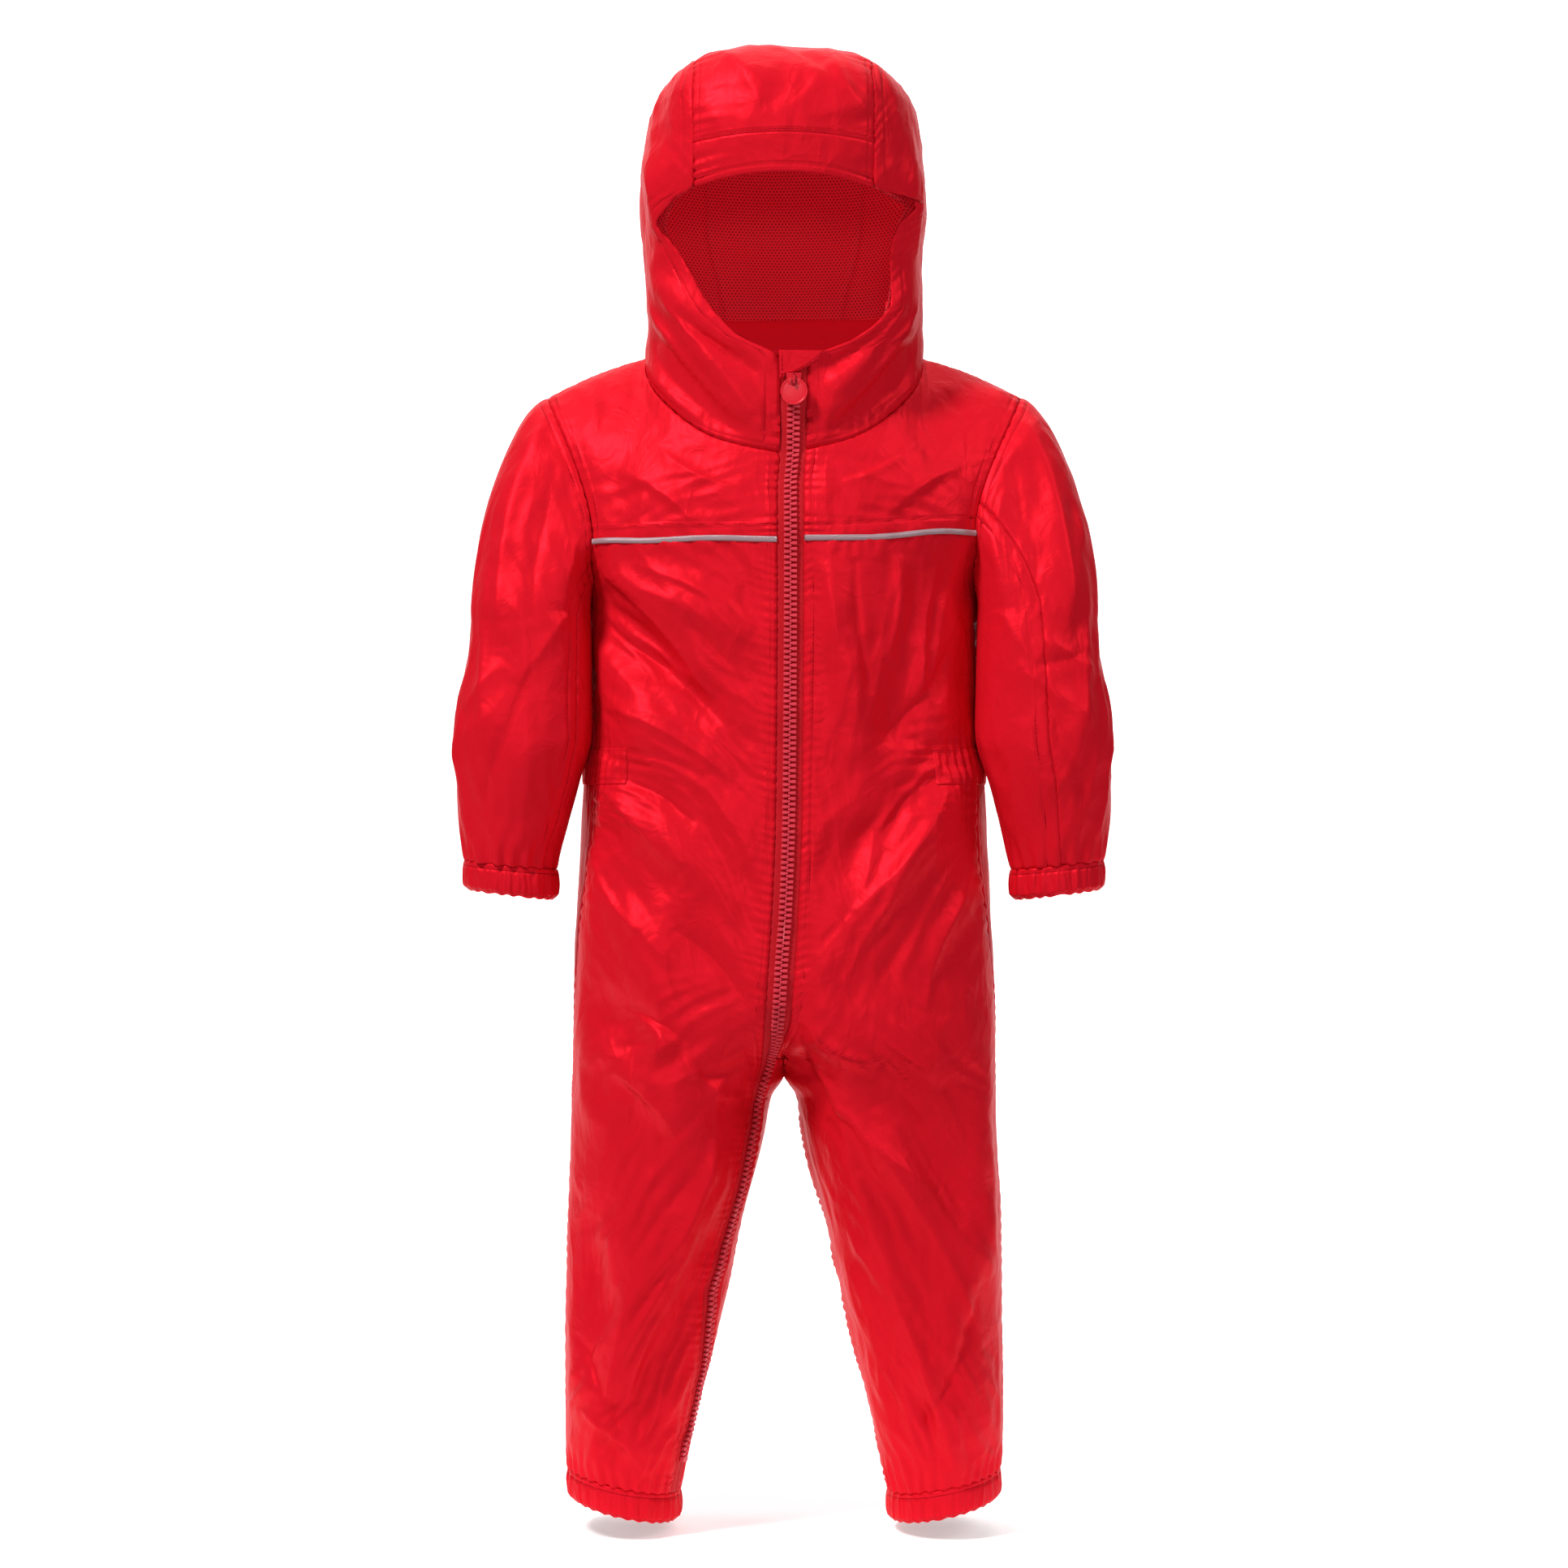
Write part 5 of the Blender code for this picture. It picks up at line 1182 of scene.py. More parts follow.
def sleeve_ring(around, height):
    """Point of a level ring of the left sleeve below the armpit."""
    angle = TURN * around
    x = SLEEVE.at("across", height) - SLEEVE.at("half_width", height) * np.cos(angle)
    y = SLEEVE.at("middle", height) - SLEEVE.at("half_depth", height) * np.sin(angle)
    tilt = CUFF_TILT * np.clip((CUFF_TILT_START - height) / CUFF_TILT_RUN, 0.0, 1.0)
    return np.stack([x, y, height - tilt * np.cos(angle)], axis=-1)


# How strongly the sleeve's head runs out of the armhole and down the arm: at the armpit, and more on top.
SHOULDER_PULL = (10 * MM, 66 * MM)
ARM_PULL = (14 * MM, 112 * MM)
SLEEVE_WAVE = 2.2 * MM


def sleeve(around, along):
    """Plain outer surface of the left sleeve: along is 0 at the armhole and 1 at the cuff."""
    wrapped = np.mod(around, 1.0)
    over = 0.5 - 0.5 * np.cos(TURN * wrapped)
    across = np.sin(TURN * wrapped)
    start = armhole(wrapped)
    end = sleeve_ring(wrapped, np.full_like(wrapped, SLEEVE_HEAD))
    reach = SHOULDER_PULL[0] + SHOULDER_PULL[1] * over
    away = np.stack([(0.45 + 0.5 * over) * reach, -0.3 * across * reach, (-0.9 + 0.62 * over) * reach], -1)
    down = np.zeros_like(start)
    down[..., 2] = -(ARM_PULL[0] + ARM_PULL[1] * over)
    share = np.clip(along / HEAD_SHARE, 0.0, 1.0)[..., None]
    head = hermite(start, end, away, down, share)
    fall = np.clip((along - HEAD_SHARE) / (1 - HEAD_SHARE), 0.0, 1.0)
    lower = sleeve_ring(wrapped, SLEEVE_HEAD + (CUFF_SEAM - SLEEVE_HEAD) * fall)
    point = np.where((along > HEAD_SHARE)[..., None], lower, head)
    fold = SLEEVE_WAVE * np.sin(np.pi * np.clip((along - 0.3) / 0.65, 0.0, 1.0)) * over
    wave = np.sin(TURN * (2.5 * along + 1.5 * wrapped))
    push = np.stack([-np.cos(TURN * wrapped), -np.sin(TURN * wrapped), 0 * wrapped], -1)
    return point + push * (fold * wave)[..., None]


# Creases on each sleeve: where they start and end round it (0.25 front, 0.5 outside) and down it.
SLEEVE_CREASES = Table("start_around start_along end_around end_along reach height side", [
    (0.42, 0.02, 0.30, 0.46, 4.5, 1.8, 0),
    (0.34, 0.05, 0.22, 0.40, 4, -1.6, 0),
    (0.24, 0.06, 0.14, 0.34, 4, 1.5, 0),
    (0.50, 0.06, 0.44, 0.50, 5, 1.5, 0),
    (0.40, 0.30, 0.30, 0.80, 4, 1.4, 0),
    (0.20, 0.42, 0.34, 0.88, 4, -1.3, 0),
    (0.46, 0.52, 0.38, 0.94, 4, 1.3, 0),
    (0.12, 0.34, 0.26, 0.56, 4, 1.4, 0),
    (0.24, 0.44, 0.40, 0.54, 4, 1.8, 1),
    (0.20, 0.52, 0.38, 0.48, 4, -1.6, 1),
    (0.18, 0.50, 0.36, 0.66, 4, 1.5, 1),
    (0.30, 0.50, 0.40, 0.62, 4, 1.2, -1),
    (0.62, 0.10, 0.56, 0.55, 5, 1.5, 0),
    (0.74, 0.08, 0.70, 0.48, 5, -1.4, 0),
    (0.86, 0.10, 0.78, 0.60, 4, 1.4, 0),
    (0.66, 0.50, 0.76, 0.90, 4, 1.4, 0),
], plain=("start_around", "start_along", "end_around", "end_along", "side"))
SLEEVE_GIRTH = 240 * MM
SLEEVE_LENGTH = 290 * MM
SLEEVE_CREASE_GROWTH = 2.6
SLEEVE_CREASE_SPREAD = 1.6
DRAWN_WAVE, DRAWN_HEIGHT = np.array([15, 15, 55]) * MM, 2.4 * MM
WRIST_GATHERS, WRIST_GATHER = 18, 1.2 * MM
ELBOW_FLATTENING = 3.5 * MM


def sleeve_relief(points, around, along, side):
    """Creases, rumples and wrist gathers of a sleeve, quiet on its outside and along the armhole."""
    wrapped = np.mod(around, 1.0)
    total = np.zeros(points.shape[:-1])
    u, v = wrapped * SLEEVE_GIRTH, along * SLEEVE_LENGTH
    for start_u, start_v, end_u, end_v, reach, height, only in SLEEVE_CREASES.rows:
        if only and only != side:
            continue
        from_u, from_v = start_u * SLEEVE_GIRTH, start_v * SLEEVE_LENGTH
        run_u, run_v = end_u * SLEEVE_GIRTH - from_u, end_v * SLEEVE_LENGTH - from_v
        share = np.clip(((u - from_u) * run_u + (v - from_v) * run_v) / (run_u ** 2 + run_v ** 2), 0.0, 1.0)
        gone = np.hypot(u - from_u - share * run_u, v - from_v - share * run_v)
        soft = np.sqrt(gone ** 2 + CREASE_SOFTNESS ** 2) - CREASE_SOFTNESS
        fade = np.exp(-soft / (reach * SLEEVE_CREASE_SPREAD))
        total += SLEEVE_CREASE_GROWTH * height * np.sin(np.pi * share) ** 0.7 * fade
    total += crumpled(RUMPLE, points / DRAWN_WAVE + 5 * side, 0.35, DRAWN_HEIGHT)
    total += rumples(points + 0.3 * side)
    gathered = smooth(along, 0.90, 0.995)
    wander = UNEVEN(np.stack([wrapped * 9, along * 8, 0 * along + side], -1))
    total += WRIST_GATHER * gathered * np.sin(wrapped * WRIST_GATHERS * TURN + 2.6 * wander)
    inward = 0.5 + 0.5 * np.cos(TURN * wrapped)
    crowded = inward * np.exp(-((along - 0.42) / 0.35) ** 2)
    total *= QUIET_SIDES + (1 - QUIET_SIDES) * smooth(np.abs(np.sin(TURN * wrapped)), 0.1, 0.55)
    total -= ELBOW_FLATTENING * np.exp(-((along - 0.58) / 0.14) ** 2 - ((wrapped - 0.5) / 0.16) ** 2)
    return total * (1 - 0.6 * crowded) * smooth(along, 0.0, 0.065)


SLEEVE_COLUMNS, SLEEVE_ROWS = 133, 157


def build_sleeves():
    """Sleeves from the armholes to the cuffs, each with one underarm seam."""
    edges = {"first": SEAM_PUCKER, "last": SEAM_PUCKER, "bottom": SEAM_PUCKER, "top": PLAIN_SEAM}
    for side, node in ((RIGHT, "sleeve_right"), (LEFT, "sleeve_left")):
        around = SLEEVE_SEAM[side] + np.linspace(0.0, 1.0, SLEEVE_COLUMNS)
        around, along = np.meshgrid(around, np.linspace(0.0, 1.0, SLEEVE_ROWS), indexing="ij")
        normals = -normals_of(sleeve, around, np.clip(along, 0.012, 0.99), 0.01, 0.01)
        points = sleeve(around, along)
        relief = sleeve_relief(points, around, along, side) + seam_relief(points, edges)
        flip = np.array([side, 1.0, 1.0])
        points, normals = climbed(points * flip), normals * flip
        if side == LEFT:
            points, normals, relief = points[::-1], normals[::-1], relief[::-1]
        cloth_sheet(node + "_cloth", node, "sleeve", points, normals, relief, CLOTH)


# ---------------------------------------------------------------- elastic cuffs, hems and waist


CASING_WALL = 1.8 * MM
CASING_COLUMNS, CASING_ROWS = 241, 25
CASING_SWELL, CASING_TURN_IN = 1.0 * MM, 2.2 * MM
CASING_RIPPLE, CASING_FINE_RIPPLE = 0.65 * MM, 0.3 * MM
CUFF_GATHERS, CUFF_WIDE, CUFF_DEEP = 19, 28.0 * MM, 29.4 * MM
HEM_GATHERS, HEM_DEEP, HEM_BACK = 27, 42.3 * MM, 1.5 * MM
WAIST_START, WAIST_END = 0.246, 0.9985


def gathered_tube(node, kind, centre, half_width, half_depth, ends, waves, tilt, seed):
    """An elastic casing: gathers pinched at the seam, full in the middle and turned under at the bottom."""
    top, bottom = ends
    turns, profile = np.linspace(0.0, TURN, CASING_COLUMNS), np.linspace(0.0, 1.0, CASING_ROWS)
    turn, down = np.meshgrid(turns, profile, indexing="ij")
    wander = UNEVEN(np.stack([np.cos(turn) * 2.2, np.sin(turn) * 2.2, 0 * turn + seed], -1))
    weight = UNEVEN(np.stack([np.cos(turn) * 3.1, np.sin(turn) * 3.1, down * 1.2 + seed + 4], -1))
    wave = np.sin(turn * waves + 2.2 * wander)
    full = np.sin(np.pi * np.clip(down, 0.0, 1.0)) ** 0.6
    swell = CASING_SWELL * full - CASING_TURN_IN * smooth(down, 0.82, 1.0) ** 2
    ripple = CASING_RIPPLE * power(wave, 0.8) * (0.7 + 0.9 * weight) * (0.5 + 0.5 * full)
    fine = CASING_FINE_RIPPLE * np.sin(turn * waves * 2.3 + 4.0 * weight) * full
    grow = swell + ripple + fine
    x = centre[0] + (half_width + grow) * np.cos(turn)
    y = centre[1] + (half_depth + grow) * np.sin(turn)
    z = top + (bottom - top) * down + tilt * np.cos(turn) + 0.5 * MM * wave * smooth(down, 0.7, 1.0)
    points = np.stack([x, y, z], axis=-1)
    out = np.stack([np.cos(turn), np.sin(turn), 0 * turn], axis=-1)
    cloth_sheet(node + "_cloth", node, kind, points[:, ::-1], out[:, ::-1], np.zeros_like(turn), CLOTH,
                wall=CASING_WALL)


def build_cuffs():
    """Gathered casings round the wrists."""
    for side, node in ((RIGHT, "cuff_right"), (LEFT, "cuff_left")):
        centre = (side * SLEEVE.at("across", CUFF_SEAM), SLEEVE.at("middle", CUFF_SEAM))
        gathered_tube(node, "cuff", centre, CUFF_WIDE, CUFF_DEEP, (CUFF_SEAM, CUFF_BOTTOM), CUFF_GATHERS,
                      side * CUFF_TILT, seed=2.0 + side)


def build_ankle_hems():
    """Gathered casings round the ankles."""
    half_width = (BODY.at("half_width", HEM_SEAM) - BODY.at("gap", HEM_SEAM)) / 2
    across = BODY.at("half_width", HEM_SEAM) - half_width
    for side, node in ((RIGHT, "ankle_hem_right"), (LEFT, "ankle_hem_left")):
        centre = (side * across, BODY.at("middle", HEM_SEAM) + HEM_BACK)
        gathered_tube(node, "ankle_hem", centre, half_width - 0.2 * MM, HEM_DEEP, (HEM_SEAM, HEM_BOTTOM),
                      HEM_GATHERS, side * HEM_TILT, seed=7.0 + side)


def build_waist():
    """Gathered channel over each back, ending just in front of the side seam."""
    heights = rows_between(WAIST_BOTTOM + 0.5 * MM, WAIST_TOP - 0.5 * MM, WAIST_CELL)
    for side, node in ((RIGHT, "waist_elastic_right"), (LEFT, "waist_elastic_left")):
        shares = side * np.linspace(WAIST_START, WAIST_END, 181)[::side]
        shares, levels = np.meshgrid(shares, heights, indexing="ij")
        points, normals = plain_body(shares, levels), body_normal(shares, levels)
        under = body_relief(points, normals, levels, shares)
        share_up = (levels - heights[0]) / (heights[-1] - heights[0])
        full = np.sin(np.pi * np.clip(share_up, 0.0, 1.0)) ** 0.5
        ends = smooth(np.abs(shares), WAIST_START, WAIST_START + 0.006)
        relief = under + (0.45 + 0.55 * full * ends) * MM + WAIST_GATHER * waist_wave(shares, levels) * full
        cloth_sheet(node + "_cloth", node, "waist_elastic", points, normals, relief, CLOTH)


# ---------------------------------------------------------------- hood


def ring_angle(across, height, shrink=1.0):
    """Degrees from the hood's widest line to a given half width on its ring."""
    share = np.clip(across / (shrink * HOOD.at("half_width", height)), 0.0, 1.0)
    return np.degrees(np.arccos(share ** (HOOD.at("squareness", height) / 2)))


def row_height(degrees, height, risen):
    """Height on a hood row that still follows the neck seam in part."""
    neck = NECK_SEAM.at("height", degrees)
    return neck + (height - neck) * risen


def hood_row_ends(side, height, shrink, risen):
    """Angles at which a row of a hood side starts, at the face, and ends, at the crown seam."""
    column = "right" if side == RIGHT else "left"
    if shrink < 1.0:
        angle = float(ring_angle(CROWN_SEAM, CROWN_START, shrink))
        return -angle, angle
    start, end = -80.0, 75.0
    for _ in range(12):
        start_height = float(row_height(start, height, risen))
        end_height = float(row_height(end, height, risen))
        half = CROWN_SEAM if start_height > PEAK_CORNER - 0.01 * MM else FACE.at(column, start_height)
        start = -float(ring_angle(half, start_height))
        end = float(ring_angle(CROWN_BACK.at("half_width", end_height), end_height))
    return start, end


def crown_shrinks(steps):
    """Sizes of the crown's rings where they cross the crown seam at even steps from front to top."""
    bend = float(HOOD.at("squareness", CROWN_START))
    edge = (CROWN_SEAM / float(HOOD.at("half_width", CROWN_START))) ** bend
    forward = 1 - np.arange(1, steps + 1) / steps
    return (edge + (1 - edge) * forward ** bend) ** (1 / bend)


def hood_side_grid(side, rows, columns, behind_face=0.0):
    """Points and normals of a hood side, from the face to the crown seam."""
    points, normals = [], []
    for height, shrink, risen in rows:
        start, end = hood_row_ends(side, height, shrink, risen)
        if height < PEAK_CORNER:
            start += behind_face
        degrees = np.linspace(start, end, columns + 1)

        def surface(angle, rise):
            if shrink < 1.0:
                return hood_ring(angle, np.full_like(angle, CROWN_START), shrink - rise * 8)
            return hood_ring(angle, row_height(angle, height, risen) + rise, np.ones_like(angle))

        zero = np.zeros_like(degrees)
        points.append(surface(degrees, zero))
        normals.append(normals_of(surface, degrees, zero, 0.5, 0.5 * MM))
    points, normals = np.stack(points, axis=1), np.stack(normals, axis=1)
    flip = np.array([side, 1.0, 1.0])
    return points * flip, normals * flip


NECK_ROWS, HOOD_ROWS, CROWN_ROWS, HOOD_COLUMNS = 31, 48, 16, 110
CROWN_COLUMNS, PEAK_ROWS, ABOVE_PEAK_ROWS, OVER_ROWS, DOWN_ROWS = 56, 17, 19, 111, 83
HOOD_WAVE, HOOD_HEIGHT = np.array([30, 18, 14]) * MM, 0.8 * MM
HOOD_DEEPEST = -3.2 * MM
PEAK_WALL = 1.6 * MM


def hood_rows():
    """Rows of a hood side: height, size of its ring, and how far it has risen from the neck seam."""
    rows = [(HOOD_LEVEL, 1.0, share) for share in np.linspace(0.0, 1.0, NECK_ROWS)]
    rows += [(height, 1.0, 1.0) for height in np.linspace(HOOD_LEVEL, CROWN_START, HOOD_ROWS)[1:]]
    rows += [(CROWN_START, shrink, 1.0) for shrink in crown_shrinks(CROWN_ROWS)]
    return rows


def hood_relief(points, normals):
    """Folds and crinkles of the hood's outer cloth."""
    forward = np.clip(-normals[..., 1] * 1.8, 0.0, 1.0)
    total = line_relief(points, HOOD_FOLDS, forward) + line_relief(points, HOOD_CREASES, forward)
    total += rumples(points + 0.7)
    bent = points + 6 * MM * SWAY(points / (40 * MM))[..., None]
    total += crumpled(CRINKLE, bent / HOOD_WAVE, 0.3, HOOD_HEIGHT, 0.1)
    return np.maximum(total, HOOD_DEEPEST)


def build_hood_sides():
    """Sides of the hood, from the face to the crown seams."""
    edges = {"first": FACE_PUCKER, "last": CROWN_PUCKER, "bottom": SEAM_PUCKER}
    for side, node in ((RIGHT, "hood_side_right"), (LEFT, "hood_side_left")):
        points, normals = hood_side_grid(side, hood_rows(), HOOD_COLUMNS)
        quiet = smooth(edge_distances(points)["bottom"], 0.0, 10 * MM)
        relief = beside_zip(points, points[..., 2], hood_relief(points, normals) * quiet, "first")
        relief = relief + seam_relief(points, edges)
        cloth_sheet(node + "_cloth", node, "hood_side", points, normals, relief, CLOTH,
                    turned_over=side == RIGHT)


def crown_point(across, along):
    """Centre panel of the hood: across from -1 to 1, along 0-1 up the front, 1-2 over, 2-3 down the back."""
    rising = np.clip(along, 0.0, 1.0)
    over = np.clip(along - 1.0, 0.0, 1.0) * 2 - 1
    falling = np.clip(along - 2.0, 0.0, 1.0)
    peak = PEAK_CENTRE - (PEAK_CENTRE - PEAK_CORNER) * across ** 2
    front_height = peak + (CROWN_START - peak) * rising
    back_height = CROWN_START + (CROWN_BOTTOM - CROWN_START) * falling
    half = np.where(along > 2, CROWN_BACK.at("half_width", back_height), CROWN_SEAM)
    half_across = np.abs(across) * half
    height = np.where(along < 1, front_height, np.where(along > 2, back_height, CROWN_START))
    bend = HOOD.at("squareness", height)
    wide = HOOD.at("half_width", height)
    depth_share = (1 - np.clip(half_across / wide, 0.0, 1.0) ** bend) ** (1 / bend)
    front = HOOD.at("front", height) * depth_share
    back = HOOD.at("back", height) * depth_share
    y = np.where(along < 1, -front, np.where(along > 2, back, np.where(over < 0, over * front, over * back)))
    reach = (np.clip(half_across / wide, 0, 1) ** bend + (np.abs(over) * depth_share) ** bend) ** (1 / bend)
    on_top = (along >= 1) & (along <= 2)
    rise = np.where(on_top, CROWN_RISE * (1 - np.clip(reach, 0, 1) ** CROWN_ROUNDNESS), 0.0)
    return leaned(np.stack([np.sign(across) * half_across, y, height + rise], axis=-1))


def crown_grid(alongs, columns):
    """Points and normals of the centre panel at the given places along it."""
    across = np.linspace(-1.0, 1.0, columns + 1)
    across, along = np.meshgrid(across, np.array(alongs), indexing="ij")
    points = crown_point(across, along)
    normals = normals_of(crown_point, np.clip(across, -0.98, 0.98), np.clip(along, 0.02, 2.98), 0.02, 0.02)
    return points, normals


def build_peak():
    """Turned band along the front of the centre panel."""
    points, normals = crown_grid(np.linspace(0.0, PEAK_SHARE, PEAK_ROWS), CROWN_COLUMNS)
    edges = {"first": CROWN_PUCKER, "last": CROWN_PUCKER}
    rise = np.linspace(0.4, 1.0, PEAK_ROWS)[None, :]
    relief = rise * hood_relief(points, normals) + seam_relief(points, edges)
    cloth_sheet("hood_peak_cloth", "hood_peak", "hood_peak", points, normals, relief, CLOTH, wall=PEAK_WALL)


def crown_rows(start, rows_up, rows_over, end, rows_down):
    """Places along the centre panel: up the front, over the top and down the back."""
    return np.concatenate([np.linspace(start, 1.0, rows_up), np.linspace(1.0, 2.0, rows_over)[1:],
                           np.linspace(2.0, end, rows_down)[1:]])


def build_hood_centre():
    """Centre panel of the hood behind its peak."""
    rows = crown_rows(PEAK_SHARE, ABOVE_PEAK_ROWS, OVER_ROWS, 3.0, DOWN_ROWS)
    points, normals = crown_grid(rows, CROWN_COLUMNS)
    edges = {"first": CROWN_PUCKER, "last": CROWN_PUCKER, "top": SEAM_PUCKER}
    relief = hood_relief(points, normals) + seam_relief(points, edges)
    cloth_sheet("hood_centre_cloth", "hood_centre", "hood_centre", points, normals, relief, CLOTH)


LINING_INSET = 4.6 * MM
FACING_INSET = LINING_INSET + 1.6 * MM
MESH_FINISH_WALL = 0.7 * MM
LINING_LOOSE_WAVE, LINING_LOOSE = 45 * MM, 2.0 * MM
LINING_WAVE, LINING_HEIGHT = np.array([40, 22, 26]) * MM, 2.2 * MM
LINING_BOTTOM = 15 * MM
BEHIND_FACE = 7.0


def lining_relief(points):
    """Loose, softly creased lining that stays clear of the hood outside it."""
    loose = SWAY(points / LINING_LOOSE_WAVE + 5) * LINING_LOOSE
    creased = crumpled(CRINKLE, points / LINING_WAVE, 0.3, LINING_HEIGHT, 0.08)
    return np.minimum(loose + creased - 0.6 * MM, 0.9 * MM)


def build_lining_sides():
    """Mesh inside the sides of the hood."""
    rows = [(height, 1.0, 1.0) for height in np.linspace(LINING_BOTTOM, CROWN_START, 47)]
    rows += [(CROWN_START, shrink, 1.0) for shrink in crown_shrinks(12)]
    for side, node in ((RIGHT, "lining_right"), (LEFT, "lining_left")):
        points, normals = hood_side_grid(side, rows, 60, BEHIND_FACE)
        relief = lining_relief(points) - LINING_INSET
        cloth_sheet(node + "_mesh", node, "lining_side", points, normals, relief, LINING,
                    wall=MESH_FINISH_WALL, turned_over=side == RIGHT)


def build_lining_centre():
    """Mesh inside the centre panel of the hood."""
    points, normals = crown_grid(crown_rows(0.5, 9, 51, 2.93, 41), 40)
    relief = lining_relief(points) - LINING_INSET
    cloth_sheet("lining_centre_mesh", "lining_centre", "lining_centre", points, normals, relief, LINING,
                wall=MESH_FINISH_WALL)


FACING_TOP = 27 * MM
FACING_END = -40
FACING_COLUMNS = 61


def build_facing():
    """Plain band inside the back of the neck, from one shoulder round to the other."""
    one_side = np.linspace(FACING_END, 90, FACING_COLUMNS)
    degrees = np.concatenate([one_side, np.linspace(90, FACING_END, FACING_COLUMNS)[1:]])
    sides = np.array([RIGHT] * FACING_COLUMNS + [LEFT] * (FACING_COLUMNS - 1))
    points, normals = [], []
    for level in np.linspace(0.0, 1.0, 13):
        low = NECK_SEAM.at("height", degrees) + 2 * MM
        height = low + (FACING_TOP - low) * level

        def surface(angle, rise):
            return hood_ring(angle, height + rise, np.ones_like(angle))

        flip = np.stack([sides, sides ** 2, sides ** 2], axis=-1)
        points.append(surface(degrees, 0.0) * flip)
        normals.append(normals_of(surface, degrees, 0.0, 0.5, 0.5 * MM) * flip)
    points, normals = np.stack(points, axis=1), np.stack(normals, axis=1)
    relief = lining_relief(points) - FACING_INSET
    cloth_sheet("neck_facing_cloth", "neck_facing", "neck_facing", points, normals, relief, FACING,
                turned_over=True)


# ---------------------------------------------------------------- zip


def hood_front(spot, heights):
    return hood_ring(spot, heights, np.ones_like(spot))


def front_line(offset, heights):
    """Points and normals down the front at an offset from the zip's middle."""
    heights = np.asarray(heights, dtype=float)
    below = heights <= NECK_FRONT
    level = np.minimum(heights, NECK_FRONT)
    shares = zip_share(level, offset)
    body_points, body_normals = plain_body(shares, level), body_normal(shares, level)
    raised = np.maximum(heights, NECK_FRONT)
    across = ZIP.at("across", raised) + offset
    flip = np.stack([np.where(across < 0, -1.0, 1.0), np.ones_like(across), np.ones_like(across)], axis=-1)
    spot = -ring_angle(np.abs(across), raised)
    hood_points = hood_front(spot, raised) * flip
    hood_normals = normals_of(hood_front, np.clip(spot, -86.0, None), raised, 2.0, 0.5 * MM) * flip
    points = np.where(below[:, None], body_points, hood_points)
    normals = np.where(below[:, None], body_normals, hood_normals)
    return points, normals


def zip_heights(bottom, top, cell=2.6 * MM):
    """Heights down the zip, closer together where it turns under the body."""
    return np.linspace(bottom, top, even((top - bottom) / cell) + 1)


def zip_relief(points, normals, heights):
    """How far the cloth's drape moves the zip's own line at each height."""
    below = draped(points, normals, heights)
    above = 0.6 * hood_relief(points, normals)
    off_neck_seam = 1 - np.exp(-((heights - NECK_FRONT) / (8 * MM)) ** 2)
    return np.where(heights < NECK_FRONT, below, above) * off_neck_seam


def zip_band(offsets, heights):
    """Points, normals and drape of a band along the zip; the drape is the same all across it."""
    lines = [front_line(offset, heights) for offset in offsets]
    points = np.stack([line[0] for line in lines])
    normals = np.stack([line[1] for line in lines])
    middle, facing = front_line(0.0, heights)
    shift = np.broadcast_to(zip_relief(middle, facing, heights)[None, :], points.shape[:2])
    return points, normals, shift


TAPE_LINES = np.array([0.3, 1.6, 3.4, 5.2, 6.8, 8.0, 9.0]) * MM
TAPE_EDGE, TAPE_DIVE = TAPE_LINES[-1], 6.5 * MM
TAPE_WALL = 0.6 * MM


def build_tapes():
    """Zip tapes, with their outer edges under the cloth."""
    heights = zip_heights(HEM_SEAM + 0.3 * MM, ZIP_TOP)
    for side, node in ((RIGHT, "zip_tape_right"), (LEFT, "zip_tape_left")):
        offsets = (TAPE_LINES * side)[::side]
        points, normals, shift = zip_band(offsets, heights)
        off_middle = np.abs(offsets)[:, None]
        relief = shift - 0.5 * MM - 0.9 * MM * smooth(off_middle, TAPE_DIVE, TAPE_EDGE)
        along = edge_distances(points)["bottom"]
        relief = relief + pucker(TAPE_EDGE - off_middle, along, ZIP_PUCKER[0], 3.5 * MM, 0.3 * MM, seed=1.0)
        cloth_sheet(node + "_cloth", node, "zip_tape", points, normals, relief, TAPE,
                    wall=TAPE_WALL)


TOOTH_PITCH = 3.3 * MM
TOOTH_SIZE = (2.7 * MM, 1.95 * MM, 2.0 * MM)
TOOTH_STEP = 0.9 * MM
TOOTH_NECK, TOOTH_HEAD = (1, 0.62, 0.8), (1, 1.45, 1.0)
TOOTH_EDGE = 0.28 * MM
TOOTH_OFFSET = 2.6 * MM
TOOTH_LIFT = 0.7 * MM


def pick_faces(piece, wanted):
    """Selects just the faces that the test accepts, and leaves the piece in edit mode."""
    bpy.ops.object.mode_set(mode="EDIT")
    bpy.ops.mesh.select_mode(type="FACE")
    bpy.ops.mesh.select_all(action="DESELECT")
    bpy.ops.object.mode_set(mode="OBJECT")
    for face in piece.data.polygons:
        face.select = wanted(face)
    bpy.ops.object.mode_set(mode="EDIT")


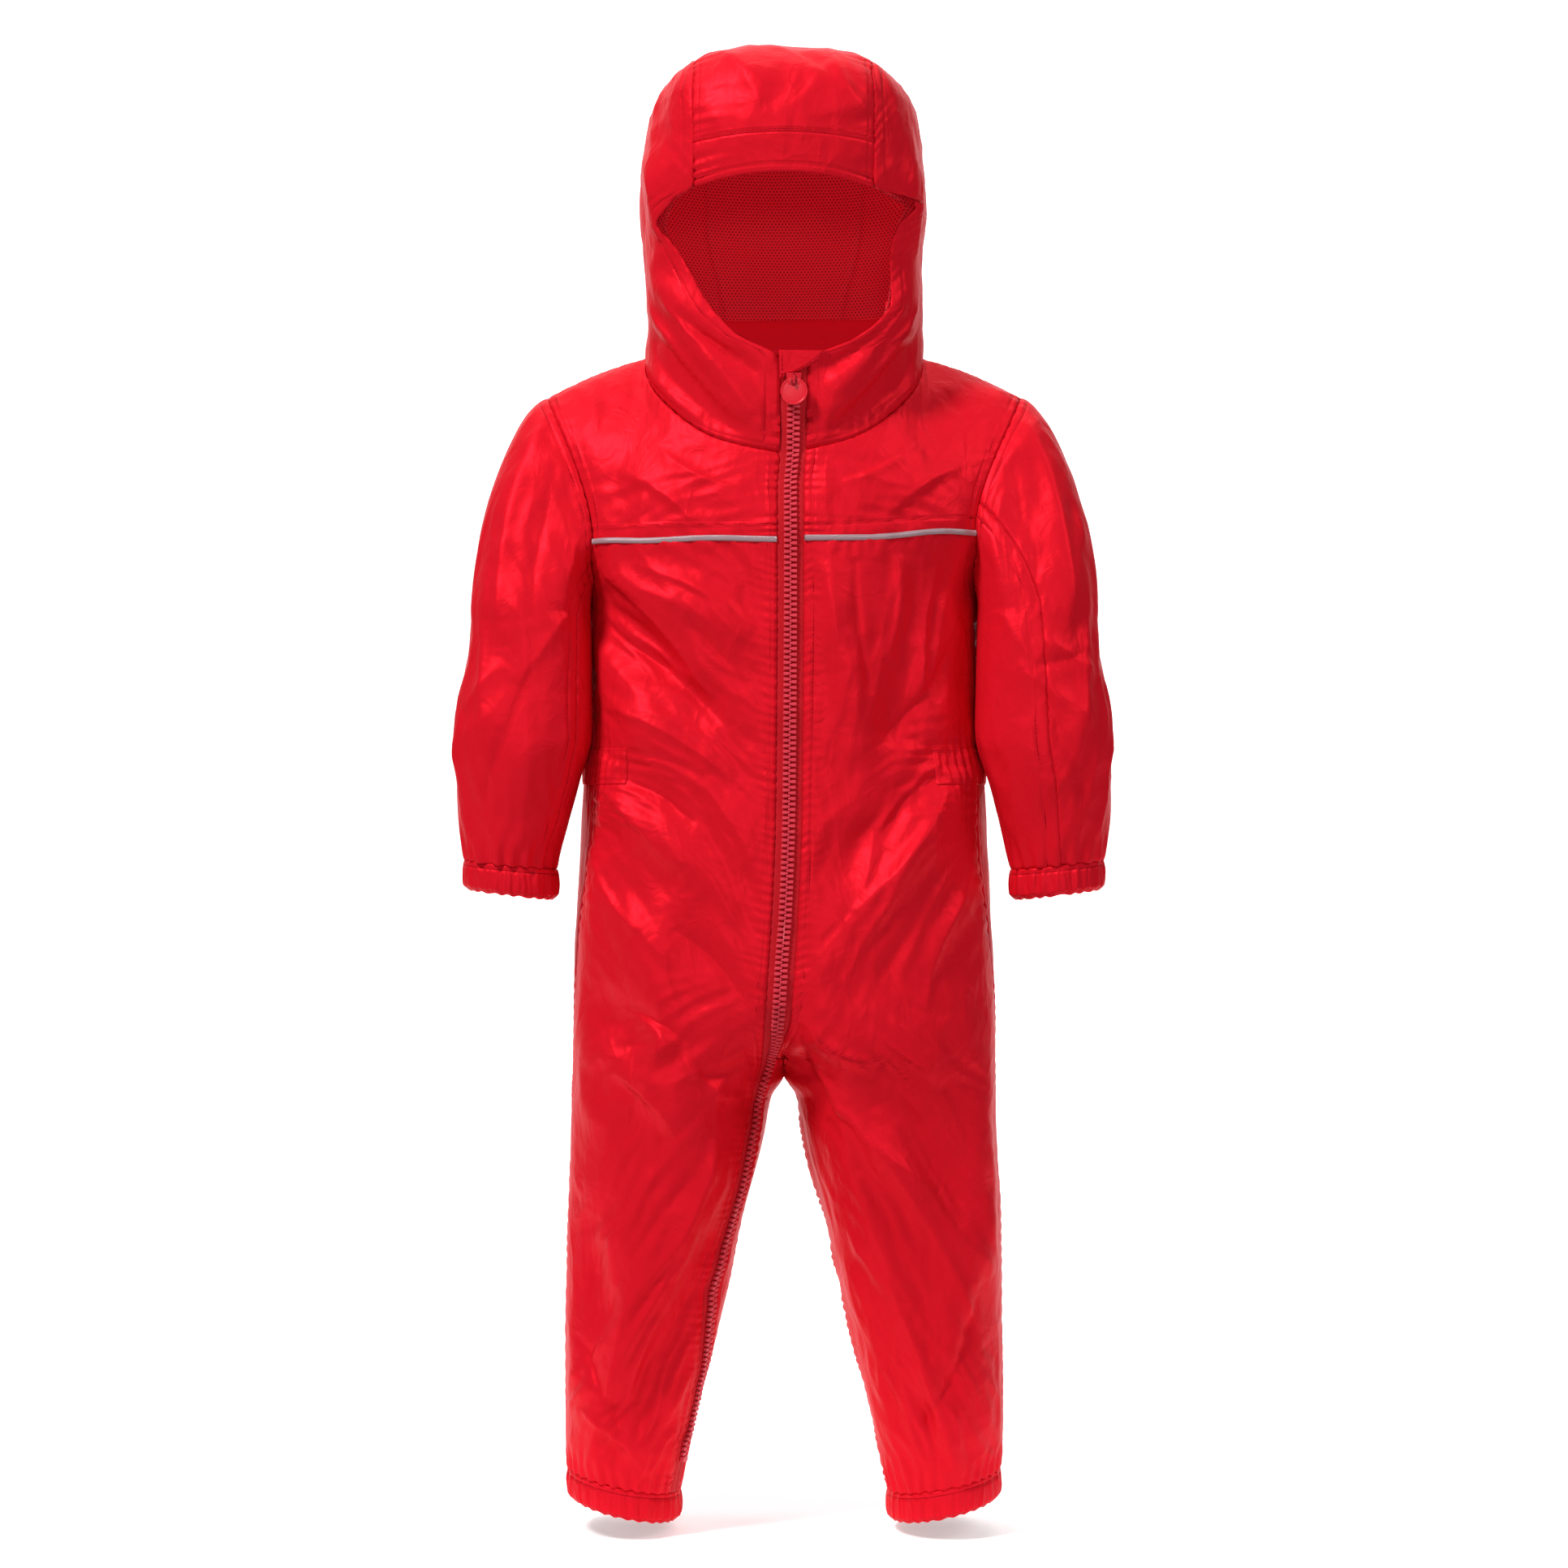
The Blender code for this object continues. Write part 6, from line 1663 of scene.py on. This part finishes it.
def tooth_template():
    """One moulded tooth, long side across the tape: a clip on the tape edge, a neck and a round head."""
    bpy.ops.object.select_all(action="DESELECT")
    bpy.ops.mesh.primitive_cube_add(size=1.0, location=(0, 0, 0))
    tooth = bpy.context.object
    tooth.scale = TOOTH_SIZE
    bpy.ops.object.transform_apply(scale=True)
    pick_faces(tooth, lambda face: face.normal.x < -0.9)
    for shape in (TOOTH_NECK, TOOTH_HEAD):
        bpy.ops.mesh.extrude_region_move(TRANSFORM_OT_translate={"value": (-TOOTH_STEP, 0, 0)})
        bpy.ops.transform.resize(value=shape)
    bpy.ops.mesh.select_all(action="SELECT")
    bpy.ops.mesh.normals_make_consistent(inside=False)
    bpy.ops.object.mode_set(mode="OBJECT")
    edge = tooth.modifiers.new("edge", "BEVEL")
    edge.width = TOOTH_EDGE
    edge.segments = 1
    edge.limit_method = "NONE"
    bpy.ops.object.modifier_apply(modifier="edge")
    bpy.ops.object.mode_set(mode="EDIT")
    bpy.ops.mesh.select_all(action="SELECT")
    bpy.ops.mesh.quads_convert_to_tris()
    bpy.ops.object.mode_set(mode="OBJECT")
    points = np.array([vert.co[:] for vert in tooth.data.vertices])
    faces = np.array([face.vertices[:] for face in tooth.data.polygons])
    bpy.data.objects.remove(tooth)
    return points, faces


def along_zip(bottom, top):
    """Evenly spaced places up the zip with their frames: point, across, up and out."""
    heights = zip_heights(bottom, top, 1.2 * MM)
    points, normals, shift = zip_band(np.array([-3.0, 0.0, 3.0]) * MM, heights)
    lifted = points + normals * shift[..., None]
    middle = lifted[1]
    steps = np.linalg.norm(np.diff(middle, axis=0), axis=-1)
    length = np.concatenate([[0.0], np.cumsum(steps)])
    count = int(length[-1] / (TOOTH_PITCH / 2))
    places = np.linspace(0.0, length[-1], count)

    def at(values):
        return np.stack([np.interp(places, length, values[:, k]) for k in range(3)], axis=-1)

    spots, across = at(middle), at(lifted[2] - lifted[0])
    up = np.gradient(spots, axis=0)
    up /= np.linalg.norm(up, axis=1, keepdims=True)
    across /= np.linalg.norm(across, axis=1, keepdims=True)
    out = np.cross(across, up)
    out /= np.linalg.norm(out, axis=1, keepdims=True)
    return spots, across, up, out


SLIDER_TOP = -18.5 * MM
SLIDER_BOTTOM = -31.0 * MM


def build_teeth():
    """The chain: one tooth after another, from each side in turn."""
    points, faces = tooth_template()
    spots, across, up, out = along_zip(ZIP_BOTTOM + 5 * MM, SLIDER_BOTTOM + 3 * MM)
    all_points, all_faces = [], []
    for k in range(len(spots)):
        side = 1 if k % 2 else -1
        local = points * np.array([side, 1.0, 1.0]) + np.array([side * TOOTH_OFFSET, 0, 0])
        placed = (spots[k] + local[:, :1] * across[k] + local[:, 1:2] * up[k]
                  + (local[:, 2:] + TOOTH_LIFT) * out[k])
        turned = faces if side > 0 else faces[:, ::-1]
        all_faces.append(turned + k * len(points))
        all_points.append(placed)
    mesh = bpy.data.meshes.new("zip_teeth")
    mesh.from_pydata(np.concatenate(all_points).tolist(), [], np.concatenate(all_faces).tolist())
    mesh.update()
    add_piece("zip_teeth", mesh, TEETH, ["zip_chain"])
    mesh.set_sharp_from_angle(angle=math.radians(35))


def rounded_box(name, size, centre, bevel, segments=3):
    """A box with rounded edges, made as a cube that is scaled and bevelled."""
    bpy.ops.object.select_all(action="DESELECT")
    bpy.ops.mesh.primitive_cube_add(size=1.0, location=centre)
    block = bpy.context.object
    block.name = name
    block.scale = size
    bpy.ops.object.transform_apply(location=True, rotation=True, scale=True)
    edge = block.modifiers.new("edge", "BEVEL")
    edge.width = bevel
    edge.segments = segments
    bpy.ops.object.modifier_apply(modifier="edge")
    return block


def join_objects(name, objects):
    """Several parts made one piece."""
    bpy.ops.object.select_all(action="DESELECT")
    for item in objects:
        item.select_set(True)
    bpy.context.view_layer.objects.active = objects[0]
    bpy.ops.object.join()
    objects[0].name = name
    return objects[0]


def finish_hard(piece, material, node, body="suit", angle=32):
    """Gives a hard piece its finish, its body and the solid it stands for."""
    piece.data.materials.clear()
    piece.data.materials.append(material)
    piece.data.shade_smooth()
    piece.data.set_sharp_from_angle(angle=math.radians(angle))
    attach(piece, body)
    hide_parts(node)


STOP_SIZE = (7.4 * MM, 2.6 * MM, 3.4 * MM)


def build_stop():
    """The moulded block that ends the chain, set square on the zip's lowest point."""
    spots, across, up, out = along_zip(ZIP_BOTTOM + 0.5 * MM, ZIP_BOTTOM + 4 * MM)
    middle = spots[0] + out[0] * 0.8 * MM + up[0] * 1.6 * MM
    stop = rounded_box("zip_stop_block", STOP_SIZE, (0, 0, 0), 0.5 * MM)
    coordinates = np.array([vert.co[:] for vert in stop.data.vertices])
    placed = (middle + coordinates[:, :1] * across[0] + coordinates[:, 2:] * up[0]
              - coordinates[:, 1:2] * out[0])
    for vert, place in zip(stop.data.vertices, placed):
        vert.co = place
    finish_hard(stop, TEETH, "zip_stop")


BAR_HEIGHT = -22.4 * MM
SLIDER_WIDE = 9.2 * MM
SLIDER_THICK = 4.0 * MM
SLIDER_SINK = 0.45 * MM
SLIDER_NARROWING = 0.26
FRONT_PLATE, BACK_PLATE, PLATE_EDGE = 1.3 * MM, 1.0 * MM, 0.45 * MM
NECK_WIDE, NECK_TALL = 3.2 * MM, 4.2 * MM
FLANGE_WIDE, FLANGE_TALL, FLANGE_OFFSET = 1.0 * MM, 7.6 * MM, 3.9 * MM
BRIDGE_WIDE = 1.5 * MM
ARCH_CLEAR = 3.2 * MM
ARCH_THICK = 1.1 * MM
ARCH_TOP = -19.2 * MM
ARCH_BOTTOM = -26.2 * MM
PULL_RADIUS = 8.1 * MM
PULL_CENTRE = -29.7 * MM
PULL_THICK = 1.7 * MM
PULL_RIM, PULL_SLOPE, PULL_HOLLOW = 0.9 * MM, 0.35 * MM, 0.3 * MM
PULL_SLOT = (3.0 * MM, 6 * MM, 3.55 * MM)
EAR_SIZE, EAR_OFFSET = (1.9 * MM, PULL_THICK, 4.6 * MM), 2.55 * MM
BAR_SIZE = (4.6 * MM, 1.5 * MM, 1.45 * MM)


def slider_seat():
    """Point of the cloth under the middle of the slider."""
    points, _ = front_line(0.0, [(SLIDER_TOP + SLIDER_BOTTOM) / 2])
    return points[0]


def slider_plates(x, front, back):
    """Front and back plate, narrower towards the bottom."""
    high, low = SLIDER_TOP, SLIDER_BOTTOM
    plates = []
    for near, far in ((front, front + FRONT_PLATE), (back - BACK_PLATE, back)):
        plate = rounded_box("plate", (SLIDER_WIDE, far - near, high - low),
                            (x, (near + far) / 2, (high + low) / 2), PLATE_EDGE)
        for vert in plate.data.vertices:
            narrow = 1 - SLIDER_NARROWING * float(smooth(np.array(high - vert.co.z), 4 * MM, high - low))
            vert.co.x = x + (vert.co.x - x) * narrow
        plates.append(plate)
    return plates


def slider_inside(x, front, back):
    """The neck that joins the plates at the top, and the flanges that close the sides."""
    middle = (front + back) / 2
    parts = [rounded_box("neck", (NECK_WIDE, SLIDER_THICK - 0.4 * MM, NECK_TALL),
                         (x, middle, SLIDER_TOP - 2.3 * MM), 0.5 * MM)]
    for side in (RIGHT, LEFT):
        parts.append(rounded_box("flange", (FLANGE_WIDE, SLIDER_THICK * 0.62, FLANGE_TALL),
                                 (x + side * FLANGE_OFFSET, middle - 0.4 * MM, SLIDER_BOTTOM + 5.2 * MM),
                                 0.3 * MM))
    return parts


def slider_bridge(x, front):
    """The bridge on two feet, which the pull's bar goes under."""
    crest = front - ARCH_CLEAR - ARCH_THICK
    parts = [rounded_box("bridge", (BRIDGE_WIDE, ARCH_THICK, ARCH_TOP - ARCH_BOTTOM),
                         (x, crest + ARCH_THICK / 2, (ARCH_TOP + ARCH_BOTTOM) / 2), 0.3 * MM)]
    for z in (ARCH_TOP - ARCH_THICK / 2, ARCH_BOTTOM + ARCH_THICK / 2):
        parts.append(rounded_box("foot", (BRIDGE_WIDE, front - crest + 0.8 * MM, ARCH_THICK),
                                 (x, (crest + front) / 2 + 0.4 * MM, z), 0.25 * MM))
    return parts


def build_slider():
    """Slider: plates, neck, flanges and bridge in one piece."""
    seat = slider_seat()
    back = seat[1] - SLIDER_SINK
    front = back - SLIDER_THICK
    parts = slider_plates(seat[0], front, back) + slider_inside(seat[0], front, back)
    slider = join_objects("zip_slider_body", parts + slider_bridge(seat[0], front))
    finish_hard(slider, SLIDER, "zip_slider")


def build_pull():
    """Round pull: a disc with a raised rim, two ears, and the bar between them above its slot."""
    seat = slider_seat()
    axis_y = seat[1] - SLIDER_SINK - SLIDER_THICK - ARCH_CLEAR / 2
    bpy.ops.object.select_all(action="DESELECT")
    bpy.ops.mesh.primitive_cylinder_add(vertices=96, radius=PULL_RADIUS, depth=PULL_THICK,
                                        location=(seat[0], axis_y, PULL_CENTRE), rotation=(math.pi / 2, 0, 0))
    disc = bpy.context.object
    bpy.ops.object.transform_apply(location=True, rotation=True, scale=True)
    for facing in (-1, 1):
        pick_faces(disc, lambda face: len(face.vertices) > 4 and face.normal.y * facing > 0.9)
        bpy.ops.mesh.inset(thickness=PULL_RIM, depth=0.0)
        bpy.ops.mesh.inset(thickness=PULL_SLOPE, depth=-PULL_HOLLOW)
        bpy.ops.object.mode_set(mode="OBJECT")
    edge = disc.modifiers.new("edge", "BEVEL")
    edge.width = 0.3 * MM
    edge.segments = 3
    edge.limit_method = "ANGLE"
    bpy.ops.object.modifier_apply(modifier="edge")
    slot = rounded_box("slot_cutter", PULL_SLOT, (seat[0], axis_y, BAR_HEIGHT - 2.5 * MM), 0.5 * MM)
    parts = [disc]
    for side in (RIGHT, LEFT):
        parts.append(rounded_box("ear", EAR_SIZE,
                                 (seat[0] + side * EAR_OFFSET, axis_y, BAR_HEIGHT - 1.2 * MM), 0.4 * MM))
    parts.append(rounded_box("bar", BAR_SIZE, (seat[0], axis_y, BAR_HEIGHT), 0.4 * MM))
    pull = join_objects("zip_pull_tab", parts)
    bpy.ops.object.select_all(action="DESELECT")
    bpy.context.view_layer.objects.active = pull
    cut = pull.modifiers.new("cut", "BOOLEAN")
    cut.operation = "DIFFERENCE"
    cut.solver = "EXACT"
    cut.use_self = True
    cut.object = slot
    bpy.ops.object.modifier_apply(modifier="cut")
    bpy.data.objects.remove(slot)
    finish_hard(pull, PULL, "zip_pull", body="pull_tab", angle=28)


GUARD_WALL = 1.3 * MM
GUARD_LIFT = 2.1 * MM
GUARD = Table("height left right", [
    (-22, -8.6, -6.4), (-18.4, -8.78, -5.4), (-17.6, -8.82, 2.4),
    (-14, -9.0, 9.0), (-10, -9.267, 14.5), (-5, -9.6, 19.8),
])


def build_chin_guard():
    """Small folded flap over the top of the zip, its lower edge running down to one side."""
    keys, lefts, rights = GUARD.rows.T
    heights = np.linspace(keys[0], keys[-1], 31)
    left, right = np.interp(heights, keys, lefts), np.interp(heights, keys, rights)
    lines = [front_line(left + (right - left) * share, heights) for share in np.linspace(0.0, 1.0, 41)]
    points, normals = (np.stack(part) for part in zip(*lines))
    distances = edge_distances(points)
    edge = np.minimum(distances["first"], distances["last"])
    relief = GUARD_LIFT + 0.5 * MM * smooth(edge, 0.0, 2 * MM) + 0.5 * rumples(points + 0.2)
    cloth_sheet("chin_guard_cloth", "chin_guard", "chin_guard", points, normals, relief, CLOTH,
                wall=GUARD_WALL)


PIPING_SIDES, PIPING_ROWS = 14, 121
PIPING_HALF, PIPING_OUT, PIPING_LIFT = 1.75 * MM, 0.9 * MM, 0.55 * MM


def tube_mesh(name, rings):
    """A closed tube: rings holds its lengthways lines, the last one the same as the first."""
    columns, rows = rings.shape[:2]
    index = np.arange((columns - 1) * rows).reshape(columns - 1, rows)
    near = np.roll(index, -1, axis=0)
    faces = np.stack([index[:, :-1], near[:, :-1], near[:, 1:], index[:, 1:]], -1).reshape(-1, 4).tolist()
    faces += [index[:, 0].tolist(), index[::-1, -1].tolist()]
    mesh = bpy.data.meshes.new(name)
    mesh.from_pydata(rings[:-1].reshape(-1, 3).tolist(), [], faces)
    mesh.update()
    return mesh


def build_piping():
    """Reflective cord proud of each yoke seam, a little uneven along its run."""
    step = np.arange(PIPING_ROWS)
    for side, node in ((RIGHT, "piping_right"), (LEFT, "piping_left")):
        start = float(zip_share(YOKE_SEAM, side * (ZIP_HALF + 0.2 * MM))[0])
        shares = np.linspace(start, side * (ARM_SHARE - 0.002), PIPING_ROWS)
        levels = np.full_like(shares, YOKE_SEAM)
        points, normals = plain_body(shares, levels), body_normal(shares, levels)
        lift = rumples(points) + 0.25 * MM * np.sin(step * 0.31) + PIPING_LIFT
        points = points + normals * lift[:, None]
        sway = 0.5 * MM * np.sin(step * 0.083 + side)
        rings = []
        for turn in np.linspace(0.0, TURN, PIPING_SIDES + 1):
            up = np.stack([0 * sway, 0 * sway, sway + PIPING_HALF * math.cos(turn)], axis=-1)
            rings.append(points + normals * (PIPING_OUT * math.sin(turn)) + up)
        add_piece(node + "_cord", tube_mesh(node, np.stack(rings)), PIPING, [node])


# ---------------------------------------------------------------- floor, light and camera


FLOOR = -0.722
WALL, FLOOR_FRONT, BEND_RADIUS, WALL_TOP, HALF_WIDE = 1.6, -3.4, 0.8, 3.2, 4.0
WHITE, BLACK = (1.0, 1.0, 1.0, 1.0), (0.0, 0.0, 0.0, 1.0)
PALE, PALE_SPECKLE, GREY = (0.93, 0.93, 0.93, 1.0), (0.90, 0.90, 0.90, 1.0), (0.45, 0.45, 0.45, 1.0)


def floor_finish():
    """Pale floor and wall, lit up behind the suit and grey elsewhere."""
    graph = Graph("floor_finish")
    place = graph.place()
    x, y, _ = graph.axes(place)
    behind = (1.0 - y.below(-0.2, 0.18)) * abs(x).below(1.1, 0.4)
    speckle = graph.noise(place, scale=6.0)
    pale = graph.mix(speckle * 0.1, PALE, PALE_SPECKLE)
    return graph.surface(Base_Color=graph.mix(behind, GREY, pale), Roughness=0.9,
                         Emission_Color=graph.mix(behind, BLACK, WHITE), Emission_Strength=0.42)


def build_stage():
    """Floor that bends up into a wall behind."""
    profile = [(FLOOR_FRONT, FLOOR), (WALL - BEND_RADIUS, FLOOR)]
    for turn in np.linspace(0.0, math.pi / 2, 17)[1:]:
        profile.append((WALL - BEND_RADIUS + BEND_RADIUS * math.sin(turn),
                        FLOOR + BEND_RADIUS * (1 - math.cos(turn))))
    profile.append((WALL, WALL_TOP))
    points = [(x, y, z) for y, z in profile for x in (-HALF_WIDE, HALF_WIDE)]
    faces = [(2 * k, 2 * k + 1, 2 * k + 3, 2 * k + 2) for k in range(len(profile) - 1)]
    mesh = bpy.data.meshes.new("backdrop")
    mesh.from_pydata(points, [], faces)
    mesh.materials.append(floor_finish())
    mesh.shade_smooth()
    backdrop = bpy.data.objects.new("backdrop", mesh)
    bpy.context.scene.collection.objects.link(backdrop)


def add_light(name, place, target, width, height, watts):
    """A soft rectangular light that looks at its target."""
    light = bpy.data.lights.new(name, "AREA")
    light.shape = "RECTANGLE"
    light.size = width
    light.size_y = height
    light.energy = watts
    lamp = bpy.data.objects.new(name, light)
    bpy.context.scene.collection.objects.link(lamp)
    lamp.location = place
    lamp.rotation_euler = (Vector(target) - Vector(place)).to_track_quat("-Z", "Y").to_euler()


SUIT_MIDDLE, FACE_MIDDLE = (0.0, 0.0, -0.26), (0.0, 0.0, 0.02)
SKY_STRENGTH = 0.12


def build_light():
    """Soft key from the upper left, weaker side and front lights, and a lit wall."""
    add_light("key", (-1.2, -1.3, 1.6), SUIT_MIDDLE, width=0.4, height=0.6, watts=58)
    add_light("side", (1.5, -0.9, 1.0), SUIT_MIDDLE, width=0.5, height=0.9, watts=11)
    add_light("front", (0.1, -2.4, 0.1), FACE_MIDDLE, width=0.3, height=0.3, watts=7)
    add_light("wall_wash", (0.0, 0.6, 1.6), (0.0, WALL, 0.0), width=2.6, height=0.6, watts=22)
    world = bpy.data.worlds.new("studio")
    bpy.context.scene.world = world
    world.use_nodes = True
    sky = world.node_tree.nodes["Background"]
    sky.inputs["Color"].default_value = WHITE
    sky.inputs["Strength"].default_value = SKY_STRENGTH
    bpy.context.scene.view_settings.view_transform = "Standard"


CAMERA_PLACE = (0.0, -2.2, -0.263)
CAMERA_LENS, CAMERA_SENSOR = 82.0, 36.0


def build_camera():
    """Level camera in front of the suit's middle."""
    lens = bpy.data.cameras.new("camera")
    lens.lens = CAMERA_LENS
    lens.sensor_width = CAMERA_SENSOR
    camera = bpy.data.objects.new("camera", lens)
    camera.location = CAMERA_PLACE
    camera.rotation_euler = (math.pi / 2, 0.0, 0.0)
    bpy.context.scene.collection.objects.link(camera)
    bpy.context.scene.camera = camera


build_fronts()
build_leg_inset()
build_backs()
build_yokes()
build_sleeves()
build_cuffs()
build_ankle_hems()
build_waist()
build_hood_sides()
build_peak()
build_hood_centre()
build_lining_sides()
build_lining_centre()
build_facing()
build_tapes()
build_teeth()
build_stop()
build_slider()
build_pull()
build_chin_guard()
build_piping()
build_stage()
build_light()
build_camera()
